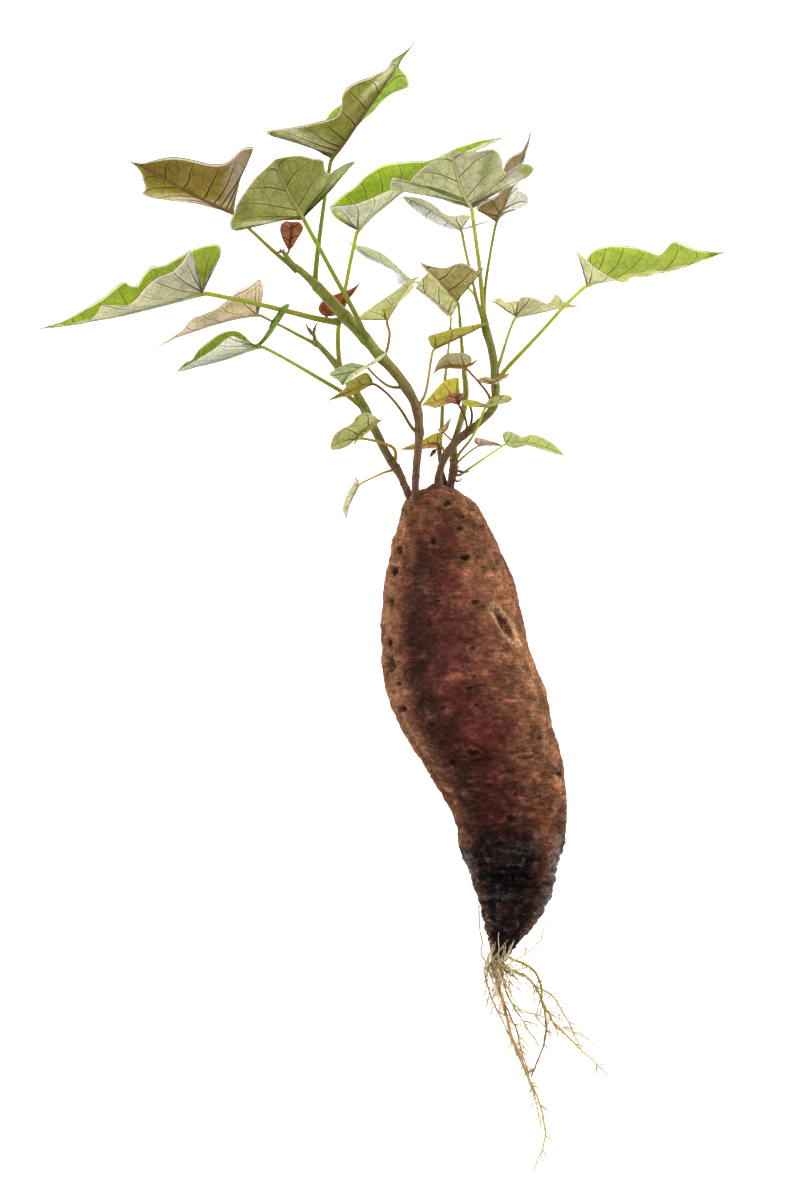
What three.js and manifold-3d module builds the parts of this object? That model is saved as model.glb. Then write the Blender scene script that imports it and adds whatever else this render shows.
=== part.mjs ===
import * as THREE from "three";
import Module from "manifold-3d";

// Sweet potato root that has sprouted, lying on its side.
// Millimetres, +Z up.  +Y runs from the root tip towards the shoots,
// z = 0 is the surface it lies on, and the origin is the bottom centre of the whole.
const BLADE_THICKNESS = 0.7;   // leaf blade
const CLEARANCE = 0.35;        // gap left where a stalk meets its stem, and a stem the root
const BELLY_Z = 0.0;           // height of the flat resting patch under the root
const TUBER_SIDES = 20;
const STEM_SIDES = 7;
const STALK_SIDES = 5;
const ROOT_SIDES = 5;
const MIN_Z = 0.25;            // lowest point of any leaf

// Swollen root: centre x, y, z, half width, half height of each cross-section, crown to tip.
const TUBER = [
  [23.02,52.6,33.0,3.79,3.52],
  [23.44,51.55,32.59,7.16,6.64],
  [23.24,49.46,31.77,11.17,10.35],
  [24.51,46.11,30.49,14.55,13.48],
  [24.84,42.76,29.25,16.77,15.53],
  [25.16,39.4,28.03,18.36,16.99],
  [25.92,32.67,25.73,21.02,19.43],
  [26.78,25.93,23.66,23.37,21.58],
  [27.64,19.18,22.06,25.5,23.53],
  [28.26,12.4,23.72,27.38,25.29],
  [28.46,5.63,24.82,28.64,26.46],
  [29.0,-1.13,25.81,29.77,27.52],
  [29.8,-7.88,26.58,30.64,28.34],
  [30.76,-14.64,27.2,31.35,29.0],
  [32.23,-21.38,28.12,32.4,29.98],
  [33.91,-28.13,28.85,33.23,30.76],
  [35.7,-34.88,28.95,33.34,30.86],
  [37.82,-41.63,28.76,33.13,30.66],
  [40.25,-48.4,28.12,32.4,29.98],
  [43.01,-55.18,27.2,31.35,29.0],
  [45.88,-61.97,26.01,30.0,27.73],
  [48.5,-68.76,24.78,28.6,26.42],
  [50.85,-75.58,23.31,26.92,24.86],
  [53.04,-82.4,21.7,25.08,23.14],
  [54.21,-89.18,21.58,23.7,21.87],
  [54.59,-95.96,21.45,22.6,20.86],
  [54.43,-102.74,21.33,21.17,19.53],
  [55.17,-109.52,21.21,18.94,17.48],
  [55.91,-116.3,21.09,16.72,15.43],
  [56.02,-123.08,20.97,14.71,13.57],
  [54.44,-129.86,20.85,11.86,10.94],
  [52.85,-136.64,20.73,8.79,8.1],
  [51.48,-141.73,20.64,6.35,5.86],
  [50.52,-145.54,20.57,4.34,4.0],
  [50.1,-148.08,20.52,2.43,2.25],
  [50.0,-149.36,20.5,1.06,0.98]
];

// Shoots: centre line, and [fraction along, radius] pairs.
const STEMS = {
  shoot_front_left: { pts: [[14.59,45.65,33.0],[14.36,48.08,38.0],[13.93,51.79,42.0],[14.01,56.78,44.0],[14.55,63.44,46.0],[15.21,70.53,47.0],[15.38,76.78,48.0],[14.74,83.01,49.5],[12.86,88.81,51.0],[9.09,95.01,53.0],[4.91,100.38,54.5],[0.33,105.32,56.0],[-4.25,110.26,57.5],[-8.83,115.61,59.0],[-14.24,121.39,60.0],[-19.22,126.75,61.0],[-24.21,132.11,62.0],[-28.78,137.07,62.5],[-33.34,141.2,63.0],[-37.09,144.12,63.0],[-39.99,147.83,63.5],[-41.23,149.67,64.0]],
    r: [[0,2.3],[0.03,2.0],[0.08,1.5],[0.25,1.75],[0.38,2.0],[0.5,2.25],[0.62,2.3],[0.72,2.5],[0.8,2.3],[0.88,1.7],[0.94,1.2],[1,0.75]] },
  shoot_left: { pts: [[13.34,43.61,29.0],[12.28,46.09,32.0],[10.8,49.44,33.0],[9.12,53.65,33.0],[7.01,58.3,32.5],[4.06,62.96,31.5],[1.11,68.04,30.5],[-1.64,73.55,29.5],[-4.59,79.49,28.5],[-7.55,85.41,28.0],[-10.3,90.5,27.5],[-13.26,95.16,27.0],[-16.22,99.83,26.5],[-19.18,104.07,26.0],[-22.57,107.9,25.5],[-25.95,111.28,25.5],[-28.27,114.21,26.0],[-28.89,117.15,26.5],[-28.76,119.66,27.0]],
    r: [[0,2.0],[0.05,1.7],[0.12,1.5],[0.25,1.7],[0.5,1.9],[0.65,1.75],[0.78,1.6],[0.88,1.2],[0.95,0.85],[1,0.55]] },
  shoot_right: { pts: [[23.25,50.34,30.0],[23.35,53.23,33.0],[23.55,56.57,34.5],[24.68,60.74,36.0],[26.27,64.92,37.0],[28.45,68.47,38.0],[31.59,71.82,38.5],[35.15,74.73,39.5],[38.92,77.64,40.5],[42.68,80.97,41.5],[45.61,84.29,42.5],[47.27,88.24,43.5],[47.58,92.82,44.5],[47.24,98.25,45.0],[46.73,104.09,45.5],[45.55,109.94,46.0],[44.11,115.36,46.5],[43.02,119.94,47.0],[42.59,123.69,47.5]],
    r: [[0,2.1],[0.04,1.8],[0.1,1.4],[0.25,1.5],[0.45,1.6],[0.6,1.7],[0.8,1.75],[0.93,1.65],[1,1.2]] },
  shoot_back_right: { pts: [[28.17,51.34,22.0],[28.78,53.82,25.0],[29.61,57.16,26.5],[30.15,61.38,27.0],[30.15,65.6,27.0],[30.03,69.41,26.5],[30.88,73.65,26.0],[32.57,78.72,26.0],[34.05,84.2,26.5],[34.96,89.23,27.5],[35.2,94.24,29.0],[34.62,100.05,31.5],[33.95,105.82,34.5],[33.41,111.98,38.0],[32.87,118.14,41.0],[32.33,124.28,44.0],[31.8,128.97,46.5]],
    r: [[0,1.9],[0.05,1.6],[0.12,1.5],[0.22,1.6],[0.3,1.25],[0.4,1.4],[0.55,1.25],[0.68,1.0],[0.8,0.72],[1,0.52]] },
  shoot_back_centre: { pts: [[26.28,51.36,21.0],[26.13,54.7,23.0],[25.45,58.08,23.5],[24.57,62.32,23.0],[24.15,66.56,22.5],[24.37,71.67,21.5],[25.05,77.62,20.5],[25.35,84.42,20.0],[25.65,90.35,20.0],[26.33,97.12,20.0],[27.17,104.73,20.5],[28.01,112.3,21.5],[28.67,119.0,23.0],[29.0,124.43,24.5]],
    r: [[0,1.5],[0.06,1.2],[0.14,0.8],[0.25,0.95],[0.4,0.85],[0.6,0.72],[0.8,0.5],[1,0.42]] },
};

// Leaves: the shoot each one grows from, stalk centre line and end radii, midrib from base to tip,
// the two margins from base to tip, and for each margin the midrib fraction that its veins leave from.
const LEAVES = {
  leaf_top: { stem: "shoot_front_left", colour: 0x6f7a35, bulge: [0.8,0.8], stalkR: [1.15,0.8],
    stalk: [[-27.54,133.77,62.0],[-27.83,137.96,61.5],[-27.35,145.51,60.5],[-26.12,156.44,59.0],[-24.68,167.37,57.5],[-23.24,177.87,56.5],[-21.98,184.96,56.5],[-21.35,188.88,57.0]],
    mid: [[-21.35,189.09,57.0],[-15.51,196.58,57.15],[-9.26,205.53,57.33],[-3.0,214.06,57.5],[1.16,219.89,57.62],[5.33,226.34,57.75],[9.5,232.37,57.86],[14.5,239.03,58.0]],
    a: [[-21.35,189.09,57.0],[-26.72,191.48,61.0],[-34.14,195.32,65.0],[-41.16,197.64,67.0],[-48.22,198.77,67.0],[-40.69,200.09,70.0],[-31.95,201.58,72.0],[-23.67,203.69,71.57],[-18.29,206.01,71.15],[-16.63,210.39,70.74],[-16.43,214.17,70.22],[-14.98,217.13,69.62],[-9.19,220.57,68.31],[-3.38,222.77,66.99],[2.01,226.02,65.52],[3.67,229.22,64.59],[7.41,231.3,63.35],[11.58,234.73,61.45],[14.5,239.03,58.0]],
    b: [[-21.35,189.09,57.0],[-25.19,195.83,51.0],[-24.23,204.37,44.0],[-21.56,210.25,39.0],[-16.96,213.37,37.0],[-10.65,211.18,38.0],[-4.54,209.96,40.0],[1.13,215.03,42.0],[6.17,218.3,43.0],[11.03,220.3,44.0],[10.57,223.77,45.0],[8.26,226.73,47.0],[7.21,228.02,51.0],[9.51,231.61,55.0],[11.8,234.96,57.0],[14.5,239.03,58.0]],
    fa: [0.0,0.002,0.004,0.006,0.007,0.009,0.011,0.013,0.036,0.154,0.245,0.366,0.494,0.668,0.834,0.953,1.0],
    fb: [0.0,0.002,0.004,0.006,0.042,0.094,0.165,0.216,0.274,0.371,0.468,0.543,0.634,0.735,0.86,0.962,1.0] },
  leaf_centre: { stem: "shoot_front_left", colour: 0x6f8f45, bulge: [2.5,2.0], stalkR: [1.15,0.9],
    stalk: [[-6.74,113.89,60.0],[-8.38,117.87,64.0],[-13.34,127.63,68.0],[-19.12,137.84,71.0],[-24.88,148.43,74.0],[-29.39,156.54,76.5],[-32.26,161.82,78.0]],
    mid: [[-32.26,161.82,78.0],[-34.88,166.3,81.88],[-37.71,170.39,85.2],[-40.32,175.92,88.41],[-42.33,180.71,90.39],[-43.74,185.93,92.0]],
    a: [[-32.26,161.82,78.0],[-40.06,161.41,81.0],[-49.5,160.65,83.0],[-55.68,159.0,83.0],[-59.54,157.48,78.0],[-62.52,158.3,75.0],[-62.84,160.99,78.0],[-61.25,163.95,83.0],[-59.72,167.87,86.0],[-56.76,172.18,89.0],[-52.18,178.2,91.0],[-47.64,182.23,92.0],[-43.74,185.93,92.0]],
    b: [[-32.26,161.82,78.0],[-31.01,164.64,79.0],[-26.46,168.77,79.0],[-21.12,174.08,77.0],[-15.98,180.51,74.0],[-11.25,186.82,70.0],[-15.41,185.94,68.0],[-19.14,183.58,69.0],[-21.77,181.34,74.0],[-23.79,183.31,78.0],[-24.17,186.17,81.0],[-28.84,186.81,86.0],[-33.71,187.6,90.0],[-38.6,186.95,92.0],[-43.74,185.93,92.0]],
    fa: [0.0,0.017,0.033,0.069,0.076,0.078,0.08,0.082,0.084,0.086,0.133,0.303,0.452,0.635,0.814,0.947,1.0],
    fb: [0.0,0.02,0.021,0.023,0.025,0.027,0.029,0.031,0.033,0.035,0.036,0.169,0.363,0.65,0.852,0.961,1.0] },
  leaf_upper_left: { stem: "shoot_front_left", colour: 0x6b5a38, bulge: [2.0,1.2], stalkR: [1.0,0.75],
    stalk: [[-35.44,141.68,62.0],[-37.93,143.73,62.5],[-45.84,150.42,62.0],[-52.5,156.66,62.0],[-57.08,160.82,62.0],[-60.41,164.15,62.0],[-61.86,165.81,62.0]],
    mid: [[-61.86,165.81,62.0],[-68.68,168.62,63.53],[-75.7,172.05,64.92],[-83.97,175.92,66.01],[-92.26,180.67,66.42],[-99.32,184.21,66.29],[-105.57,187.26,66.0]],
    a: [[-61.86,165.81,62.0],[-60.74,171.01,65.0],[-58.96,178.19,69.0],[-56.57,185.76,73.0],[-53.03,191.94,77.0],[-57.5,191.44,77.0],[-61.25,188.22,76.0],[-64.59,185.81,75.0],[-70.41,185.27,74.0],[-75.41,186.36,73.29],[-81.65,187.88,72.33],[-87.91,188.38,71.29],[-94.18,187.23,70.07],[-99.21,185.96,68.85],[-102.57,186.16,67.83],[-105.57,187.26,66.0]],
    b: [[-61.86,165.81,62.0],[-68.86,167.75,58.0],[-79.35,169.98,56.0],[-90.65,171.51,55.0],[-96.91,172.35,55.0],[-100.42,174.15,56.0],[-98.9,175.39,59.0],[-99.56,179.2,61.0],[-100.77,182.66,62.0],[-102.8,185.29,63.0],[-105.57,187.26,66.0]],
    fa: [0.0,0.002,0.004,0.006,0.007,0.009,0.011,0.013,0.037,0.143,0.261,0.397,0.524,0.683,0.841,0.955,1.0],
    fb: [0.0,0.026,0.059,0.107,0.162,0.227,0.291,0.353,0.412,0.475,0.56,0.641,0.671,0.78,0.888,0.968,1.0] },
  leaf_red_upper: { stem: "shoot_front_left", colour: 0x7a3a24, bulge: [0.8,0.8], stalkR: [0.6,0.45],
    stalk: [[-40.0,147.44,63.0],[-39.62,148.81,61.0],[-38.81,150.12,60.0]],
    mid: [[-38.81,150.12,60.0],[-38.4,153.48,59.58],[-37.97,157.18,60.43],[-37.69,161.93,64.0]],
    a: [[-38.81,150.12,60.0],[-40.06,152.21,60.0],[-41.68,155.41,62.0],[-42.58,158.67,63.0],[-41.83,161.24,65.0],[-39.96,162.28,65.0],[-37.69,161.93,64.0]],
    b: [[-38.81,150.12,60.0],[-36.93,152.21,60.0],[-35.23,154.99,62.0],[-33.55,157.42,63.0],[-32.79,159.85,64.0],[-34.56,161.87,65.0],[-37.69,161.93,64.0]],
    fa: [0.0,0.035,0.073,0.106,0.145,0.189,0.26,0.36,0.46,0.549,0.638,0.728,0.814,0.874,0.934,0.981,1.0],
    fb: [0.0,0.039,0.083,0.13,0.184,0.245,0.319,0.399,0.473,0.544,0.617,0.708,0.804,0.869,0.932,0.98,1.0] },
  leaf_left_large: { stem: "shoot_front_left", colour: 0x86a83a, bulge: [2.0,-2.0], stalkR: [1.35,0.95],
    stalk: [[-17.59,120.63,58.5],[-21.34,120.92,58.5],[-26.75,121.88,58.5],[-38.42,124.8,58.5],[-55.1,128.87,58.0],[-66.79,131.31,57.5],[-74.31,133.01,57.0]],
    mid: [[-74.52,133.22,57.0],[-82.33,131.07,54.34],[-90.79,128.91,51.68],[-99.25,126.73,49.42],[-109.81,124.11,47.36],[-120.34,122.08,46.21],[-130.83,120.0,45.84],[-143.81,118.44,46.0]],
    a: [[-74.52,133.22,57.0],[-76.81,138.29,63.0],[-78.37,144.65,68.0],[-79.59,150.0,72.0],[-83.0,144.64,75.0],[-87.72,140.45,76.0],[-92.68,138.38,76.0],[-97.28,134.71,75.0],[-101.51,129.85,73.0],[-105.33,127.06,70.96],[-110.84,126.36,68.56],[-116.79,127.32,65.95],[-118.95,124.09,64.28],[-123.67,120.89,61.68],[-132.26,119.24,57.09],[-143.81,118.44,46.0]],
    b: [[-74.52,133.22,57.0],[-74.03,137.19,53.0],[-71.27,143.75,48.0],[-68.47,148.6,44.0],[-67.6,152.56,41.0],[-69.46,154.5,39.0],[-74.58,154.08,37.0],[-80.92,152.25,36.0],[-85.95,149.27,36.48],[-91.4,146.3,37.0],[-97.68,144.37,37.58],[-100.4,141.41,37.95],[-103.11,137.39,38.4],[-106.04,137.16,38.69],[-108.54,138.82,38.99],[-112.3,136.49,39.45],[-117.3,132.04,40.2],[-124.8,127.36,41.29],[-134.35,121.61,42.99],[-143.81,118.44,46.0]],
    fa: [0.0,0.002,0.004,0.006,0.007,0.009,0.011,0.036,0.133,0.246,0.36,0.469,0.571,0.724,0.866,0.963,1.0],
    fb: [0.0,0.002,0.004,0.006,0.007,0.009,0.011,0.051,0.152,0.256,0.347,0.439,0.552,0.702,0.852,0.959,1.0] },
  leaf_left_purple: { stem: "shoot_left", colour: 0x8a6a63, bulge: [1.2,-1.0], stalkR: [0.85,0.6],
    stalk: [[-27.64,112.54,25.5],[-29.73,113.74,27.0],[-34.76,116.18,29.0],[-41.05,119.46,31.0],[-47.33,122.53,33.0],[-52.15,125.09,34.0]],
    mid: [[-52.36,125.21,34.0],[-60.01,124.15,31.64],[-70.64,121.47,28.81],[-80.4,118.17,27.1],[-86.76,115.88,26.48],[-95.65,111.47,26.0]],
    a: [[-52.36,125.21,34.0],[-52.26,130.05,38.0],[-51.74,134.88,42.0],[-51.25,138.9,45.0],[-54.55,136.49,47.0],[-57.9,134.18,47.0],[-62.09,131.67,47.0],[-66.34,128.43,44.87],[-71.02,125.82,42.7],[-75.28,124.44,40.97],[-78.9,123.46,39.56],[-81.68,121.22,38.1],[-85.14,117.13,35.66],[-90.76,113.81,31.98],[-95.65,111.47,26.0]],
    b: [[-52.36,125.21,34.0],[-50.75,130.0,31.0],[-50.3,138.03,27.0],[-51.95,140.13,25.0],[-56.44,137.83,23.0],[-60.7,135.98,22.0],[-65.38,132.22,21.0],[-70.43,128.36,22.0],[-75.07,126.01,22.43],[-80.13,122.6,22.97],[-85.6,118.12,23.7],[-91.06,114.28,24.58],[-95.65,111.47,26.0]],
    fa: [0.0,0.002,0.004,0.006,0.007,0.009,0.011,0.013,0.072,0.185,0.305,0.421,0.539,0.698,0.853,0.96,1.0],
    fb: [0.0,0.002,0.004,0.006,0.007,0.009,0.012,0.085,0.181,0.282,0.379,0.48,0.585,0.726,0.862,0.961,1.0] },
  leaf_left_lower: { stem: "shoot_left", colour: 0x86a83a, bulge: [1.5,-1.5], stalkR: [1.05,0.75],
    stalk: [[-7.34,84.99,28.0],[-10.29,87.49,29.0],[-15.75,91.62,31.5],[-26.23,97.76,36.0],[-38.73,104.87,42.0],[-47.03,109.29,46.5],[-50.73,110.93,49.0]],
    mid: [[-51.56,111.12,49.5],[-56.64,109.47,47.22],[-63.42,106.86,44.44],[-71.04,104.53,42.18],[-78.22,102.74,40.88],[-82.44,101.46,40.37],[-86.44,100.67,40.0]],
    a: [[-51.56,111.12,49.5],[-54.83,109.65,52.5],[-57.64,110.72,56.5],[-58.81,113.08,59.5],[-61.85,114.61,62.5],[-64.94,113.52,63.5],[-68.26,110.82,63.5],[-71.74,108.53,58.93],[-76.06,106.22,54.5],[-79.09,104.46,51.7],[-82.58,102.53,47.85],[-86.44,100.67,40.0]],
    b: [[-51.56,111.12,49.5],[-48.51,112.9,54.5],[-44.25,118.55,58.5],[-40.86,123.81,61.5],[-38.33,127.99,63.5],[-40.63,127.71,62.5],[-44.25,123.13,58.5],[-47.73,117.59,52.5],[-50.8,113.69,46.5],[-53.41,112.19,42.5],[-55.82,113.64,38.5],[-58.22,116.09,35.5],[-60.77,117.9,34.5],[-64.14,118.32,34.5],[-68.3,117.0,35.83],[-73.3,113.27,37.33],[-77.49,109.67,37.84],[-79.99,105.87,38.33],[-82.29,105.01,38.64],[-84.59,102.89,39.13],[-86.44,100.67,40.0]],
    fa: [0.0,0.003,0.005,0.006,0.008,0.01,0.012,0.014,0.082,0.214,0.342,0.474,0.589,0.739,0.875,0.966,1.0],
    fb: [0.0,0.002,0.004,0.006,0.007,0.009,0.011,0.013,0.015,0.039,0.067,0.106,0.261,0.514,0.761,0.931,1.0] },
  leaf_centre_green: { stem: "shoot_left", colour: 0x86a83a, bulge: [1.5,-2.0], stalkR: [1.1,0.8],
    stalk: [[-17.91,101.96,26.0],[-18.32,106.1,28.0],[-18.71,112.32,30.5],[-18.56,119.37,33.0],[-17.4,127.69,35.0],[-15.49,136.41,37.0],[-13.16,148.04,39.5],[-11.47,155.5,41.0],[-10.62,159.85,42.0]],
    mid: [[-10.62,160.06,42.0],[-3.49,167.3,40.35],[2.39,172.01,39.13],[6.59,175.64,38.23],[17.95,182.32,36.1],[32.7,190.95,33.34],[51.3,200.07,30.0]],
    a: [[-10.62,160.06,42.0],[-14.37,163.0,45.0],[-18.94,166.71,49.0],[-22.16,169.17,52.0],[-15.54,169.79,54.0],[-7.18,171.31,56.0],[1.16,174.57,56.0],[9.51,178.4,55.0],[19.97,184.61,50.2],[30.47,190.41,45.5],[41.03,195.89,39.94],[51.3,200.07,30.0]],
    b: [[-10.62,160.06,42.0],[-13.58,161.51,39.0],[-18.67,164.94,35.0],[-21.66,168.37,31.0],[-22.1,170.62,29.0],[-17.91,174.84,26.0],[-11.59,179.63,24.0],[-6.52,184.78,23.0],[-1.87,188.03,22.0],[3.21,189.67,22.75],[11.66,190.34,23.9],[20.12,190.77,24.87],[26.03,193.47,25.5],[32.78,196.45,26.31],[41.21,198.59,27.45],[51.3,200.07,30.0]],
    fa: [0.0,0.002,0.004,0.006,0.007,0.01,0.06,0.143,0.227,0.321,0.417,0.513,0.608,0.74,0.871,0.964,1.0],
    fb: [0.0,0.002,0.004,0.006,0.007,0.012,0.09,0.16,0.232,0.327,0.427,0.523,0.616,0.744,0.872,0.964,1.0] },
  leaf_right_pale: { stem: "shoot_right", colour: 0xa9b894, bulge: [2.5,2.5], stalkR: [1.05,0.85],
    stalk: [[43.01,119.5,47.5],[42.58,123.64,48.5],[41.83,130.23,50.5],[41.09,138.45,53.0],[40.3,145.81,55.5],[38.88,155.64,58.5],[37.82,163.45,60.0],[37.39,167.37,60.5]],
    mid: [[37.39,167.58,60.5],[35.06,171.05,64.33],[32.72,175.72,68.7],[31.02,180.84,72.35],[29.75,185.61,74.91],[28.91,190.41,77.0]],
    a: [[37.39,167.58,60.5],[30.29,169.52,62.5],[24.05,171.74,63.5],[17.81,173.74,64.5],[11.57,174.71,65.5],[6.17,174.84,65.5],[3.26,175.05,66.5],[3.26,177.81,68.5],[4.51,180.02,69.5],[7.41,178.65,69.5],[10.73,177.4,68.5],[12.8,180.23,69.5],[15.7,182.98,71.5],[19.83,185.93,73.5],[23.96,187.84,75.5],[26.84,189.62,76.5],[28.91,190.41,77.0]],
    b: [[37.39,167.58,60.5],[40.29,169.18,61.5],[45.27,172.43,62.5],[51.09,175.76,62.5],[57.38,178.82,60.5],[61.61,181.75,57.5],[63.35,185.11,54.5],[60.48,187.02,52.5],[55.44,185.61,53.5],[51.61,183.21,57.5],[50.26,184.91,62.5],[49.56,188.34,66.5],[48.04,190.93,70.5],[45.52,191.6,72.5],[40.52,190.61,74.5],[34.7,190.04,76.5],[28.91,190.41,77.0]],
    fa: [0.0,0.048,0.088,0.117,0.139,0.146,0.148,0.15,0.153,0.26,0.295,0.314,0.459,0.647,0.824,0.951,1.0],
    fb: [0.0,0.002,0.004,0.006,0.007,0.009,0.011,0.013,0.015,0.017,0.019,0.152,0.393,0.662,0.826,0.95,1.0] },
  leaf_right_bronze: { stem: "shoot_right", colour: 0x6b5a38, bulge: [1.2,1.0], stalkR: [0.75,0.6],
    stalk: [[43.03,122.09,46.0],[42.71,128.01,45.0],[43.06,134.77,44.0],[44.13,143.21,43.0],[45.82,153.34,42.0],[47.09,160.09,41.5],[47.72,163.24,41.5]],
    mid: [[47.72,163.45,41.5],[51.12,171.16,39.18],[54.53,178.9,36.86],[57.52,186.64,34.58],[60.32,194.83,32.22],[62.69,202.6,30.0]],
    a: [[47.72,163.45,41.5],[44.31,165.76,44.5],[39.23,168.83,48.5],[42.96,171.83,50.5],[48.8,174.69,51.5],[51.72,179.07,51.5],[50.7,185.42,50.5],[52.2,188.71,48.5],[54.54,190.75,46.5],[57.31,192.38,44.5],[59.24,194.43,42.5],[61.15,198.28,41.5],[62.69,202.6,30.0]],
    b: [[47.72,163.45,41.5],[51.56,166.8,38.5],[57.53,169.39,34.5],[61.39,171.92,31.5],[61.24,175.29,28.5],[58.31,177.48,27.5],[56.81,180.78,28.5],[58.46,185.27,30.5],[60.05,190.86,34.5],[61.64,196.85,38.5],[62.69,202.6,30.0]],
    fa: [0.0,0.002,0.004,0.006,0.007,0.009,0.046,0.126,0.196,0.288,0.399,0.501,0.605,0.736,0.872,0.964,1.0],
    fb: [0.0,0.053,0.099,0.131,0.169,0.216,0.28,0.327,0.4,0.496,0.59,0.669,0.696,0.751,0.871,0.963,1.0] },
  leaf_back_right: { stem: "shoot_right", colour: 0xa9b894, bulge: [0.8,0.8], stalkR: [0.85,0.6],
    stalk: [[43.45,117.48,46.0],[41.81,123.05,43.5],[39.95,129.42,42.0],[38.08,137.9,40.5],[36.2,145.94,39.5],[34.75,152.3,38.5],[33.83,157.38,38.0],[33.32,160.32,38.0]],
    mid: [[33.28,160.61,38.0],[26.78,164.88,35.84],[20.06,169.24,33.62],[13.75,172.54,31.65],[8.28,174.85,30.0]],
    a: [[33.28,160.61,38.0],[35.13,163.48,41.0],[36.98,165.71,44.0],[32.98,165.95,46.0],[28.36,165.59,47.0],[25.22,167.05,47.0],[20.41,170.89,46.0],[14.97,173.42,44.0],[11.21,174.27,41.0],[8.28,174.85,30.0]],
    b: [[33.28,160.61,38.0],[40.27,162.9,34.0],[47.08,165.27,30.0],[42.91,163.79,27.0],[36.16,161.53,26.0],[29.4,161.32,26.0],[21.79,164.0,27.0],[15.45,167.8,30.0],[10.8,171.74,34.0],[8.28,174.85,30.0]],
    fa: [0.0,0.002,0.004,0.006,0.007,0.009,0.011,0.066,0.161,0.261,0.363,0.473,0.587,0.737,0.871,0.964,1.0],
    fb: [0.0,0.002,0.004,0.006,0.007,0.009,0.011,0.013,0.015,0.065,0.203,0.352,0.503,0.688,0.829,0.946,1.0] },
  leaf_mid_olive: { stem: "shoot_back_right", colour: 0x6f7a35, bulge: [0.5,2.2], stalkR: [0.55,0.52],
    stalk: [[32.6,121.0,42.5],[32.28,125.09,44.7],[31.8,129.38,46.8]],
    mid: [[31.71,129.79,47.0],[27.49,134.18,50.8],[22.88,139.1,52.61],[19.12,142.69,51.84],[15.66,146.27,50.0]],
    a: [[31.71,129.79,47.0],[28.41,132.57,42.0],[23.82,136.78,38.0],[19.62,141.46,37.0],[16.66,144.74,42.0],[15.66,146.27,50.0]],
    b: [[31.71,129.79,47.0],[33.97,133.33,51.0],[36.84,136.45,55.0],[40.12,139.77,59.0],[42.18,142.89,60.5],[40.73,143.75,60.0],[39.53,141.97,57.0],[36.62,144.12,56.0],[33.28,145.41,56.0],[30.16,144.93,55.0],[27.47,143.79,53.0],[23.3,143.81,52.0],[19.13,144.71,51.0],[15.66,146.27,50.0]],
    fa: [0.0,0.002,0.004,0.006,0.007,0.009,0.011,0.014,0.454,0.619,0.701,0.754,0.802,0.869,0.934,0.981,1.0],
    fb: [0.0,0.012,0.018,0.02,0.021,0.023,0.025,0.027,0.029,0.07,0.199,0.318,0.411,0.592,0.796,0.944,1.0] },
  leaf_mid_back: { stem: "shoot_back_centre", colour: 0x6b5a38, bulge: [0.8,0.8], stalkR: [0.45,0.42],
    stalk: [[28.67,118.58,23.0],[28.87,121.92,24.0],[28.99,124.4,25.0]],
    mid: [[28.99,124.83,25.0],[24.76,129.02,25.62],[20.11,132.79,26.24],[13.77,136.55,27.0]],
    a: [[28.99,124.83,25.0],[31.07,127.63,28.0],[31.67,130.0,31.0],[28.48,134.05,34.0],[23.84,138.36,36.0],[19.0,142.15,36.0],[16.48,139.95,34.0],[15.15,138.07,30.0],[13.77,136.55,27.0]],
    b: [[28.99,124.83,25.0],[27.31,124.99,23.5],[23.1,128.79,22.0],[18.44,133.02,22.0],[15.68,135.26,23.5],[13.77,136.55,27.0]],
    fa: [0.0,0.002,0.004,0.006,0.007,0.021,0.106,0.196,0.288,0.381,0.486,0.617,0.723,0.816,0.907,0.973,1.0],
    fb: [0.0,0.003,0.02,0.069,0.126,0.187,0.25,0.315,0.384,0.455,0.53,0.609,0.688,0.798,0.901,0.972,1.0] },
  leaf_right_small: { stem: "shoot_right", colour: 0xa9b894, bulge: [0.8,0.8], stalkR: [0.85,0.55],
    stalk: [[47.24,98.25,45.0],[48.08,101.19,44.8],[49.56,105.42,44.0],[51.48,111.77,42.5],[53.4,117.72,41.0],[55.52,123.23,40.0]],
    mid: [[55.73,123.86,40.0],[62.09,125.04,37.29],[68.45,126.41,35.24],[74.8,127.73,34.19],[83.22,128.58,34.0]],
    a: [[55.73,123.86,40.0],[56.27,127.22,44.0],[57.26,130.62,47.0],[59.51,131.77,49.0],[63.05,131.09,50.0],[66.42,129.89,49.0],[69.4,128.82,47.0],[72.81,128.42,45.0],[77.06,128.32,43.0],[83.22,128.58,34.0]],
    b: [[55.73,123.86,40.0],[52.01,126.32,37.0],[48.48,129.21,34.0],[46.41,130.79,32.0],[49.61,132.16,30.0],[51.51,130.48,30.0],[55.11,130.95,29.0],[60.62,130.79,28.0],[66.53,129.95,28.0],[70.33,130.37,28.0],[73.26,133.91,29.0],[75.7,131.42,32.0],[78.53,129.32,36.0],[83.22,128.58,34.0]],
    fa: [0.0,0.002,0.004,0.006,0.007,0.009,0.011,0.013,0.09,0.214,0.349,0.477,0.605,0.751,0.877,0.966,1.0],
    fb: [0.0,0.002,0.004,0.006,0.007,0.009,0.011,0.019,0.14,0.268,0.394,0.499,0.562,0.706,0.841,0.948,1.0] },
  leaf_far_right: { stem: "shoot_right", colour: 0x86a83a, bulge: [1.0,-2.0], stalkR: [1.0,0.75],
    stalk: [[47.25,93.24,44.5],[48.49,96.97,45.5],[52.24,101.96,46.5],[59.33,109.43,48.0],[68.06,118.75,50.0],[75.58,127.09,50.5],[81.04,132.37,49.5],[85.05,136.19,48.5]],
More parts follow.
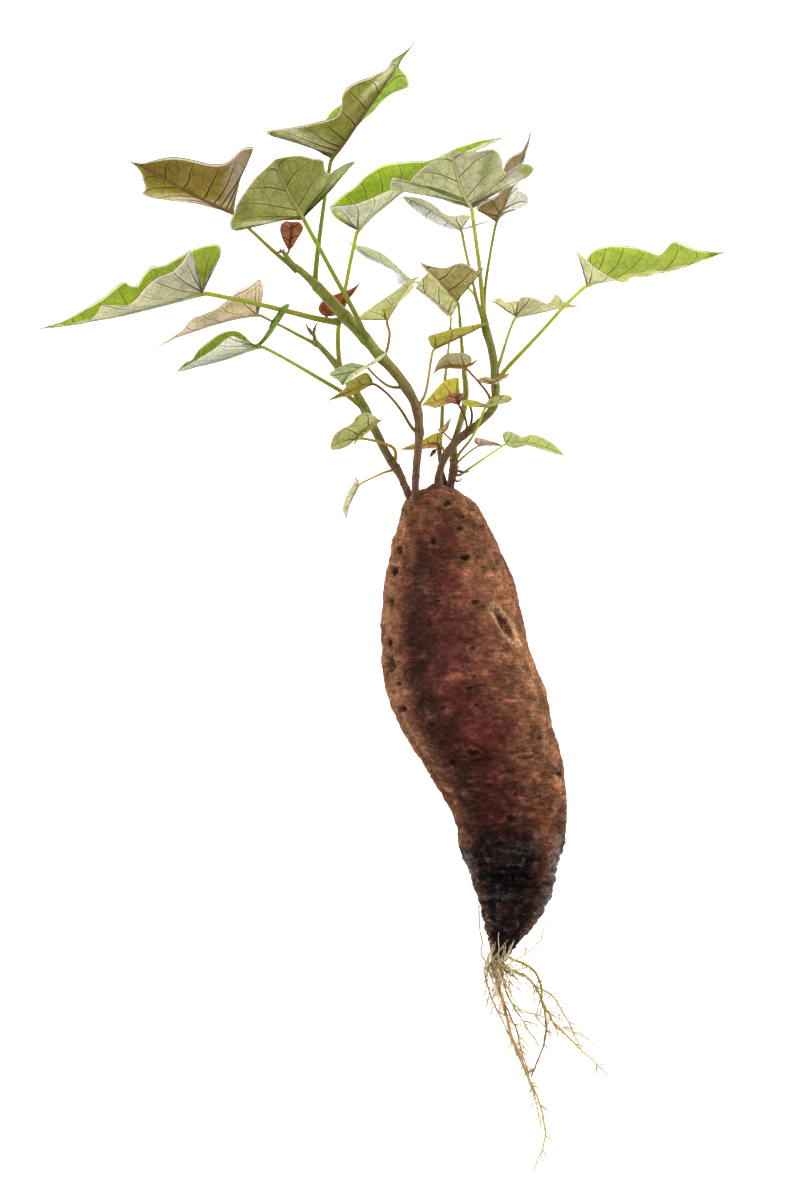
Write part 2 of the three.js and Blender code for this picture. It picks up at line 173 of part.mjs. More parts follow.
    mid: [[85.26,136.61,48.5],[89.06,138.08,47.65],[94.12,139.02,46.59],[100.45,140.14,45.38],[107.21,141.88,44.24],[114.38,142.14,43.31],[122.8,143.66,42.56],[131.21,146.2,42.16],[137.51,148.6,42.04],[143.81,150.7,42.0]],
    a: [[85.26,136.61,48.5],[84.38,141.34,53.5],[83.29,145.69,57.5],[80.66,150.24,61.5],[84.79,146.43,62.5],[88.95,142.77,62.5],[93.15,140.04,61.5],[96.93,138.23,60.5],[100.72,136.95,59.5],[104.51,139.38,58.5],[111.68,140.42,56.5],[120.12,141.91,54.5],[129.83,144.74,52.5],[143.81,150.7,42.0]],
    b: [[85.26,136.61,48.5],[86.48,141.08,43.5],[86.02,147.68,38.5],[88.26,151.5,34.5],[93.42,153.58,31.5],[101.93,154.13,29.5],[110.83,152.5,28.5],[117.38,150.52,28.5],[120.54,153.35,28.5],[123.02,156.03,29.5],[127.51,154.36,32.5],[133.51,151.88,38.5],[138.27,150.86,43.5],[143.81,150.7,42.0]],
    fa: [0.0,0.002,0.004,0.006,0.007,0.009,0.011,0.048,0.14,0.242,0.356,0.461,0.565,0.713,0.858,0.961,1.0],
    fb: [0.0,0.011,0.013,0.015,0.017,0.052,0.156,0.214,0.283,0.396,0.482,0.554,0.65,0.774,0.887,0.964,1.0] },
  leaf_right_lower: { stem: "shoot_back_right", colour: 0x86a83a, bulge: [0.8,0.8], stalkR: [0.6,0.45],
    stalk: [[30.16,58.01,26.5],[32.35,57.35,27.5],[34.44,58.81,28.5],[42.85,64.44,31.0],[51.22,70.26,34.0]],
    mid: [[51.63,70.88,34.5],[56.3,70.68,32.64],[62.25,70.27,30.77],[69.86,68.27,29.73],[77.03,65.52,30.0]],
    a: [[51.63,70.88,34.5],[50.85,73.07,31.5],[51.16,75.48,28.5],[53.48,76.17,26.5],[56.45,75.15,25.5],[59.41,73.67,25.5],[62.36,74.5,25.91],[66.57,73.81,26.53],[70.77,71.84,27.3],[74.54,68.73,28.32],[77.03,65.52,30.0]],
    b: [[51.63,70.88,34.5],[52.84,69.54,37.5],[55.3,68.36,40.5],[57.98,68.89,42.5],[60.71,69.57,42.5],[64.9,68.43,42.5],[70.41,66.68,40.5],[77.03,65.52,30.0]],
    fa: [0.0,0.002,0.004,0.006,0.007,0.037,0.131,0.216,0.282,0.35,0.431,0.518,0.61,0.738,0.867,0.963,1.0],
    fb: [0.0,0.002,0.004,0.006,0.007,0.009,0.016,0.084,0.211,0.329,0.451,0.583,0.682,0.794,0.897,0.971,1.0] },
  leaf_mid_narrow: { stem: "shoot_front_left", colour: 0x8d8440, bulge: [0.8,0.8], stalkR: [0.7,0.55],
    stalk: [[14.53,83.85,49.5],[15.78,86.95,50.5],[17.45,89.65,51.0],[18.83,94.65,51.5],[19.79,101.31,52.0],[20.58,106.32,52.3],[21.37,109.86,52.5]],
    mid: [[21.46,110.07,52.5],[26.23,112.19,51.84],[32.5,114.91,51.65],[38.75,117.58,52.67],[42.91,119.6,53.97],[45.81,120.8,55.0]],
    a: [[21.46,110.07,52.5],[19.94,111.81,55.5],[19.09,114.59,58.5],[23.65,116.16,60.5],[29.07,117.83,60.5],[34.49,118.92,59.5],[39.95,120.02,56.5],[45.81,120.8,55.0]],
    b: [[21.46,110.07,52.5],[20.81,112.92,49.5],[22.92,115.99,46.5],[28.38,117.92,45.5],[35.07,119.05,46.5],[40.47,120.03,49.5],[45.81,120.8,55.0]],
    fa: [0.0,0.002,0.004,0.006,0.007,0.009,0.011,0.058,0.159,0.279,0.396,0.506,0.612,0.749,0.874,0.965,1.0],
    fb: [0.0,0.002,0.004,0.006,0.019,0.081,0.156,0.232,0.306,0.381,0.462,0.548,0.637,0.758,0.879,0.966,1.0] },
  leaf_mid_yellow: { stem: "shoot_right", colour: 0xa9a24a, bulge: [0.8,0.8], stalkR: [0.65,0.5],
    stalk: [[45.8,87.4,43.5],[44.49,90.64,46.7],[42.57,93.29,48.7],[39.21,97.22,49.9],[36.69,99.92,50.3],[34.81,102.0,50.5]],
    mid: [[34.6,102.21,50.5],[30.4,102.78,51.92],[26.22,102.43,52.17],[23.3,101.21,51.38],[21.22,98.76,50.0]],
    a: [[34.6,102.21,50.5],[37.34,104.39,48.5],[36.87,106.78,46.5],[34.24,108.2,45.5],[30.47,108.29,45.5],[26.69,107.71,46.26],[24.17,105.62,46.99],[22.49,102.44,47.97],[21.22,98.76,50.0]],
    b: [[34.6,102.21,50.5],[37.9,102.92,53.5],[39.95,105.3,56.5],[37.23,102.55,57.5],[32.85,101.17,57.5],[28.27,101.38,56.5],[24.74,101.13,54.5],[22.67,100.12,52.5],[21.22,98.76,50.0]],
    fa: [0.0,0.002,0.004,0.006,0.007,0.009,0.011,0.013,0.015,0.106,0.246,0.398,0.525,0.682,0.843,0.957,1.0],
    fb: [0.0,0.002,0.004,0.006,0.007,0.009,0.011,0.013,0.015,0.063,0.18,0.307,0.436,0.616,0.809,0.947,1.0] },
  leaf_yellow_low: { stem: "shoot_right", colour: 0xa9a24a, bulge: [0.8,0.8], stalkR: [0.6,0.5],
    stalk: [[36.62,75.77,40.0],[37.1,78.33,38.5],[37.7,81.73,37.5],[37.29,85.11,37.0],[35.61,88.28,36.5],[33.01,91.03,36.0]],
    mid: [[32.67,91.33,36.0],[27.62,89.77,36.0],[22.57,88.09,36.0],[16.26,86.41,36.0]],
    a: [[32.67,91.33,36.0],[32.41,95.14,33.0],[32.01,98.38,31.0],[28.52,98.08,30.0],[25.57,96.73,30.0],[22.82,94.01,31.75],[19.65,90.29,33.25],[16.26,86.41,36.0]],
    b: [[32.67,91.33,36.0],[29.49,87.98,39.0],[25.06,86.23,41.0],[21.9,85.36,42.0],[19.4,86.35,40.0],[16.26,86.41,36.0]],
    fa: [0.0,0.002,0.004,0.006,0.007,0.009,0.011,0.013,0.017,0.113,0.236,0.368,0.502,0.676,0.84,0.956,1.0],
    fb: [0.0,0.025,0.051,0.082,0.122,0.177,0.24,0.303,0.364,0.421,0.493,0.578,0.658,0.774,0.888,0.968,1.0] },
  leaf_purple_low: { stem: "shoot_right", colour: 0x4d3430, bulge: [0.8,0.8], stalkR: [0.6,0.5],
    stalk: [[34.73,73.68,39.5],[35.45,76.73,43.0],[35.0,80.23,45.0],[33.82,83.34,46.0],[32.26,86.13,46.5]],
    mid: [[32.14,86.34,46.5],[31.49,88.3,47.92],[30.84,91.23,50.0]],
    a: [[32.14,86.34,46.5],[29.62,87.07,47.0],[26.26,87.89,47.5],[26.8,89.53,48.5],[27.92,91.13,49.5],[30.84,91.23,50.0]],
    b: [[32.14,86.34,46.5],[33.09,87.91,47.0],[34.21,90.05,48.0],[33.91,91.23,49.0],[30.84,91.23,50.0]],
    fa: [0.0,0.018,0.038,0.052,0.057,0.059,0.061,0.063,0.103,0.245,0.393,0.546,0.696,0.802,0.901,0.972,1.0],
    fb: [0.0,0.02,0.043,0.069,0.101,0.135,0.179,0.237,0.312,0.402,0.504,0.607,0.694,0.799,0.898,0.97,1.0] },
  leaf_left_mid: { stem: "shoot_front_left", colour: 0x6f8f45, bulge: [0.8,0.8], stalkR: [0.75,0.5],
    stalk: [[10.34,93.15,52.5],[7.42,93.61,53.5],[4.08,93.61,54.5],[0.54,95.31,56.0],[-3.0,98.38,57.5],[-6.54,102.09,58.5]],
    mid: [[-6.75,102.29,58.7],[-10.92,100.45,57.77],[-14.06,97.98,56.96],[-16.65,94.06,56.0]],
    a: [[-6.75,102.29,58.7],[-10.1,103.33,55.7],[-13.46,103.75,53.7],[-17.23,102.54,52.7],[-20.15,100.74,52.7],[-22.23,99.16,53.7],[-20.33,97.43,55.2],[-18.22,96.16,57.7],[-16.65,94.06,56.0]],
    b: [[-6.75,102.29,58.7],[-2.99,104.12,61.7],[2.01,108.19,63.7],[-0.49,104.78,63.7],[-4.23,102.41,62.7],[-8.39,99.71,62.7],[-12.35,96.96,61.7],[-15.07,94.92,59.7],[-16.65,94.06,56.0]],
    fa: [0.0,0.036,0.076,0.118,0.151,0.205,0.272,0.342,0.402,0.471,0.546,0.653,0.722,0.79,0.854,0.955,1.0],
    fb: [0.0,0.002,0.004,0.006,0.007,0.009,0.011,0.013,0.015,0.017,0.019,0.029,0.205,0.49,0.766,0.939,1.0] },
  leaf_left_dark: { stem: "shoot_front_left", colour: 0x8d8440, bulge: [0.8,0.8], stalkR: [0.75,0.55],
    stalk: [[15.38,75.12,47.5],[13.49,75.72,48.5],[11.81,77.78,49.5],[8.26,83.6,50.5],[3.66,89.46,50.5],[-0.52,93.31,50.3],[-3.66,95.42,50.0]],
    mid: [[-3.87,95.54,50.0],[-8.48,93.91,48.86],[-13.51,91.52,48.0],[-17.69,90.18,47.79],[-23.34,87.87,48.0]],
    a: [[-3.87,95.54,50.0],[-4.72,98.13,48.0],[-6.82,100.09,46.0],[-10.19,98.71,44.0],[-13.12,96.61,44.0],[-15.42,93.85,45.0],[-17.29,91.92,46.0],[-19.37,90.72,48.0],[-21.45,89.18,49.0],[-23.34,87.87,48.0]],
    b: [[-3.87,95.54,50.0],[-6.78,93.3,54.0],[-12.2,90.42,55.0],[-16.6,89.37,53.0],[-20.59,88.52,51.0],[-23.34,87.87,48.0]],
    fa: [0.0,0.002,0.004,0.006,0.007,0.026,0.089,0.168,0.262,0.368,0.473,0.569,0.659,0.77,0.878,0.964,1.0],
    fb: [0.0,0.003,0.005,0.006,0.016,0.072,0.142,0.216,0.299,0.389,0.483,0.577,0.671,0.789,0.897,0.971,1.0] },
  leaf_left_curled: { stem: "shoot_left", colour: 0x6f8f45, bulge: [2.0,-0.8], stalkR: [0.75,0.6],
    stalk: [[4.9,62.97,31.0],[5.75,66.29,33.0],[4.48,68.97,35.0],[1.12,70.47,37.0],[-3.08,71.61,38.5],[-7.7,72.59,39.5],[-10.84,72.74,40.0]],
    mid: [[-11.05,72.7,40.0],[-8.52,75.69,42.54],[-5.15,77.87,44.12],[-2.22,79.41,44.41],[1.14,80.89,44.0]],
    a: [[-11.05,72.7,40.0],[-14.43,69.52,38.0],[-18.63,67.97,38.0],[-21.55,68.08,40.0],[-20.76,73.16,43.0],[-17.3,76.45,45.0],[-13.1,78.6,46.0],[-10.58,81.84,47.0],[-6.6,83.3,47.0],[-3.05,81.9,45.0],[-0.97,80.2,42.0],[1.14,80.89,44.0]],
    b: [[-11.05,72.7,40.0],[-12.29,70.01,43.0],[-10.18,71.72,45.0],[-7.24,74.04,46.0],[-4.1,76.75,45.0],[-1.17,79.33,43.0],[1.14,80.89,44.0]],
    fa: [0.0,0.002,0.004,0.006,0.007,0.009,0.011,0.013,0.015,0.033,0.147,0.255,0.411,0.635,0.831,0.933,1.0],
    fb: [0.0,0.002,0.004,0.006,0.007,0.01,0.078,0.168,0.268,0.364,0.456,0.547,0.635,0.744,0.866,0.963,1.0] },
  leaf_low_left: { stem: "shoot_left", colour: 0xa9b894, bulge: [0.8,0.8], stalkR: [0.6,0.42],
    stalk: [[6.17,59.99,32.2],[3.85,59.45,32.0],[0.26,58.33,31.0],[-5.22,55.82,30.0],[-9.66,53.73,29.0]],
    mid: [[-9.87,53.65,29.0],[-11.77,50.58,28.31],[-13.47,47.01,27.56],[-14.74,42.8,26.72],[-15.13,39.01,26.0]],
    a: [[-9.87,53.65,29.0],[-10.49,55.8,31.0],[-11.11,57.34,32.0],[-12.36,53.21,34.0],[-14.75,49.82,35.0],[-15.72,46.88,35.0],[-16.74,43.53,34.0],[-16.18,40.83,31.0],[-15.13,39.01,26.0]],
    b: [[-9.87,53.65,29.0],[-10.31,51.68,26.0],[-12.02,48.34,24.0],[-13.92,44.75,24.0],[-14.66,41.54,26.0],[-15.13,39.01,26.0]],
    fa: [0.0,0.002,0.004,0.006,0.007,0.009,0.011,0.016,0.093,0.193,0.302,0.421,0.544,0.704,0.856,0.96,1.0],
    fb: [0.0,0.015,0.03,0.057,0.102,0.158,0.22,0.29,0.365,0.443,0.524,0.605,0.684,0.791,0.897,0.971,1.0] },
  leaf_red_mid: { stem: "shoot_front_left", colour: 0x7a3a24, bulge: [0.8,0.8], stalkR: [0.6,0.45],
    stalk: [[-18.45,121.41,55.5],[-20.36,121.76,52.5],[-22.27,122.31,50.0],[-23.55,123.22,48.5]],
    mid: [[-23.54,123.32,49.0],[-19.38,127.29,46.76],[-14.78,131.55,45.38],[-11.43,135.11,45.37],[-8.5,139.14,46.0]],
    a: [[-23.54,123.32,49.0],[-25.62,124.4,50.0],[-26.87,126.91,50.0],[-25.4,129.6,50.5],[-22.68,131.45,51.0],[-18.5,133.13,51.0],[-14.32,134.41,50.5],[-10.98,136.23,50.0],[-8.5,139.14,46.0]],
    b: [[-23.54,123.32,49.0],[-20.23,123.76,46.0],[-16.47,125.67,44.0],[-15.02,128.53,43.0],[-13.83,130.99,44.0],[-11.85,133.52,46.0],[-9.74,136.64,48.0],[-8.5,139.14,46.0]],
    fa: [0.0,0.002,0.004,0.006,0.007,0.009,0.052,0.136,0.221,0.315,0.423,0.536,0.636,0.773,0.891,0.97,1.0],
    fb: [0.0,0.032,0.067,0.113,0.165,0.225,0.295,0.366,0.442,0.52,0.598,0.664,0.717,0.795,0.892,0.97,1.0] },
  leaf_centre_fold: { stem: "shoot_front_left", colour: 0xa3a83c, bulge: [0.8,0.8], stalkR: [0.7,0.55],
    stalk: [[-0.51,105.74,56.0],[0.95,106.64,54.5],[1.99,109.21,53.0],[2.82,113.06,51.0],[3.07,117.1,49.5],[2.19,119.66,48.5],[1.65,121.86,48.0]],
    mid: [[1.56,121.99,48.0],[4.28,126.2,47.58],[7.42,130.62,47.12],[10.56,134.83,46.67],[12.87,138.2,46.32],[16.01,140.4,46.0]],
    a: [[1.56,121.99,48.0],[-4.31,122.06,44.0],[-8.95,122.34,41.0],[-10.09,123.4,39.0],[-8.97,124.85,37.0],[-5.19,127.63,36.0],[-0.98,130.29,36.0],[3.23,133.11,38.24],[7.43,136.24,40.16],[10.78,138.66,41.81],[12.88,139.85,43.01],[16.01,140.4,46.0]],
    b: [[1.56,121.99,48.0],[0.32,123.67,52.0],[-0.51,125.94,55.0],[2.0,127.17,57.0],[5.12,128.34,57.0],[8.25,130.22,56.0],[11.18,132.54,54.0],[13.27,135.16,52.0],[13.19,137.57,50.0],[16.01,140.4,46.0]],
    fa: [0.0,0.002,0.004,0.006,0.007,0.009,0.011,0.013,0.015,0.021,0.147,0.292,0.442,0.651,0.826,0.951,1.0],
    fb: [0.0,0.002,0.004,0.006,0.007,0.009,0.012,0.081,0.175,0.274,0.376,0.479,0.578,0.718,0.861,0.962,1.0] },
  leaf_back_pale: { stem: "shoot_right", colour: 0x86a83a, bulge: [0.8,0.8], stalkR: [0.75,0.5],
    stalk: [[43.47,116.69,45.0],[42.71,121.55,40.0],[40.74,128.74,31.0],[38.3,134.6,24.0],[34.14,138.29,18.5],[27.81,139.92,16.0],[20.6,140.19,15.0],[13.81,139.39,14.0]],
    mid: [[13.39,139.39,14.0],[7.87,143.26,13.24],[2.34,147.13,12.47],[-4.03,150.79,11.64],[-10.42,154.46,10.8],[-16.38,158.33,10.0]],
    a: [[13.39,139.39,14.0],[9.56,143.25,17.0],[5.74,146.74,19.0],[1.93,150.07,20.0],[-2.73,152.74,20.0],[-7.39,154.66,19.0],[-11.23,155.7,16.0],[-16.38,158.33,10.0]],
    b: [[13.39,139.39,14.0],[9.99,138.29,11.0],[6.38,139.46,9.0],[5.1,143.99,8.0],[1.06,146.63,8.0],[-3.2,148.54,8.0],[-7.45,150.44,9.0],[-10.63,153.17,11.0],[-16.38,158.33,10.0]],
    fa: [0.0,0.031,0.066,0.105,0.15,0.2,0.252,0.309,0.373,0.444,0.517,0.596,0.677,0.787,0.894,0.97,1.0],
    fb: [0.0,0.003,0.016,0.057,0.118,0.177,0.247,0.323,0.399,0.472,0.547,0.623,0.699,0.799,0.899,0.971,1.0] },
  leaf_node_bud: { stem: "shoot_right", colour: 0x8a6a63, bulge: [0.8,0.8], stalkR: [0.6,0.5],
    stalk: [[47.06,86.15,43.5],[46.52,89.01,45.6],[46.08,92.31,46.9],[45.94,94.8,47.4]],
    mid: [[45.94,95.01,47.5],[48.25,96.48,47.35],[50.76,98.04,47.18],[53.49,99.84,47.0]],
    a: [[45.94,95.01,47.5],[42.82,95.47,46.5],[39.26,96.68,46.5],[41.34,97.83,47.0],[43.85,98.27,47.5],[46.36,97.4,47.5],[49.07,98.21,48.0],[51.38,99.27,47.8],[53.49,99.84,47.0]],
    b: [[45.94,95.01,47.5],[47.79,95.14,49.5],[50.28,96.65,50.5],[52.4,97.96,49.0],[53.49,99.84,47.0]],
    fa: [0.0,0.002,0.004,0.006,0.007,0.009,0.011,0.013,0.015,0.017,0.024,0.171,0.327,0.547,0.772,0.937,1.0],
    fb: [0.0,0.005,0.008,0.017,0.046,0.092,0.148,0.213,0.29,0.376,0.466,0.555,0.646,0.768,0.885,0.968,1.0] },
  leaf_two_lobed: { stem: "shoot_back_right", colour: 0x86a83a, bulge: [0.8,0.8], stalkR: [0.65,0.5],
    stalk: [[30.24,62.64,27.0],[31.7,65.34,29.0],[33.54,67.96,33.5],[35.8,70.56,38.5],[37.91,73.56,43.5],[40.0,77.65,47.0],[41.52,81.77,49.0],[42.85,85.09,50.0]],
    mid: [[42.97,85.41,50.3],[47.16,87.18,49.83],[51.35,88.54,49.37],[54.83,88.97,49.0]],
    a: [[42.97,85.41,50.3],[43.61,87.62,49.3],[46.78,89.99,47.3],[50.57,90.74,46.3],[53.46,90.17,48.3],[54.83,88.97,49.0]],
    b: [[42.97,85.41,50.3],[40.02,85.38,51.3],[35.83,85.59,52.3],[33.74,86.68,52.3],[33.88,88.18,51.3],[37.52,88.38,51.3],[41.26,87.26,52.3],[44.59,85.89,53.3],[48.33,86.32,54.3],[52.54,87.26,52.3],[54.83,88.97,49.0]],
    fa: [0.0,0.011,0.028,0.067,0.117,0.17,0.227,0.293,0.361,0.43,0.503,0.583,0.664,0.776,0.887,0.969,1.0],
    fb: [0.0,0.002,0.004,0.006,0.007,0.009,0.011,0.013,0.015,0.017,0.019,0.07,0.211,0.475,0.749,0.935,1.0] },
  leaf_low_pink: { stem: "shoot_back_right", colour: 0x8a6a63, bulge: [0.8,0.8], stalkR: [0.5,0.38],
    stalk: [[30.24,60.53,27.0],[31.92,63.04,28.0],[34.43,65.33,29.5],[37.37,67.73,31.0],[40.3,69.77,32.0]],
    mid: [[40.47,69.94,32.0],[43.26,70.25,31.51],[46.64,70.26,30.92],[51.93,69.74,30.0]],
    a: [[40.47,69.94,32.0],[38.76,71.27,31.0],[39.19,73.28,30.0],[41.61,73.06,29.0],[44.99,72.13,29.0],[48.34,70.99,30.5],[51.93,69.74,30.0]],
    b: [[40.47,69.94,32.0],[42.8,69.51,34.0],[46.17,69.63,34.0],[49.13,69.53,33.0],[51.93,69.74,30.0]],
    fa: [0.0,0.002,0.004,0.006,0.007,0.009,0.011,0.05,0.15,0.257,0.364,0.469,0.572,0.716,0.858,0.961,1.0],
    fb: [0.0,0.009,0.015,0.03,0.069,0.13,0.199,0.272,0.348,0.424,0.504,0.586,0.67,0.783,0.892,0.97,1.0] },
  leaf_low_olive: { stem: "shoot_right", colour: 0x6f7a35, bulge: [0.8,0.8], stalkR: [0.55,0.5],
    stalk: [[26.98,65.34,37.0],[25.94,67.68,36.0],[25.11,69.18,35.0],[24.4,69.7,34.5]],
    mid: [[24.27,69.83,34.3],[21.11,70.59,34.24],[17.54,69.63,34.18],[12.9,68.96,34.1],[7.43,68.12,34.0]],
    a: [[24.27,69.83,34.3],[25.13,72.42,32.3],[25.01,74.95,30.8],[22.62,75.23,29.8],[20.09,74.19,29.3],[17.14,72.29,29.3],[13.34,70.83,30.3],[10.38,69.68,32.3],[7.43,68.12,34.0]],
    b: [[24.27,69.83,34.3],[22.57,68.73,36.3],[18.36,68.38,36.8],[12.48,67.9,35.8],[7.43,68.12,34.0]],
    fa: [0.0,0.002,0.004,0.006,0.007,0.009,0.011,0.035,0.105,0.218,0.341,0.452,0.561,0.71,0.856,0.96,1.0],
    fb: [0.0,0.002,0.004,0.016,0.116,0.207,0.273,0.335,0.403,0.473,0.546,0.621,0.696,0.799,0.9,0.972,1.0] },
  leaf_tiny_orange: { stem: "shoot_right", colour: 0x7a3a24, bulge: [0.8,0.8], stalkR: [0.42,0.38],
    stalk: [[30.97,70.78,38.0],[29.1,72.1,36.0],[27.43,73.62,34.5],[25.96,75.12,33.5]],
    mid: [[25.79,75.29,33.3],[27.02,77.68,32.49],[29.19,82.15,31.0]],
    a: [[25.79,75.29,33.3],[23.85,75.41,33.8],[23.34,77.2,34.3],[24.77,76.94,34.5],[26.5,79.22,34.3],[29.19,82.15,31.0]],
    b: [[25.79,75.29,33.3],[27.24,76.25,32.3],[28.29,78.96,31.8],[29.19,82.15,31.0]],
    fa: [0.0,0.002,0.004,0.006,0.007,0.009,0.011,0.013,0.076,0.172,0.28,0.398,0.519,0.684,0.843,0.957,1.0],
    fb: [0.0,0.033,0.066,0.106,0.158,0.221,0.291,0.36,0.432,0.501,0.572,0.643,0.713,0.809,0.905,0.973,1.0] },
  leaf_tiny_red: { stem: "shoot_back_centre", colour: 0x7a3a24, bulge: [0.8,0.8], stalkR: [0.4,0.35],
    stalk: [[24.23,67.4,22.8],[23.42,68.3,24.0],[22.86,68.61,25.0]],
    mid: [[22.78,68.52,25.2],[21.59,67.34,25.13],[19.9,65.02,25.0]],
    a: [[22.78,68.52,25.2],[21.38,68.33,26.0],[20.32,66.89,26.2],[19.9,65.02,25.0]],
    b: [[22.78,68.52,25.2],[22.65,67.14,24.7],[21.39,65.75,24.4],[19.9,65.02,25.0]],
    fa: [0.0,0.017,0.032,0.049,0.076,0.122,0.178,0.241,0.31,0.387,0.471,0.558,0.647,0.767,0.884,0.967,1.0],
    fb: [0.0,0.02,0.037,0.058,0.09,0.143,0.213,0.288,0.365,0.442,0.52,0.6,0.681,0.79,0.895,0.97,1.0] },
};

// Buds at the shoot ends: short tapering strands that start inside the shoot.
const BUDS = {
  bud_front_left: { stem: "shoot_front_left", r: [0.62,0.18], strands: [[[-40.61,148.43,63.8],[-42.05,149.64,64.5],[-43.7,149.19,65.0],[-44.94,149.59,65.3]],[[-40.81,148.84,64.0],[-42.23,150.41,65.5],[-42.85,151.21,66.0]],[[-40.6,148.42,64.0],[-41.0,150.24,64.8],[-40.46,151.27,65.0]]] },
  bud_left: { stem: "shoot_left", r: [0.62,0.2], strands: [[[-28.77,116.3,26.5],[-29.81,117.1,27.5],[-31.18,118.95,28.5],[-32.52,121.87,29.3]],[[-28.76,118.4,26.8],[-28.33,120.47,27.6],[-27.05,121.79,28.3]],[[-29.1,116.91,27.0],[-30.47,118.95,28.5],[-30.63,119.98,29.0]]] },
  bud_low_right: { stem: "shoot_back_right", r: [0.6,0.2], strands: [[[30.15,59.25,27.5],[32.32,59.2,30.0],[34.83,58.62,31.2],[37.56,59.36,32.0]],[[30.03,56.31,27.0],[31.91,54.79,29.0],[33.78,56.64,31.0]],[[30.02,59.47,27.5],[31.69,60.26,29.5],[32.44,61.5,30.5]]] },
};

// Thin fibrous roots at the tip: strands of one cluster are grown together.
const FIBRES = {
  roots_long: [
    { r: [1.05,0.36], pts: [[46.83,-146.42,20.0],[46.88,-150.43,17.0],[48.45,-155.86,12.0],[50.46,-162.58,7.0],[52.23,-170.93,3.5],[54.6,-179.57,2.0],[57.39,-186.86,1.6],[60.38,-194.13,1.5],[63.37,-200.96,1.4],[66.14,-207.8,1.3],[68.07,-213.36,1.2],[69.14,-218.92,1.1],[69.35,-224.48,1.0],[68.29,-229.61,0.9],[66.37,-233.89,0.8],[64.24,-239.03,0.7]] },
    { r: [0.6,0.35], pts: [[45.17,-145.7,18.0],[43.52,-150.99,15.0],[44.02,-156.84,10.0],[45.79,-163.08,6.0],[48.4,-169.25,3.2],[51.4,-175.29,2.2],[54.4,-181.75,1.5],[57.18,-188.17,1.3],[59.96,-195.0,1.2],[62.95,-201.84,1.1],[65.3,-207.83,1.0],[66.37,-213.81,1.0],[67.65,-220.22,0.9]] },
    { r: [0.6,0.35], pts: [[48.51,-146.36,21.0],[48.15,-152.98,17.0],[48.68,-159.33,11.0],[50.67,-165.14,7.0],[53.5,-170.47,4.0],[56.09,-175.69,2.6],[57.81,-180.43,2.0],[58.88,-186.0,1.7],[60.38,-191.56,1.6],[62.51,-198.39,1.5]] } ],
  roots_right: [
    { r: [0.75,0.35], pts: [[49.76,-146.3,22.0],[52.34,-150.66,20.0],[55.77,-152.49,18.0],[60.52,-154.87,14.0],[64.44,-159.39,10.0],[67.51,-164.75,6.5],[70.57,-171.36,3.5],[74.02,-177.0,2.2],[79.15,-181.72,1.8],[84.28,-186.87,1.5],[89.84,-192.02,1.2],[96.25,-198.01,1.0]] },
    { r: [0.7,0.4], pts: [[52.22,-145.2,26.0],[55.6,-147.31,26.0],[59.0,-148.35,25.0],[62.45,-150.53,22.0],[65.3,-153.97,18.0],[67.13,-158.76,13.0],[67.67,-164.6,8.5],[68.82,-169.97,5.0],[69.73,-175.23,3.0],[69.75,-179.99,2.2],[68.48,-185.58,1.6],[67.21,-189.44,1.4],[65.51,-194.15,1.2],[63.59,-198.86,1.0]] },
    { r: [0.5,0.35], pts: [[65.3,-160.27,9.6],[69.62,-161.73,7.0],[73.1,-165.31,4.6],[76.13,-170.11,3.0],[79.14,-174.88,2.0],[81.29,-180.02,1.7],[84.49,-186.44,1.5]] } ],
  roots_fine: [
    { r: [0.6,0.35], pts: [[47.13,-145.56,27.0],[48.82,-149.78,27.0],[50.57,-153.78,24.0],[52.39,-160.61,17.0],[55.08,-167.05,10.0],[59.02,-173.38,5.0],[62.9,-179.5,3.0],[66.77,-185.55,2.0]] },
    { r: [0.45,0.35], pts: [[54.19,-165.22,11.8],[58.1,-169.09,8.3],[62.83,-171.39,6.0],[68.39,-172.93,5.3],[73.53,-175.98,4.4],[78.24,-180.3,3.6]] },
    { r: [0.5,0.35], pts: [[48.38,-145.07,28.0],[50.88,-149.58,30.0],[55.49,-147.41,31.0],[61.4,-143.41,31.0],[68.17,-137.35,30.0]] } ],
  roots_left_hair: [
    { r: [0.4,0.35], pts: [[46.12,-143.96,12.0],[44.44,-149.15,10.5],[42.52,-146.15,11.0],[42.07,-140.53,12.5],[41.33,-133.25,13.5],[40.56,-124.72,14.0]] } ],
};

const wasm = await Module();
wasm.setup();

const v3 = (p) => new THREE.Vector3(p[0], p[1], p[2]);
function curve(pts) {
  const c = new THREE.CatmullRomCurve3(pts.map(v3), false, "centripetal");
  c.arcLengthDivisions = 400;
  return c;
}
function lerpTable(tab, t) {
  if (t <= tab[0][0]) return tab[0][1];
  for (let i = 1; i < tab.length; i++) {
    if (t <= tab[i][0]) {
      const [a, ra] = tab[i - 1], [b, rb] = tab[i];
      return ra + (rb - ra) * (t - a) / (b - a);
    }
  }
  return tab[tab.length - 1][1];
}
function lerpEven(tab, t) {
  const x = Math.min(Math.max(t, 0), 1) * (tab.length - 1), i = Math.min(Math.floor(x), tab.length - 2);
  return tab[i] + (tab[i + 1] - tab[i]) * (x - i);
}

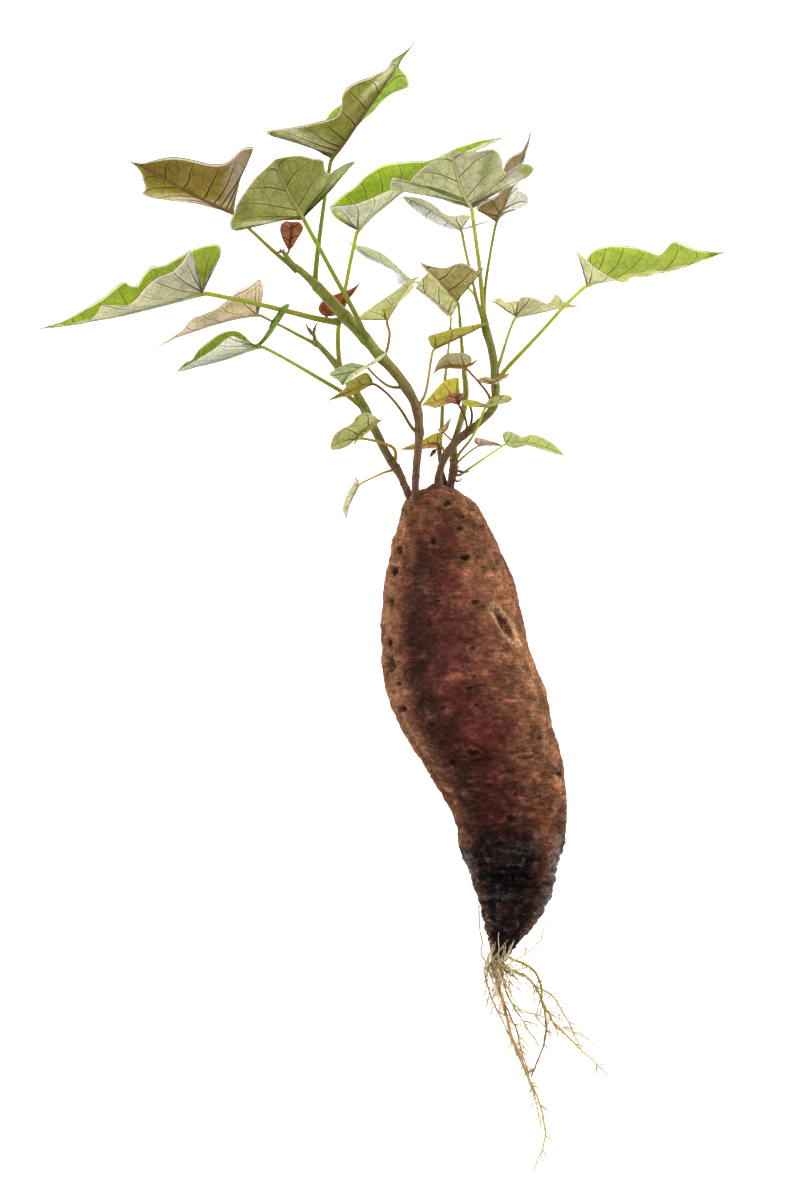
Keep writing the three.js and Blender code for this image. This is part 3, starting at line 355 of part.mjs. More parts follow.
// Closed solid from rings of equal length, with a point at each end.
function loft(rings, startPoint, endPoint) {
  const pos = [], idx = [], n = rings[0].length;
  for (const r of rings) for (const p of r) pos.push(p.x, p.y, p.z);
  for (let i = 0; i + 1 < rings.length; i++) for (let k = 0; k < n; k++) {
    const a = i * n + k, b = i * n + (k + 1) % n, c = a + n, d = b + n;
    idx.push(a, b, d, a, d, c);
  }
  const s = pos.length / 3;
  pos.push(startPoint.x, startPoint.y, startPoint.z, endPoint.x, endPoint.y, endPoint.z);
  const last = (rings.length - 1) * n;
  for (let k = 0; k < n; k++) {
    idx.push(s, (k + 1) % n, k);
    idx.push(s + 1, last + k, last + (k + 1) % n);
  }
  return makeGeometry(pos, idx);
}
function makeGeometry(pos, idx) {
  const g = new THREE.BufferGeometry();
  g.setAttribute("position", new THREE.BufferAttribute(new Float32Array(pos), 3));
  // turn the faces outwards when the enclosed volume comes out negative
  let vol = 0;
  for (let i = 0; i < idx.length; i += 3) {
    const [a, b, c] = [idx[i] * 3, idx[i + 1] * 3, idx[i + 2] * 3];
    vol += pos[a] * (pos[b + 1] * pos[c + 2] - pos[b + 2] * pos[c + 1])
      - pos[a + 1] * (pos[b] * pos[c + 2] - pos[b + 2] * pos[c])
      + pos[a + 2] * (pos[b] * pos[c + 1] - pos[b + 1] * pos[c]);
  }
  if (vol < 0) for (let i = 0; i < idx.length; i += 3) { const t = idx[i + 1]; idx[i + 1] = idx[i + 2]; idx[i + 2] = t; }
  g.setIndex(idx);
  return g;
}

// Tube of changing radius along a centre line, with blunt ends.
function tube(pts, radiusAt, sides, rings, grow = 0, zMin = -1e9) {
  const c = curve(pts), R = [];
  let nrm = new THREE.Vector3(0, 0, 1);
  for (let i = 0; i < rings; i++) {
    const t = i / (rings - 1), p = c.getPointAt(t), tan = c.getTangentAt(t);
    nrm = nrm.clone().addScaledVector(tan, -nrm.dot(tan));
    if (nrm.length() < 1e-3) nrm = new THREE.Vector3(1, 0, 0).addScaledVector(tan, -tan.x);
    nrm.normalize();
    const bin = new THREE.Vector3().crossVectors(tan, nrm);
    const r = radiusAt(t) + grow, ring = [];
    for (let k = 0; k < sides; k++) {
      const a = 2 * Math.PI * (k + 0.5) / sides;
      const q = p.clone().addScaledVector(nrm, r * Math.cos(a)).addScaledVector(bin, r * Math.sin(a));
      q.z = Math.max(q.z, zMin);
      ring.push(q);
    }
    R.push(ring);
  }
  const t0 = c.getTangentAt(0), t1 = c.getTangentAt(1);
  const a = c.getPointAt(0).addScaledVector(t0, -0.4 * (radiusAt(0) + grow));
  const b = c.getPointAt(1).addScaledVector(t1, 0.6 * (radiusAt(1) + grow));
  return loft(R, a, b);
}

// Cross-section of the swollen root: an ellipse cut level underneath.
function tuberGeometry(grow = 0) {
  const R = [];
  for (const [cx, y, cz, hw, hz] of TUBER) {
    const ring = [];
    for (let k = 0; k < TUBER_SIDES; k++) {
      const a = 2 * Math.PI * k / TUBER_SIDES;
      const x = cx + (hw + grow) * Math.sin(a);
      const z = cz - (hz + grow) * Math.cos(a);
      ring.push(new THREE.Vector3(x, y, Math.max(z, BELLY_Z - grow)));
    }
    R.push(ring);
  }
  const f = TUBER[0], l = TUBER[TUBER.length - 1];
  return loft(R, new THREE.Vector3(f[0], f[1] + 1.5 + grow, f[2]), new THREE.Vector3(l[0], l[1] - 1.0 - grow, l[2]));
}

// Leaf blade: each half is a sheet from the midrib to its margin, given thickness.
function bladeGeometry(leaf, rows, cells) {
  const cm = curve(leaf.mid), ca = curve(leaf.a), cb = curve(leaf.b);
  const w = 2 * cells + 1, P = [];
  for (let i = 0; i <= rows; i++) {
    const u = i / rows, row = [];
    for (let j = -cells; j <= cells; j++) {
      const side = j < 0 ? 0 : 1, v = Math.abs(j) / cells;
      const f = lerpEven(side ? leaf.fb : leaf.fa, u);
      const fm = lerpEven(leaf.fa, u) * 0.5 + lerpEven(leaf.fb, u) * 0.5;
      const m = cm.getPointAt(THREE.MathUtils.clamp(f * v + fm * (1 - v), 0, 1));
      const e = (side ? cb : ca).getPointAt(u);
      const p = m.clone().lerp(e, v);
      p.z += leaf.bulge[side] * Math.sin(Math.PI * v) * Math.sin(Math.PI * Math.min(1, u * 1.1));
      row.push(p);
    }
    P.push(row);
  }
  // base and tip rows shrink to single points
  const base = P[0][cells].clone(), tip = P[rows][cells].clone();
  const inner = P.slice(1, rows);
  const nr = inner.length;
  const N = inner.map((row, i) => row.map((p, j) => {
    const up = i > 0 ? inner[i - 1][j] : base, dn = i < nr - 1 ? inner[i + 1][j] : tip;
    const lf = j > 0 ? row[j - 1] : p, rt = j < w - 1 ? row[j + 1] : p;
    const n = new THREE.Vector3().crossVectors(dn.clone().sub(up), rt.clone().sub(lf));
    return n.length() > 1e-6 ? n.normalize() : new THREE.Vector3(0, 0, 1);
  }));
  const h = BLADE_THICKNESS / 2, pos = [], idx = [];
  const put = (p, n, s) => { pos.push(p.x + n.x * h * s, p.y + n.y * h * s, Math.max(p.z + n.z * h * s, MIN_Z + (s > 0 ? 0.15 : 0))); return pos.length / 3 - 1; };
  const top = inner.map((row, i) => row.map((p, j) => put(p, N[i][j], 1)));
  const bot = inner.map((row, i) => row.map((p, j) => put(p, N[i][j], -1)));
  const bt = put(base, N[0][cells], 1), bb = put(base, N[0][cells], -1);
  const tt = put(tip, N[nr - 1][cells], 1), tb = put(tip, N[nr - 1][cells], -1);
  const quad = (a, b, c, d) => idx.push(a, b, c, a, c, d);
  for (let i = 0; i + 1 < nr; i++) for (let j = 0; j + 1 < w; j++) {
    quad(top[i][j], top[i + 1][j], top[i + 1][j + 1], top[i][j + 1]);
    quad(bot[i][j], bot[i][j + 1], bot[i + 1][j + 1], bot[i + 1][j]);
  }
  for (let j = 0; j + 1 < w; j++) {
    idx.push(bt, top[0][j], top[0][j + 1]); idx.push(bb, bot[0][j + 1], bot[0][j]);
    idx.push(tt, top[nr - 1][j + 1], top[nr - 1][j]); idx.push(tb, bot[nr - 1][j], bot[nr - 1][j + 1]);
  }
  for (let i = 0; i + 1 < nr; i++) {
    quad(top[i][0], bot[i][0], bot[i + 1][0], top[i + 1][0]);
    quad(top[i][w - 1], top[i + 1][w - 1], bot[i + 1][w - 1], bot[i][w - 1]);
  }
  quad(bt, bb, bot[0][0], top[0][0]);
  quad(bt, top[0][w - 1], bot[0][w - 1], bb);
  quad(tt, top[nr - 1][0], bot[nr - 1][0], tb);
  quad(tt, tb, bot[nr - 1][w - 1], top[nr - 1][w - 1]);
  return makeGeometry(pos, idx);
}

function solid(g) {
  return new wasm.Manifold(new wasm.Mesh({
    numProp: 3,
    vertProperties: new Float32Array(g.getAttribute("position").array),
    triVerts: new Uint32Array(g.getIndex().array),
  }));
}
function biggest(m) {
  const parts = m.decompose();
  parts.sort((a, b) => b.volume() - a.volume());
  return parts[0];
}
function geometryOf(m) {
  const s = m.simplify ? m.simplify(0.04) : m, mesh = s.getMesh(), g = new THREE.BufferGeometry(), n = mesh.numProp, v = [];
  for (let i = 0; i < mesh.vertProperties.length; i += n) v.push(mesh.vertProperties[i], mesh.vertProperties[i + 1], mesh.vertProperties[i + 2]);
  g.setAttribute("position", new THREE.BufferAttribute(new Float32Array(v), 3));
  g.setIndex(Array.from(mesh.triVerts));
  g.computeVertexNormals();
  return g;
}
const group = new THREE.Group();
function add(name, m, colour, roughness) {
  const mesh = new THREE.Mesh(geometryOf(m), new THREE.MeshStandardMaterial({ color: colour, roughness, metalness: 0 }));
  mesh.name = name;
  group.add(mesh);
}

const tuberSolid = solid(tuberGeometry());
const tuberGrown = solid(tuberGeometry(CLEARANCE));
add("tuber", tuberSolid, 0x7a5234, 0.7);

const stemGrown = {};
const stemCurve = {};
const stemSolids = {};
for (const [name, s] of Object.entries(STEMS)) {
  const rad = (t) => lerpTable(s.r, t), rings = Math.max(12, Math.round(s.pts.length * 1.1));
  let m = solid(tube(s.pts, rad, STEM_SIDES, rings)).subtract(tuberGrown);
  for (const other of Object.keys(stemSolids)) m = m.subtract(stemGrown[other]);
  m = biggest(m);
  stemGrown[name] = solid(tube(s.pts, rad, STEM_SIDES, rings, CLEARANCE));
  stemSolids[name] = m;
  add(name, m, name.includes("back") ? 0x6f8a35 : 0x5a5a2c, 0.5);
}

const leafGrown = {};
for (const [name, l] of Object.entries(LEAVES)) {
  const span = curve(l.mid).getLength(), long = curve(l.stalk).getLength();
  const rows = span > 45 ? 11 : span > 25 ? 8 : 6, cells = 2;
  const rings = Math.max(3, Math.min(8, Math.round(long / 11) + 2));
  const r = (t) => l.stalkR[0] + (l.stalkR[1] - l.stalkR[0]) * Math.min(1, t * 1.5);
  let m = solid(bladeGeometry(l, rows, cells)).add(solid(tube([...l.stalk, l.mid[0], l.mid[1].map((v, k) => l.mid[0][k] * 0.7 + v * 0.3)], r, STALK_SIDES, rings)));
  for (const other of Object.keys(stemGrown)) m = m.subtract(stemGrown[other]);
  add(name, biggest(m), l.colour, 0.55);
}

for (const [name, b] of Object.entries(BUDS)) {
  let m = null;
  for (const s of b.strands) {
    const t = solid(tube(s, (q) => b.r[0] + (b.r[1] - b.r[0]) * q, STALK_SIDES, 5));
    m = m ? m.add(t) : t;
  }
  for (const other of Object.keys(stemGrown)) m = m.subtract(stemGrown[other]);
  add(name, biggest(m), 0x6a4a34, 0.5);
}

for (const [name, strands] of Object.entries(FIBRES)) {
  let m = null;
  for (const s of strands) {
    const t = solid(tube(s.pts, (q) => s.r[0] + (s.r[1] - s.r[0]) * q, ROOT_SIDES, Math.max(7, s.pts.length), 0, 0.1));
    m = m ? m.add(t) : t;
  }
  add(name, biggest(m.subtract(tuberGrown)), 0xb5894f, 0.7);
}

export default group;
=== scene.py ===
import bpy, math
import numpy as np
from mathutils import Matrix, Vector


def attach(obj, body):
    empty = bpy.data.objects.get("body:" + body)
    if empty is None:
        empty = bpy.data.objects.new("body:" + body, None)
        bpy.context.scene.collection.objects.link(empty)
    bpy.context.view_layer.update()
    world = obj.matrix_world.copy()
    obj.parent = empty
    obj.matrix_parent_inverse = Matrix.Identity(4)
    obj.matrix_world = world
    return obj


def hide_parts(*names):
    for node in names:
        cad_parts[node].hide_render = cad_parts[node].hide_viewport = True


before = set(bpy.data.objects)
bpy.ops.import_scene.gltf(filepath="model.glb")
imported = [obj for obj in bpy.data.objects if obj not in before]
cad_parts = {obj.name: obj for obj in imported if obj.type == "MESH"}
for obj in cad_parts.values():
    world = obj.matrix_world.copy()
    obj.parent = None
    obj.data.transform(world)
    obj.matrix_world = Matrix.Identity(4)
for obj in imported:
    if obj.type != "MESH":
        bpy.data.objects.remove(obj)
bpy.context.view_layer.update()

# A sprouted sweet potato lying on its side, seen from straight above. Tables are in millimetres, in the row's frame.
TUBER = [
  [23.02,52.6,33.0,3.79,3.52],
  [23.44,51.55,32.59,7.16,6.64],
  [23.24,49.46,31.77,11.17,10.35],
  [24.51,46.11,30.49,14.55,13.48],
  [24.84,42.76,29.25,16.77,15.53],
  [25.16,39.4,28.03,18.36,16.99],
  [25.92,32.67,25.73,21.02,19.43],
  [26.78,25.93,23.66,23.37,21.58],
  [27.64,19.18,22.06,25.5,23.53],
  [28.26,12.4,23.72,27.38,25.29],
  [28.46,5.63,24.82,28.64,26.46],
  [29.0,-1.13,25.81,29.77,27.52],
  [29.8,-7.88,26.58,30.64,28.34],
  [30.76,-14.64,27.2,31.35,29.0],
  [32.23,-21.38,28.12,32.4,29.98],
  [33.91,-28.13,28.85,33.23,30.76],
  [35.7,-34.88,28.95,33.34,30.86],
  [37.82,-41.63,28.76,33.13,30.66],
  [40.25,-48.4,28.12,32.4,29.98],
  [43.01,-55.18,27.2,31.35,29.0],
  [45.88,-61.97,26.01,30.0,27.73],
  [48.5,-68.76,24.78,28.6,26.42],
  [50.85,-75.58,23.31,26.92,24.86],
  [53.04,-82.4,21.7,25.08,23.14],
  [54.21,-89.18,21.58,23.7,21.87],
  [54.59,-95.96,21.45,22.6,20.86],
  [54.43,-102.74,21.33,21.17,19.53],
  [55.17,-109.52,21.21,18.94,17.48],
  [55.91,-116.3,21.09,16.72,15.43],
  [56.02,-123.08,20.97,14.71,13.57],
  [54.44,-129.86,20.85,11.86,10.94],
  [52.85,-136.64,20.73,8.79,8.1],
  [51.48,-141.73,20.64,6.35,5.86],
  [50.52,-145.54,20.57,4.34,4.0],
  [50.1,-148.08,20.52,2.43,2.25],
  [50.0,-149.36,20.5,1.06,0.98]
]
STEMS = {
  "shoot_front_left": {"pts": [[14.59,45.65,33.0],[14.36,48.08,38.0],[13.93,51.79,42.0],[14.01,56.78,44.0],[14.55,63.44,46.0],[15.21,70.53,47.0],[15.38,76.78,48.0],[14.74,83.01,49.5],[12.86,88.81,51.0],[9.09,95.01,53.0],[4.91,100.38,54.5],[0.33,105.32,56.0],[-4.25,110.26,57.5],[-8.83,115.61,59.0],[-14.24,121.39,60.0],[-19.22,126.75,61.0],[-24.21,132.11,62.0],[-28.78,137.07,62.5],[-33.34,141.2,63.0],[-37.09,144.12,63.0],[-39.99,147.83,63.5],[-41.23,149.67,64.0]], "r": [[0,2.3],[0.03,2.0],[0.08,1.5],[0.25,1.75],[0.38,2.0],[0.5,2.25],[0.62,2.3],[0.72,2.5],[0.8,2.3],[0.88,1.7],[0.94,1.2],[1,0.75]]},
  "shoot_left": {"pts": [[13.34,43.61,29.0],[12.28,46.09,32.0],[10.8,49.44,33.0],[9.12,53.65,33.0],[7.01,58.3,32.5],[4.06,62.96,31.5],[1.11,68.04,30.5],[-1.64,73.55,29.5],[-4.59,79.49,28.5],[-7.55,85.41,28.0],[-10.3,90.5,27.5],[-13.26,95.16,27.0],[-16.22,99.83,26.5],[-19.18,104.07,26.0],[-22.57,107.9,25.5],[-25.95,111.28,25.5],[-28.27,114.21,26.0],[-28.89,117.15,26.5],[-28.76,119.66,27.0]], "r": [[0,2.0],[0.05,1.7],[0.12,1.5],[0.25,1.7],[0.5,1.9],[0.65,1.75],[0.78,1.6],[0.88,1.2],[0.95,0.85],[1,0.55]]},
  "shoot_right": {"pts": [[23.25,50.34,30.0],[23.35,53.23,33.0],[23.55,56.57,34.5],[24.68,60.74,36.0],[26.27,64.92,37.0],[28.45,68.47,38.0],[31.59,71.82,38.5],[35.15,74.73,39.5],[38.92,77.64,40.5],[42.68,80.97,41.5],[45.61,84.29,42.5],[47.27,88.24,43.5],[47.58,92.82,44.5],[47.24,98.25,45.0],[46.73,104.09,45.5],[45.55,109.94,46.0],[44.11,115.36,46.5],[43.02,119.94,47.0],[42.59,123.69,47.5]], "r": [[0,2.1],[0.04,1.8],[0.1,1.4],[0.25,1.5],[0.45,1.6],[0.6,1.7],[0.8,1.75],[0.93,1.65],[1,1.2]]},
  "shoot_back_right": {"pts": [[28.17,51.34,22.0],[28.78,53.82,25.0],[29.61,57.16,26.5],[30.15,61.38,27.0],[30.15,65.6,27.0],[30.03,69.41,26.5],[30.88,73.65,26.0],[32.57,78.72,26.0],[34.05,84.2,26.5],[34.96,89.23,27.5],[35.2,94.24,29.0],[34.62,100.05,31.5],[33.95,105.82,34.5],[33.41,111.98,38.0],[32.87,118.14,41.0],[32.33,124.28,44.0],[31.8,128.97,46.5]], "r": [[0,1.9],[0.05,1.6],[0.12,1.5],[0.22,1.6],[0.3,1.25],[0.4,1.4],[0.55,1.25],[0.68,1.0],[0.8,0.72],[1,0.52]]},
  "shoot_back_centre": {"pts": [[26.28,51.36,21.0],[26.13,54.7,23.0],[25.45,58.08,23.5],[24.57,62.32,23.0],[24.15,66.56,22.5],[24.37,71.67,21.5],[25.05,77.62,20.5],[25.35,84.42,20.0],[25.65,90.35,20.0],[26.33,97.12,20.0],[27.17,104.73,20.5],[28.01,112.3,21.5],[28.67,119.0,23.0],[29.0,124.43,24.5]], "r": [[0,1.5],[0.06,1.2],[0.14,0.8],[0.25,0.95],[0.4,0.85],[0.6,0.72],[0.8,0.5],[1,0.42]]},
}
LEAVES = {
  "leaf_top": {"stem": "shoot_front_left", "slot": "leaf_olive", "fold": True, "wave": 1.0, "bulge": [0.8,0.8], "stalkR": [1.15,0.8], "stalk": [[-27.54,133.77,62.0],[-27.83,137.96,61.5],[-27.35,145.51,60.5],[-26.12,156.44,59.0],[-24.68,167.37,57.5],[-23.24,177.87,56.5],[-21.98,184.96,56.5],[-21.35,188.88,57.0]],
    "mid": [[-21.35,189.09,57.0],[-15.51,196.58,57.15],[-9.26,205.53,57.33],[-3.0,214.06,57.5],[1.16,219.89,57.62],[5.33,226.34,57.75],[9.5,232.37,57.86],[14.5,239.03,58.0]],
    "a": [[-21.35,189.09,57.0],[-26.72,191.48,61.0],[-34.14,195.32,65.0],[-41.16,197.64,67.0],[-48.22,198.77,67.0],[-40.69,200.09,70.0],[-31.95,201.58,72.0],[-23.67,203.69,71.57],[-18.29,206.01,71.15],[-16.63,210.39,70.74],[-16.43,214.17,70.22],[-14.98,217.13,69.62],[-9.19,220.57,68.31],[-3.38,222.77,66.99],[2.01,226.02,65.52],[3.67,229.22,64.59],[7.41,231.3,63.35],[11.58,234.73,61.45],[14.5,239.03,58.0]],
    "b": [[-21.35,189.09,57.0],[-25.19,195.83,51.0],[-24.23,204.37,44.0],[-21.56,210.25,39.0],[-16.96,213.37,37.0],[-10.65,211.18,38.0],[-4.54,209.96,40.0],[1.13,215.03,42.0],[6.17,218.3,43.0],[11.03,220.3,44.0],[10.57,223.77,45.0],[8.26,226.73,47.0],[7.21,228.02,51.0],[9.51,231.61,55.0],[11.8,234.96,57.0],[14.5,239.03,58.0]],
    "fa": [0.0,0.002,0.004,0.006,0.007,0.009,0.011,0.013,0.036,0.154,0.245,0.366,0.494,0.668,0.834,0.953,1.0], "fb": [0.0,0.002,0.004,0.006,0.042,0.094,0.165,0.216,0.274,0.371,0.468,0.543,0.634,0.735,0.86,0.962,1.0]},
  "leaf_centre": {"stem": "shoot_front_left", "slot": "leaf_green", "fold": False, "wave": 1.0, "bulge": [2.5,2.0], "stalkR": [1.15,0.9], "stalk": [[-6.74,113.89,60.0],[-8.38,117.87,64.0],[-13.34,127.63,68.0],[-19.12,137.84,71.0],[-24.88,148.43,74.0],[-29.39,156.54,76.5],[-32.26,161.82,78.0]],
    "mid": [[-32.26,161.82,78.0],[-34.88,166.3,81.88],[-37.71,170.39,85.2],[-40.32,175.92,88.41],[-42.33,180.71,90.39],[-43.74,185.93,92.0]],
    "a": [[-32.26,161.82,78.0],[-40.06,161.41,81.0],[-49.5,160.65,83.0],[-55.68,159.0,83.0],[-59.54,157.48,78.0],[-62.52,158.3,75.0],[-62.84,160.99,78.0],[-61.25,163.95,83.0],[-59.72,167.87,86.0],[-56.76,172.18,89.0],[-52.18,178.2,91.0],[-47.64,182.23,92.0],[-43.74,185.93,92.0]],
    "b": [[-32.26,161.82,78.0],[-31.01,164.64,79.0],[-26.46,168.77,79.0],[-21.12,174.08,77.0],[-15.98,180.51,74.0],[-11.25,186.82,70.0],[-15.41,185.94,68.0],[-19.14,183.58,69.0],[-21.77,181.34,74.0],[-23.79,183.31,78.0],[-24.17,186.17,81.0],[-28.84,186.81,86.0],[-33.71,187.6,90.0],[-38.6,186.95,92.0],[-43.74,185.93,92.0]],
    "fa": [0.0,0.017,0.033,0.069,0.076,0.078,0.08,0.082,0.084,0.086,0.133,0.303,0.452,0.635,0.814,0.947,1.0], "fb": [0.0,0.02,0.021,0.023,0.025,0.027,0.029,0.031,0.033,0.035,0.036,0.169,0.363,0.65,0.852,0.961,1.0]},
  "leaf_upper_left": {"stem": "shoot_front_left", "slot": "leaf_bronze", "fold": False, "wave": 1.0, "bulge": [2.0,1.2], "stalkR": [1.0,0.75], "stalk": [[-35.44,141.68,62.0],[-37.93,143.73,62.5],[-45.84,150.42,62.0],[-52.5,156.66,62.0],[-57.08,160.82,62.0],[-60.41,164.15,62.0],[-61.86,165.81,62.0]],
    "mid": [[-61.86,165.81,62.0],[-68.68,168.62,63.53],[-75.7,172.05,64.92],[-83.97,175.92,66.01],[-92.26,180.67,66.42],[-99.32,184.21,66.29],[-105.57,187.26,66.0]],
    "a": [[-61.86,165.81,62.0],[-60.74,171.01,65.0],[-58.96,178.19,69.0],[-56.57,185.76,73.0],[-53.03,191.94,77.0],[-57.5,191.44,77.0],[-61.25,188.22,76.0],[-64.59,185.81,75.0],[-70.41,185.27,74.0],[-75.41,186.36,73.29],[-81.65,187.88,72.33],[-87.91,188.38,71.29],[-94.18,187.23,70.07],[-99.21,185.96,68.85],[-102.57,186.16,67.83],[-105.57,187.26,66.0]],
    "b": [[-61.86,165.81,62.0],[-68.86,167.75,58.0],[-79.35,169.98,56.0],[-90.65,171.51,55.0],[-96.91,172.35,55.0],[-100.42,174.15,56.0],[-98.9,175.39,59.0],[-99.56,179.2,61.0],[-100.77,182.66,62.0],[-102.8,185.29,63.0],[-105.57,187.26,66.0]],
    "fa": [0.0,0.002,0.004,0.006,0.007,0.009,0.011,0.013,0.037,0.143,0.261,0.397,0.524,0.683,0.841,0.955,1.0], "fb": [0.0,0.026,0.059,0.107,0.162,0.227,0.291,0.353,0.412,0.475,0.56,0.641,0.671,0.78,0.888,0.968,1.0]},
  "leaf_red_upper": {"stem": "shoot_front_left", "slot": "leaf_red", "fold": False, "wave": 1.0, "bulge": [0.8,0.8], "stalkR": [0.6,0.45], "stalk": [[-40.0,147.44,63.0],[-39.62,148.81,61.0],[-38.81,150.12,60.0]],
    "mid": [[-38.81,150.12,60.0],[-38.4,153.48,59.58],[-37.97,157.18,60.43],[-37.69,161.93,64.0]],
    "a": [[-38.81,150.12,60.0],[-40.06,152.21,60.0],[-41.68,155.41,62.0],[-42.58,158.67,63.0],[-41.83,161.24,65.0],[-39.96,162.28,65.0],[-37.69,161.93,64.0]],
    "b": [[-38.81,150.12,60.0],[-36.93,152.21,60.0],[-35.23,154.99,62.0],[-33.55,157.42,63.0],[-32.79,159.85,64.0],[-34.56,161.87,65.0],[-37.69,161.93,64.0]],
    "fa": [0.0,0.035,0.073,0.106,0.145,0.189,0.26,0.36,0.46,0.549,0.638,0.728,0.814,0.874,0.934,0.981,1.0], "fb": [0.0,0.039,0.083,0.13,0.184,0.245,0.319,0.399,0.473,0.544,0.617,0.708,0.804,0.869,0.932,0.98,1.0]},
  "leaf_left_large": {"stem": "shoot_front_left", "slot": "leaf_bright_green", "fold": True, "wave": 1.0, "bulge": [2.0,-2.0], "stalkR": [1.35,0.95], "stalk": [[-17.59,120.63,58.5],[-21.34,120.92,58.5],[-26.75,121.88,58.5],[-38.42,124.8,58.5],[-55.1,128.87,58.0],[-66.79,131.31,57.5],[-74.31,133.01,57.0]],
    "mid": [[-74.52,133.22,57.0],[-82.33,131.07,54.34],[-90.79,128.91,51.68],[-99.25,126.73,49.42],[-109.81,124.11,47.36],[-120.34,122.08,46.21],[-130.83,120.0,45.84],[-143.81,118.44,46.0]],
    "a": [[-74.52,133.22,57.0],[-76.81,138.29,63.0],[-78.37,144.65,68.0],[-79.59,150.0,72.0],[-83.0,144.64,75.0],[-87.72,140.45,76.0],[-92.68,138.38,76.0],[-97.28,134.71,75.0],[-101.51,129.85,73.0],[-105.33,127.06,70.96],[-110.84,126.36,68.56],[-116.79,127.32,65.95],[-118.95,124.09,64.28],[-123.67,120.89,61.68],[-132.26,119.24,57.09],[-143.81,118.44,46.0]],
    "b": [[-74.52,133.22,57.0],[-74.03,137.19,53.0],[-71.27,143.75,48.0],[-68.47,148.6,44.0],[-67.6,152.56,41.0],[-69.46,154.5,39.0],[-74.58,154.08,37.0],[-80.92,152.25,36.0],[-85.95,149.27,36.48],[-91.4,146.3,37.0],[-97.68,144.37,37.58],[-100.4,141.41,37.95],[-103.11,137.39,38.4],[-106.04,137.16,38.69],[-108.54,138.82,38.99],[-112.3,136.49,39.45],[-117.3,132.04,40.2],[-124.8,127.36,41.29],[-134.35,121.61,42.99],[-143.81,118.44,46.0]],
    "fa": [0.0,0.002,0.004,0.006,0.007,0.009,0.011,0.036,0.133,0.246,0.36,0.469,0.571,0.724,0.866,0.963,1.0], "fb": [0.0,0.002,0.004,0.006,0.007,0.009,0.011,0.051,0.152,0.256,0.347,0.439,0.552,0.702,0.852,0.959,1.0]},
  "leaf_left_purple": {"stem": "shoot_left", "slot": "leaf_bronze", "fold": True, "wave": 1.0, "bulge": [1.2,-1.0], "stalkR": [0.85,0.6], "stalk": [[-27.64,112.54,25.5],[-29.73,113.74,27.0],[-34.76,116.18,29.0],[-41.05,119.46,31.0],[-47.33,122.53,33.0],[-52.15,125.09,34.0]],
    "mid": [[-52.36,125.21,34.0],[-60.01,124.15,31.64],[-70.64,121.47,28.81],[-80.4,118.17,27.1],[-86.76,115.88,26.48],[-95.65,111.47,26.0]],
    "a": [[-52.36,125.21,34.0],[-52.26,130.05,38.0],[-51.74,134.88,42.0],[-51.25,138.9,45.0],[-54.55,136.49,47.0],[-57.9,134.18,47.0],[-62.09,131.67,47.0],[-66.34,128.43,44.87],[-71.02,125.82,42.7],[-75.28,124.44,40.97],[-78.9,123.46,39.56],[-81.68,121.22,38.1],[-85.14,117.13,35.66],[-90.76,113.81,31.98],[-95.65,111.47,26.0]],
    "b": [[-52.36,125.21,34.0],[-50.75,130.0,31.0],[-50.3,138.03,27.0],[-51.95,140.13,25.0],[-56.44,137.83,23.0],[-60.7,135.98,22.0],[-65.38,132.22,21.0],[-70.43,128.36,22.0],[-75.07,126.01,22.43],[-80.13,122.6,22.97],[-85.6,118.12,23.7],[-91.06,114.28,24.58],[-95.65,111.47,26.0]],
    "fa": [0.0,0.002,0.004,0.006,0.007,0.009,0.011,0.013,0.072,0.185,0.305,0.421,0.539,0.698,0.853,0.96,1.0], "fb": [0.0,0.002,0.004,0.006,0.007,0.009,0.012,0.085,0.181,0.282,0.379,0.48,0.585,0.726,0.862,0.961,1.0]},
  "leaf_left_lower": {"stem": "shoot_left", "slot": "leaf_bright_green", "fold": True, "wave": 1.0, "bulge": [1.5,-1.5], "stalkR": [1.05,0.75], "stalk": [[-7.34,84.99,28.0],[-10.29,87.49,29.0],[-15.75,91.62,31.5],[-26.23,97.76,36.0],[-38.73,104.87,42.0],[-47.03,109.29,46.5],[-50.73,110.93,49.0]],
    "mid": [[-51.56,111.12,49.5],[-56.64,109.47,47.22],[-63.42,106.86,44.44],[-71.04,104.53,42.18],[-78.22,102.74,40.88],[-82.44,101.46,40.37],[-86.44,100.67,40.0]],
    "a": [[-51.56,111.12,49.5],[-54.83,109.65,52.5],[-57.64,110.72,56.5],[-58.81,113.08,59.5],[-61.85,114.61,62.5],[-64.94,113.52,63.5],[-68.26,110.82,63.5],[-71.74,108.53,58.93],[-76.06,106.22,54.5],[-79.09,104.46,51.7],[-82.58,102.53,47.85],[-86.44,100.67,40.0]],
    "b": [[-51.56,111.12,49.5],[-48.51,112.9,54.5],[-44.25,118.55,58.5],[-40.86,123.81,61.5],[-38.33,127.99,63.5],[-40.63,127.71,62.5],[-44.25,123.13,58.5],[-47.73,117.59,52.5],[-50.8,113.69,46.5],[-53.41,112.19,42.5],[-55.82,113.64,38.5],[-58.22,116.09,35.5],[-60.77,117.9,34.5],[-64.14,118.32,34.5],[-68.3,117.0,35.83],[-73.3,113.27,37.33],[-77.49,109.67,37.84],[-79.99,105.87,38.33],[-82.29,105.01,38.64],[-84.59,102.89,39.13],[-86.44,100.67,40.0]],
    "fa": [0.0,0.003,0.005,0.006,0.008,0.01,0.012,0.014,0.082,0.214,0.342,0.474,0.589,0.739,0.875,0.966,1.0], "fb": [0.0,0.002,0.004,0.006,0.007,0.009,0.011,0.013,0.015,0.039,0.067,0.106,0.261,0.514,0.761,0.931,1.0]},
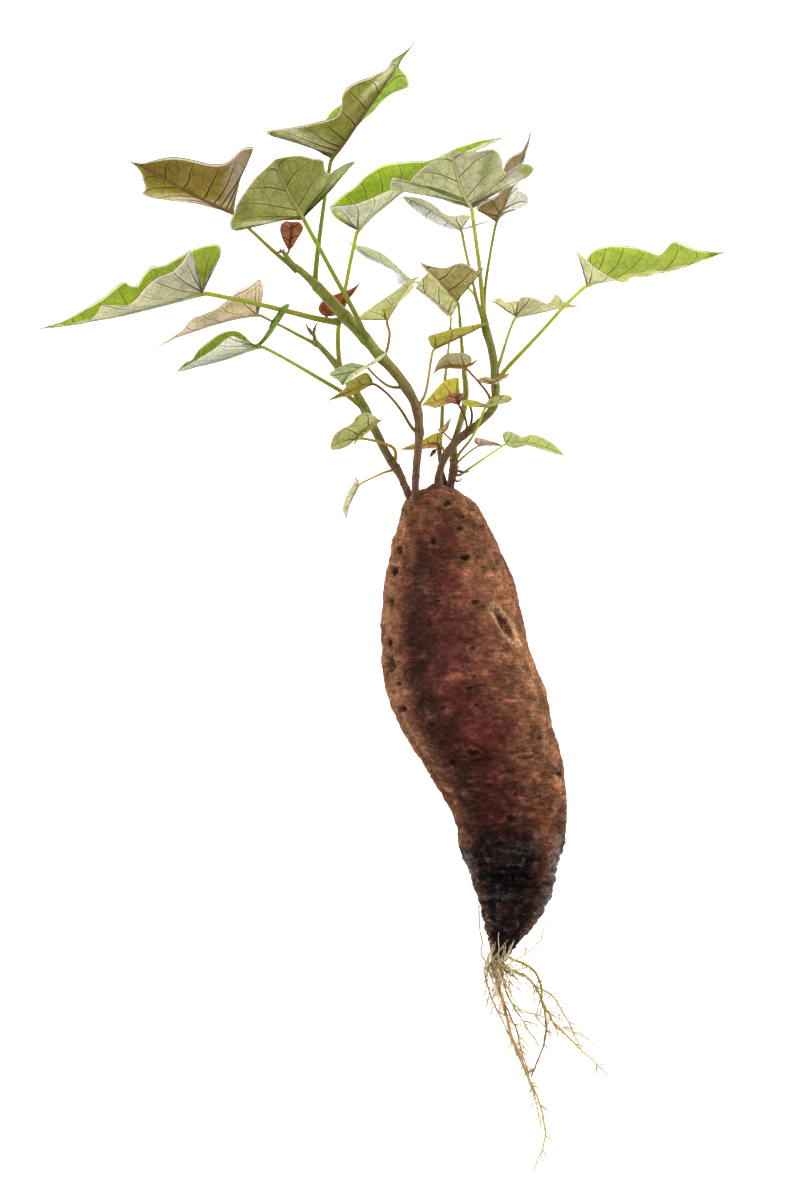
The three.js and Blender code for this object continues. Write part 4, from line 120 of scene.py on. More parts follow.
  "leaf_centre_green": {"stem": "shoot_left", "slot": "leaf_bright_green", "fold": True, "wave": 1.0, "bulge": [1.5,-2.0], "stalkR": [1.1,0.8], "stalk": [[-17.91,101.96,26.0],[-18.32,106.1,28.0],[-18.71,112.32,30.5],[-18.56,119.37,33.0],[-17.4,127.69,35.0],[-15.49,136.41,37.0],[-13.16,148.04,39.5],[-11.47,155.5,41.0],[-10.62,159.85,42.0]],
    "mid": [[-10.62,160.06,42.0],[-3.49,167.3,40.35],[2.39,172.01,39.13],[6.59,175.64,38.23],[17.95,182.32,36.1],[32.7,190.95,33.34],[51.3,200.07,30.0]],
    "a": [[-10.62,160.06,42.0],[-14.37,163.0,45.0],[-18.94,166.71,49.0],[-22.16,169.17,52.0],[-15.54,169.79,54.0],[-7.18,171.31,56.0],[1.16,174.57,56.0],[9.51,178.4,55.0],[19.97,184.61,50.2],[30.47,190.41,45.5],[41.03,195.89,39.94],[51.3,200.07,30.0]],
    "b": [[-10.62,160.06,42.0],[-13.58,161.51,39.0],[-18.67,164.94,35.0],[-21.66,168.37,31.0],[-22.1,170.62,29.0],[-17.91,174.84,26.0],[-11.59,179.63,24.0],[-6.52,184.78,23.0],[-1.87,188.03,22.0],[3.21,189.67,22.75],[11.66,190.34,23.9],[20.12,190.77,24.87],[26.03,193.47,25.5],[32.78,196.45,26.31],[41.21,198.59,27.45],[51.3,200.07,30.0]],
    "fa": [0.0,0.002,0.004,0.006,0.007,0.01,0.06,0.143,0.227,0.321,0.417,0.513,0.608,0.74,0.871,0.964,1.0], "fb": [0.0,0.002,0.004,0.006,0.007,0.012,0.09,0.16,0.232,0.327,0.427,0.523,0.616,0.744,0.872,0.964,1.0]},
  "leaf_right_pale": {"stem": "shoot_right", "slot": "leaf_pale", "fold": False, "wave": 1.0, "bulge": [2.5,2.5], "stalkR": [1.05,0.85], "stalk": [[43.01,119.5,47.5],[42.58,123.64,48.5],[41.83,130.23,50.5],[41.09,138.45,53.0],[40.3,145.81,55.5],[38.88,155.64,58.5],[37.82,163.45,60.0],[37.39,167.37,60.5]],
    "mid": [[37.39,167.58,60.5],[35.06,171.05,64.33],[32.72,175.72,68.7],[31.02,180.84,72.35],[29.75,185.61,74.91],[28.91,190.41,77.0]],
    "a": [[37.39,167.58,60.5],[30.29,169.52,62.5],[24.05,171.74,63.5],[17.81,173.74,64.5],[11.57,174.71,65.5],[6.17,174.84,65.5],[3.26,175.05,66.5],[3.26,177.81,68.5],[4.51,180.02,69.5],[7.41,178.65,69.5],[10.73,177.4,68.5],[12.8,180.23,69.5],[15.7,182.98,71.5],[19.83,185.93,73.5],[23.96,187.84,75.5],[26.84,189.62,76.5],[28.91,190.41,77.0]],
    "b": [[37.39,167.58,60.5],[40.29,169.18,61.5],[45.27,172.43,62.5],[51.09,175.76,62.5],[57.38,178.82,60.5],[61.61,181.75,57.5],[63.35,185.11,54.5],[60.48,187.02,52.5],[55.44,185.61,53.5],[51.61,183.21,57.5],[50.26,184.91,62.5],[49.56,188.34,66.5],[48.04,190.93,70.5],[45.52,191.6,72.5],[40.52,190.61,74.5],[34.7,190.04,76.5],[28.91,190.41,77.0]],
    "fa": [0.0,0.048,0.088,0.117,0.139,0.146,0.148,0.15,0.153,0.26,0.295,0.314,0.459,0.647,0.824,0.951,1.0], "fb": [0.0,0.002,0.004,0.006,0.007,0.009,0.011,0.013,0.015,0.017,0.019,0.152,0.393,0.662,0.826,0.95,1.0]},
  "leaf_right_bronze": {"stem": "shoot_right", "slot": "leaf_bronze", "fold": False, "wave": 1.0, "bulge": [1.2,1.0], "stalkR": [0.75,0.6], "stalk": [[43.03,122.09,46.0],[42.71,128.01,45.0],[43.06,134.77,44.0],[44.13,143.21,43.0],[45.82,153.34,42.0],[47.09,160.09,41.5],[47.72,163.24,41.5]],
    "mid": [[47.72,163.45,41.5],[51.12,171.16,39.18],[54.53,178.9,36.86],[57.52,186.64,34.58],[60.32,194.83,32.22],[62.69,202.6,30.0]],
    "a": [[47.72,163.45,41.5],[44.31,165.76,44.5],[39.23,168.83,48.5],[42.96,171.83,50.5],[48.8,174.69,51.5],[51.72,179.07,51.5],[50.7,185.42,50.5],[52.2,188.71,48.5],[54.54,190.75,46.5],[57.31,192.38,44.5],[59.24,194.43,42.5],[61.15,198.28,41.5],[62.69,202.6,30.0]],
    "b": [[47.72,163.45,41.5],[51.56,166.8,38.5],[57.53,169.39,34.5],[61.39,171.92,31.5],[61.24,175.29,28.5],[58.31,177.48,27.5],[56.81,180.78,28.5],[58.46,185.27,30.5],[60.05,190.86,34.5],[61.64,196.85,38.5],[62.69,202.6,30.0]],
    "fa": [0.0,0.002,0.004,0.006,0.007,0.009,0.046,0.126,0.196,0.288,0.399,0.501,0.605,0.736,0.872,0.964,1.0], "fb": [0.0,0.053,0.099,0.131,0.169,0.216,0.28,0.327,0.4,0.496,0.59,0.669,0.696,0.751,0.871,0.963,1.0]},
  "leaf_back_right": {"stem": "shoot_right", "slot": "leaf_pale", "fold": True, "wave": 1.0, "bulge": [0.8,0.8], "stalkR": [0.85,0.6], "stalk": [[43.45,117.48,46.0],[41.81,123.05,43.5],[39.95,129.42,42.0],[38.08,137.9,40.5],[36.2,145.94,39.5],[34.75,152.3,38.5],[33.83,157.38,38.0],[33.32,160.32,38.0]],
    "mid": [[33.28,160.61,38.0],[26.78,164.88,35.84],[20.06,169.24,33.62],[13.75,172.54,31.65],[8.28,174.85,30.0]],
    "a": [[33.28,160.61,38.0],[35.13,163.48,41.0],[36.98,165.71,44.0],[32.98,165.95,46.0],[28.36,165.59,47.0],[25.22,167.05,47.0],[20.41,170.89,46.0],[14.97,173.42,44.0],[11.21,174.27,41.0],[8.28,174.85,30.0]],
    "b": [[33.28,160.61,38.0],[40.27,162.9,34.0],[47.08,165.27,30.0],[42.91,163.79,27.0],[36.16,161.53,26.0],[29.4,161.32,26.0],[21.79,164.0,27.0],[15.45,167.8,30.0],[10.8,171.74,34.0],[8.28,174.85,30.0]],
    "fa": [0.0,0.002,0.004,0.006,0.007,0.009,0.011,0.066,0.161,0.261,0.363,0.473,0.587,0.737,0.871,0.964,1.0], "fb": [0.0,0.002,0.004,0.006,0.007,0.009,0.011,0.013,0.015,0.065,0.203,0.352,0.503,0.688,0.829,0.946,1.0]},
  "leaf_mid_olive": {"stem": "shoot_back_right", "slot": "leaf_olive", "fold": False, "wave": 1.0, "bulge": [0.5,2.2], "stalkR": [0.55,0.52], "stalk": [[32.6,121.0,42.5],[32.28,125.09,44.7],[31.8,129.38,46.8]],
    "mid": [[31.71,129.79,47.0],[27.49,134.18,50.8],[22.88,139.1,52.61],[19.12,142.69,51.84],[15.66,146.27,50.0]],
    "a": [[31.71,129.79,47.0],[28.41,132.57,42.0],[23.82,136.78,38.0],[19.62,141.46,37.0],[16.66,144.74,42.0],[15.66,146.27,50.0]],
    "b": [[31.71,129.79,47.0],[33.97,133.33,51.0],[36.84,136.45,55.0],[40.12,139.77,59.0],[42.18,142.89,60.5],[40.73,143.75,60.0],[39.53,141.97,57.0],[36.62,144.12,56.0],[33.28,145.41,56.0],[30.16,144.93,55.0],[27.47,143.79,53.0],[23.3,143.81,52.0],[19.13,144.71,51.0],[15.66,146.27,50.0]],
    "fa": [0.0,0.002,0.004,0.006,0.007,0.009,0.011,0.014,0.454,0.619,0.701,0.754,0.802,0.869,0.934,0.981,1.0], "fb": [0.0,0.012,0.018,0.02,0.021,0.023,0.025,0.027,0.029,0.07,0.199,0.318,0.411,0.592,0.796,0.944,1.0]},
  "leaf_mid_back": {"stem": "shoot_back_centre", "slot": "leaf_bronze", "fold": True, "wave": 1.0, "bulge": [0.8,0.8], "stalkR": [0.45,0.42], "stalk": [[28.67,118.58,23.0],[28.87,121.92,24.0],[28.99,124.4,25.0]],
    "mid": [[28.99,124.83,25.0],[24.76,129.02,25.62],[20.11,132.79,26.24],[13.77,136.55,27.0]],
    "a": [[28.99,124.83,25.0],[31.07,127.63,28.0],[31.67,130.0,31.0],[28.48,134.05,34.0],[23.84,138.36,36.0],[19.0,142.15,36.0],[16.48,139.95,34.0],[15.15,138.07,30.0],[13.77,136.55,27.0]],
    "b": [[28.99,124.83,25.0],[27.31,124.99,23.5],[23.1,128.79,22.0],[18.44,133.02,22.0],[15.68,135.26,23.5],[13.77,136.55,27.0]],
    "fa": [0.0,0.002,0.004,0.006,0.007,0.021,0.106,0.196,0.288,0.381,0.486,0.617,0.723,0.816,0.907,0.973,1.0], "fb": [0.0,0.003,0.02,0.069,0.126,0.187,0.25,0.315,0.384,0.455,0.53,0.609,0.688,0.798,0.901,0.972,1.0]},
  "leaf_right_small": {"stem": "shoot_right", "slot": "leaf_pale", "fold": True, "wave": 1.0, "bulge": [0.8,0.8], "stalkR": [0.85,0.55], "stalk": [[47.24,98.25,45.0],[48.08,101.19,44.8],[49.56,105.42,44.0],[51.48,111.77,42.5],[53.4,117.72,41.0],[55.52,123.23,40.0]],
    "mid": [[55.73,123.86,40.0],[62.09,125.04,37.29],[68.45,126.41,35.24],[74.8,127.73,34.19],[83.22,128.58,34.0]],
    "a": [[55.73,123.86,40.0],[56.27,127.22,44.0],[57.26,130.62,47.0],[59.51,131.77,49.0],[63.05,131.09,50.0],[66.42,129.89,49.0],[69.4,128.82,47.0],[72.81,128.42,45.0],[77.06,128.32,43.0],[83.22,128.58,34.0]],
    "b": [[55.73,123.86,40.0],[52.01,126.32,37.0],[48.48,129.21,34.0],[46.41,130.79,32.0],[49.61,132.16,30.0],[51.51,130.48,30.0],[55.11,130.95,29.0],[60.62,130.79,28.0],[66.53,129.95,28.0],[70.33,130.37,28.0],[73.26,133.91,29.0],[75.7,131.42,32.0],[78.53,129.32,36.0],[83.22,128.58,34.0]],
    "fa": [0.0,0.002,0.004,0.006,0.007,0.009,0.011,0.013,0.09,0.214,0.349,0.477,0.605,0.751,0.877,0.966,1.0], "fb": [0.0,0.002,0.004,0.006,0.007,0.009,0.011,0.019,0.14,0.268,0.394,0.499,0.562,0.706,0.841,0.948,1.0]},
  "leaf_far_right": {"stem": "shoot_right", "slot": "leaf_bright_green", "fold": True, "wave": 1.0, "bulge": [1.0,-2.0], "stalkR": [1.0,0.75], "stalk": [[47.25,93.24,44.5],[48.49,96.97,45.5],[52.24,101.96,46.5],[59.33,109.43,48.0],[68.06,118.75,50.0],[75.58,127.09,50.5],[81.04,132.37,49.5],[85.05,136.19,48.5]],
    "mid": [[85.26,136.61,48.5],[89.06,138.08,47.65],[94.12,139.02,46.59],[100.45,140.14,45.38],[107.21,141.88,44.24],[114.38,142.14,43.31],[122.8,143.66,42.56],[131.21,146.2,42.16],[137.51,148.6,42.04],[143.81,150.7,42.0]],
    "a": [[85.26,136.61,48.5],[84.38,141.34,53.5],[83.29,145.69,57.5],[80.66,150.24,61.5],[84.79,146.43,62.5],[88.95,142.77,62.5],[93.15,140.04,61.5],[96.93,138.23,60.5],[100.72,136.95,59.5],[104.51,139.38,58.5],[111.68,140.42,56.5],[120.12,141.91,54.5],[129.83,144.74,52.5],[143.81,150.7,42.0]],
    "b": [[85.26,136.61,48.5],[86.48,141.08,43.5],[86.02,147.68,38.5],[88.26,151.5,34.5],[93.42,153.58,31.5],[101.93,154.13,29.5],[110.83,152.5,28.5],[117.38,150.52,28.5],[120.54,153.35,28.5],[123.02,156.03,29.5],[127.51,154.36,32.5],[133.51,151.88,38.5],[138.27,150.86,43.5],[143.81,150.7,42.0]],
    "fa": [0.0,0.002,0.004,0.006,0.007,0.009,0.011,0.048,0.14,0.242,0.356,0.461,0.565,0.713,0.858,0.961,1.0], "fb": [0.0,0.011,0.013,0.015,0.017,0.052,0.156,0.214,0.283,0.396,0.482,0.554,0.65,0.774,0.887,0.964,1.0]},
  "leaf_right_lower": {"stem": "shoot_back_right", "slot": "leaf_bright_green", "fold": True, "wave": 1.0, "bulge": [0.8,0.8], "stalkR": [0.6,0.45], "stalk": [[30.16,58.01,26.5],[32.35,57.35,27.5],[34.44,58.81,28.5],[42.85,64.44,31.0],[51.22,70.26,34.0]],
    "mid": [[51.63,70.88,34.5],[56.3,70.68,32.64],[62.25,70.27,30.77],[69.86,68.27,29.73],[77.03,65.52,30.0]],
    "a": [[51.63,70.88,34.5],[50.85,73.07,31.5],[51.16,75.48,28.5],[53.48,76.17,26.5],[56.45,75.15,25.5],[59.41,73.67,25.5],[62.36,74.5,25.91],[66.57,73.81,26.53],[70.77,71.84,27.3],[74.54,68.73,28.32],[77.03,65.52,30.0]],
    "b": [[51.63,70.88,34.5],[52.84,69.54,37.5],[55.3,68.36,40.5],[57.98,68.89,42.5],[60.71,69.57,42.5],[64.9,68.43,42.5],[70.41,66.68,40.5],[77.03,65.52,30.0]],
    "fa": [0.0,0.002,0.004,0.006,0.007,0.037,0.131,0.216,0.282,0.35,0.431,0.518,0.61,0.738,0.867,0.963,1.0], "fb": [0.0,0.002,0.004,0.006,0.007,0.009,0.016,0.084,0.211,0.329,0.451,0.583,0.682,0.794,0.897,0.971,1.0]},
  "leaf_mid_narrow": {"stem": "shoot_front_left", "slot": "leaf_olive", "fold": True, "wave": 1.0, "bulge": [0.8,0.8], "stalkR": [0.7,0.55], "stalk": [[14.53,83.85,49.5],[15.78,86.95,50.5],[17.45,89.65,51.0],[18.83,94.65,51.5],[19.79,101.31,52.0],[20.58,106.32,52.3],[21.37,109.86,52.5]],
    "mid": [[21.46,110.07,52.5],[26.23,112.19,51.84],[32.5,114.91,51.65],[38.75,117.58,52.67],[42.91,119.6,53.97],[45.81,120.8,55.0]],
    "a": [[21.46,110.07,52.5],[19.94,111.81,55.5],[19.09,114.59,58.5],[23.65,116.16,60.5],[29.07,117.83,60.5],[34.49,118.92,59.5],[39.95,120.02,56.5],[45.81,120.8,55.0]],
    "b": [[21.46,110.07,52.5],[20.81,112.92,49.5],[22.92,115.99,46.5],[28.38,117.92,45.5],[35.07,119.05,46.5],[40.47,120.03,49.5],[45.81,120.8,55.0]],
    "fa": [0.0,0.002,0.004,0.006,0.007,0.009,0.011,0.058,0.159,0.279,0.396,0.506,0.612,0.749,0.874,0.965,1.0], "fb": [0.0,0.002,0.004,0.006,0.019,0.081,0.156,0.232,0.306,0.381,0.462,0.548,0.637,0.758,0.879,0.966,1.0]},
  "leaf_mid_yellow": {"stem": "shoot_right", "slot": "leaf_yellow", "fold": True, "wave": 1.0, "bulge": [0.8,0.8], "stalkR": [0.65,0.5], "stalk": [[45.8,87.4,43.5],[44.49,90.64,46.7],[42.57,93.29,48.7],[39.21,97.22,49.9],[36.69,99.92,50.3],[34.81,102.0,50.5]],
    "mid": [[34.6,102.21,50.5],[30.4,102.78,51.92],[26.22,102.43,52.17],[23.3,101.21,51.38],[21.22,98.76,50.0]],
    "a": [[34.6,102.21,50.5],[37.34,104.39,48.5],[36.87,106.78,46.5],[34.24,108.2,45.5],[30.47,108.29,45.5],[26.69,107.71,46.26],[24.17,105.62,46.99],[22.49,102.44,47.97],[21.22,98.76,50.0]],
    "b": [[34.6,102.21,50.5],[37.9,102.92,53.5],[39.95,105.3,56.5],[37.23,102.55,57.5],[32.85,101.17,57.5],[28.27,101.38,56.5],[24.74,101.13,54.5],[22.67,100.12,52.5],[21.22,98.76,50.0]],
    "fa": [0.0,0.002,0.004,0.006,0.007,0.009,0.011,0.013,0.015,0.106,0.246,0.398,0.525,0.682,0.843,0.957,1.0], "fb": [0.0,0.002,0.004,0.006,0.007,0.009,0.011,0.013,0.015,0.063,0.18,0.307,0.436,0.616,0.809,0.947,1.0]},
  "leaf_yellow_low": {"stem": "shoot_right", "slot": "leaf_yellow", "fold": True, "wave": 1.0, "bulge": [0.8,0.8], "stalkR": [0.6,0.5], "stalk": [[36.62,75.77,40.0],[37.1,78.33,38.5],[37.7,81.73,37.5],[37.29,85.11,37.0],[35.61,88.28,36.5],[33.01,91.03,36.0]],
    "mid": [[32.67,91.33,36.0],[27.62,89.77,36.0],[22.57,88.09,36.0],[16.26,86.41,36.0]],
    "a": [[32.67,91.33,36.0],[32.41,95.14,33.0],[32.01,98.38,31.0],[28.52,98.08,30.0],[25.57,96.73,30.0],[22.82,94.01,31.75],[19.65,90.29,33.25],[16.26,86.41,36.0]],
    "b": [[32.67,91.33,36.0],[29.49,87.98,39.0],[25.06,86.23,41.0],[21.9,85.36,42.0],[19.4,86.35,40.0],[16.26,86.41,36.0]],
    "fa": [0.0,0.002,0.004,0.006,0.007,0.009,0.011,0.013,0.017,0.113,0.236,0.368,0.502,0.676,0.84,0.956,1.0], "fb": [0.0,0.025,0.051,0.082,0.122,0.177,0.24,0.303,0.364,0.421,0.493,0.578,0.658,0.774,0.888,0.968,1.0]},
  "leaf_purple_low": {"stem": "shoot_right", "slot": "leaf_red", "fold": False, "wave": 1.0, "bulge": [0.8,0.8], "stalkR": [0.6,0.5], "stalk": [[34.73,73.68,39.5],[35.45,76.73,43.0],[35.0,80.23,45.0],[33.82,83.34,46.0],[32.26,86.13,46.5]],
    "mid": [[32.14,86.34,46.5],[31.49,88.3,47.92],[30.84,91.23,50.0]],
    "a": [[32.14,86.34,46.5],[29.62,87.07,47.0],[26.26,87.89,47.5],[26.8,89.53,48.5],[27.92,91.13,49.5],[30.84,91.23,50.0]],
    "b": [[32.14,86.34,46.5],[33.09,87.91,47.0],[34.21,90.05,48.0],[33.91,91.23,49.0],[30.84,91.23,50.0]],
    "fa": [0.0,0.018,0.038,0.052,0.057,0.059,0.061,0.063,0.103,0.245,0.393,0.546,0.696,0.802,0.901,0.972,1.0], "fb": [0.0,0.02,0.043,0.069,0.101,0.135,0.179,0.237,0.312,0.402,0.504,0.607,0.694,0.799,0.898,0.97,1.0]},
  "leaf_left_mid": {"stem": "shoot_front_left", "slot": "leaf_green", "fold": True, "wave": 1.0, "bulge": [0.8,0.8], "stalkR": [0.75,0.5], "stalk": [[10.34,93.15,52.5],[7.42,93.61,53.5],[4.08,93.61,54.5],[0.54,95.31,56.0],[-3.0,98.38,57.5],[-6.54,102.09,58.5]],
    "mid": [[-6.75,102.29,58.7],[-10.92,100.45,57.77],[-14.06,97.98,56.96],[-16.65,94.06,56.0]],
    "a": [[-6.75,102.29,58.7],[-10.1,103.33,55.7],[-13.46,103.75,53.7],[-17.23,102.54,52.7],[-20.15,100.74,52.7],[-22.23,99.16,53.7],[-20.33,97.43,55.2],[-18.22,96.16,57.7],[-16.65,94.06,56.0]],
    "b": [[-6.75,102.29,58.7],[-2.99,104.12,61.7],[2.01,108.19,63.7],[-0.49,104.78,63.7],[-4.23,102.41,62.7],[-8.39,99.71,62.7],[-12.35,96.96,61.7],[-15.07,94.92,59.7],[-16.65,94.06,56.0]],
    "fa": [0.0,0.036,0.076,0.118,0.151,0.205,0.272,0.342,0.402,0.471,0.546,0.653,0.722,0.79,0.854,0.955,1.0], "fb": [0.0,0.002,0.004,0.006,0.007,0.009,0.011,0.013,0.015,0.017,0.019,0.029,0.205,0.49,0.766,0.939,1.0]},
  "leaf_left_dark": {"stem": "shoot_front_left", "slot": "leaf_olive", "fold": True, "wave": 1.0, "bulge": [0.8,0.8], "stalkR": [0.75,0.55], "stalk": [[15.38,75.12,47.5],[13.49,75.72,48.5],[11.81,77.78,49.5],[8.26,83.6,50.5],[3.66,89.46,50.5],[-0.52,93.31,50.3],[-3.66,95.42,50.0]],
    "mid": [[-3.87,95.54,50.0],[-8.48,93.91,48.86],[-13.51,91.52,48.0],[-17.69,90.18,47.79],[-23.34,87.87,48.0]],
    "a": [[-3.87,95.54,50.0],[-4.72,98.13,48.0],[-6.82,100.09,46.0],[-10.19,98.71,44.0],[-13.12,96.61,44.0],[-15.42,93.85,45.0],[-17.29,91.92,46.0],[-19.37,90.72,48.0],[-21.45,89.18,49.0],[-23.34,87.87,48.0]],
    "b": [[-3.87,95.54,50.0],[-6.78,93.3,54.0],[-12.2,90.42,55.0],[-16.6,89.37,53.0],[-20.59,88.52,51.0],[-23.34,87.87,48.0]],
    "fa": [0.0,0.002,0.004,0.006,0.007,0.026,0.089,0.168,0.262,0.368,0.473,0.569,0.659,0.77,0.878,0.964,1.0], "fb": [0.0,0.003,0.005,0.006,0.016,0.072,0.142,0.216,0.299,0.389,0.483,0.577,0.671,0.789,0.897,0.971,1.0]},
  "leaf_left_curled": {"stem": "shoot_left", "slot": "leaf_green", "fold": False, "wave": 1.0, "bulge": [2.0,-0.8], "stalkR": [0.75,0.6], "stalk": [[4.9,62.97,31.0],[5.75,66.29,33.0],[4.48,68.97,35.0],[1.12,70.47,37.0],[-3.08,71.61,38.5],[-7.7,72.59,39.5],[-10.84,72.74,40.0]],
    "mid": [[-11.05,72.7,40.0],[-8.52,75.69,42.54],[-5.15,77.87,44.12],[-2.22,79.41,44.41],[1.14,80.89,44.0]],
    "a": [[-11.05,72.7,40.0],[-14.43,69.52,38.0],[-18.63,67.97,38.0],[-21.55,68.08,40.0],[-20.76,73.16,43.0],[-17.3,76.45,45.0],[-13.1,78.6,46.0],[-10.58,81.84,47.0],[-6.6,83.3,47.0],[-3.05,81.9,45.0],[-0.97,80.2,42.0],[1.14,80.89,44.0]],
    "b": [[-11.05,72.7,40.0],[-12.29,70.01,43.0],[-10.18,71.72,45.0],[-7.24,74.04,46.0],[-4.1,76.75,45.0],[-1.17,79.33,43.0],[1.14,80.89,44.0]],
    "fa": [0.0,0.002,0.004,0.006,0.007,0.009,0.011,0.013,0.015,0.033,0.147,0.255,0.411,0.635,0.831,0.933,1.0], "fb": [0.0,0.002,0.004,0.006,0.007,0.01,0.078,0.168,0.268,0.364,0.456,0.547,0.635,0.744,0.866,0.963,1.0]},
  "leaf_low_left": {"stem": "shoot_left", "slot": "leaf_pale", "fold": True, "wave": 1.0, "bulge": [0.8,0.8], "stalkR": [0.6,0.42], "stalk": [[6.17,59.99,32.2],[3.85,59.45,32.0],[0.26,58.33,31.0],[-5.22,55.82,30.0],[-9.66,53.73,29.0]],
    "mid": [[-9.87,53.65,29.0],[-11.77,50.58,28.31],[-13.47,47.01,27.56],[-14.74,42.8,26.72],[-15.13,39.01,26.0]],
    "a": [[-9.87,53.65,29.0],[-10.49,55.8,31.0],[-11.11,57.34,32.0],[-12.36,53.21,34.0],[-14.75,49.82,35.0],[-15.72,46.88,35.0],[-16.74,43.53,34.0],[-16.18,40.83,31.0],[-15.13,39.01,26.0]],
    "b": [[-9.87,53.65,29.0],[-10.31,51.68,26.0],[-12.02,48.34,24.0],[-13.92,44.75,24.0],[-14.66,41.54,26.0],[-15.13,39.01,26.0]],
    "fa": [0.0,0.002,0.004,0.006,0.007,0.009,0.011,0.016,0.093,0.193,0.302,0.421,0.544,0.704,0.856,0.96,1.0], "fb": [0.0,0.015,0.03,0.057,0.102,0.158,0.22,0.29,0.365,0.443,0.524,0.605,0.684,0.791,0.897,0.971,1.0]},
  "leaf_red_mid": {"stem": "shoot_front_left", "slot": "leaf_red", "fold": True, "wave": 1.0, "bulge": [0.8,0.8], "stalkR": [0.6,0.45], "stalk": [[-18.45,121.41,55.5],[-20.36,121.76,52.5],[-22.27,122.31,50.0],[-23.55,123.22,48.5]],
    "mid": [[-23.54,123.32,49.0],[-19.38,127.29,46.76],[-14.78,131.55,45.38],[-11.43,135.11,45.37],[-8.5,139.14,46.0]],
    "a": [[-23.54,123.32,49.0],[-25.62,124.4,50.0],[-26.87,126.91,50.0],[-25.4,129.6,50.5],[-22.68,131.45,51.0],[-18.5,133.13,51.0],[-14.32,134.41,50.5],[-10.98,136.23,50.0],[-8.5,139.14,46.0]],
    "b": [[-23.54,123.32,49.0],[-20.23,123.76,46.0],[-16.47,125.67,44.0],[-15.02,128.53,43.0],[-13.83,130.99,44.0],[-11.85,133.52,46.0],[-9.74,136.64,48.0],[-8.5,139.14,46.0]],
    "fa": [0.0,0.002,0.004,0.006,0.007,0.009,0.052,0.136,0.221,0.315,0.423,0.536,0.636,0.773,0.891,0.97,1.0], "fb": [0.0,0.032,0.067,0.113,0.165,0.225,0.295,0.366,0.442,0.52,0.598,0.664,0.717,0.795,0.892,0.97,1.0]},
  "leaf_centre_fold": {"stem": "shoot_front_left", "slot": "leaf_yellow", "fold": True, "wave": 1.0, "bulge": [0.8,0.8], "stalkR": [0.7,0.55], "stalk": [[-0.51,105.74,56.0],[0.95,106.64,54.5],[1.99,109.21,53.0],[2.82,113.06,51.0],[3.07,117.1,49.5],[2.19,119.66,48.5],[1.65,121.86,48.0]],
    "mid": [[1.56,121.99,48.0],[4.28,126.2,47.58],[7.42,130.62,47.12],[10.56,134.83,46.67],[12.87,138.2,46.32],[16.01,140.4,46.0]],
    "a": [[1.56,121.99,48.0],[-4.31,122.06,44.0],[-8.95,122.34,41.0],[-10.09,123.4,39.0],[-8.97,124.85,37.0],[-5.19,127.63,36.0],[-0.98,130.29,36.0],[3.23,133.11,38.24],[7.43,136.24,40.16],[10.78,138.66,41.81],[12.88,139.85,43.01],[16.01,140.4,46.0]],
    "b": [[1.56,121.99,48.0],[0.32,123.67,52.0],[-0.51,125.94,55.0],[2.0,127.17,57.0],[5.12,128.34,57.0],[8.25,130.22,56.0],[11.18,132.54,54.0],[13.27,135.16,52.0],[13.19,137.57,50.0],[16.01,140.4,46.0]],
    "fa": [0.0,0.002,0.004,0.006,0.007,0.009,0.011,0.013,0.015,0.021,0.147,0.292,0.442,0.651,0.826,0.951,1.0], "fb": [0.0,0.002,0.004,0.006,0.007,0.009,0.012,0.081,0.175,0.274,0.376,0.479,0.578,0.718,0.861,0.962,1.0]},
  "leaf_back_pale": {"stem": "shoot_right", "slot": "leaf_bright_green", "fold": True, "wave": 1.0, "bulge": [0.8,0.8], "stalkR": [0.75,0.5], "stalk": [[43.47,116.69,45.0],[42.71,121.55,40.0],[40.74,128.74,31.0],[38.3,134.6,24.0],[34.14,138.29,18.5],[27.81,139.92,16.0],[20.6,140.19,15.0],[13.81,139.39,14.0]],
    "mid": [[13.39,139.39,14.0],[7.87,143.26,13.24],[2.34,147.13,12.47],[-4.03,150.79,11.64],[-10.42,154.46,10.8],[-16.38,158.33,10.0]],
    "a": [[13.39,139.39,14.0],[9.56,143.25,17.0],[5.74,146.74,19.0],[1.93,150.07,20.0],[-2.73,152.74,20.0],[-7.39,154.66,19.0],[-11.23,155.7,16.0],[-16.38,158.33,10.0]],
    "b": [[13.39,139.39,14.0],[9.99,138.29,11.0],[6.38,139.46,9.0],[5.1,143.99,8.0],[1.06,146.63,8.0],[-3.2,148.54,8.0],[-7.45,150.44,9.0],[-10.63,153.17,11.0],[-16.38,158.33,10.0]],
    "fa": [0.0,0.031,0.066,0.105,0.15,0.2,0.252,0.309,0.373,0.444,0.517,0.596,0.677,0.787,0.894,0.97,1.0], "fb": [0.0,0.003,0.016,0.057,0.118,0.177,0.247,0.323,0.399,0.472,0.547,0.623,0.699,0.799,0.899,0.971,1.0]},
  "leaf_node_bud": {"stem": "shoot_right", "slot": "leaf_bronze", "fold": True, "wave": 1.0, "bulge": [0.8,0.8], "stalkR": [0.6,0.5], "stalk": [[47.06,86.15,43.5],[46.52,89.01,45.6],[46.08,92.31,46.9],[45.94,94.8,47.4]],
    "mid": [[45.94,95.01,47.5],[48.25,96.48,47.35],[50.76,98.04,47.18],[53.49,99.84,47.0]],
    "a": [[45.94,95.01,47.5],[42.82,95.47,46.5],[39.26,96.68,46.5],[41.34,97.83,47.0],[43.85,98.27,47.5],[46.36,97.4,47.5],[49.07,98.21,48.0],[51.38,99.27,47.8],[53.49,99.84,47.0]],
    "b": [[45.94,95.01,47.5],[47.79,95.14,49.5],[50.28,96.65,50.5],[52.4,97.96,49.0],[53.49,99.84,47.0]],
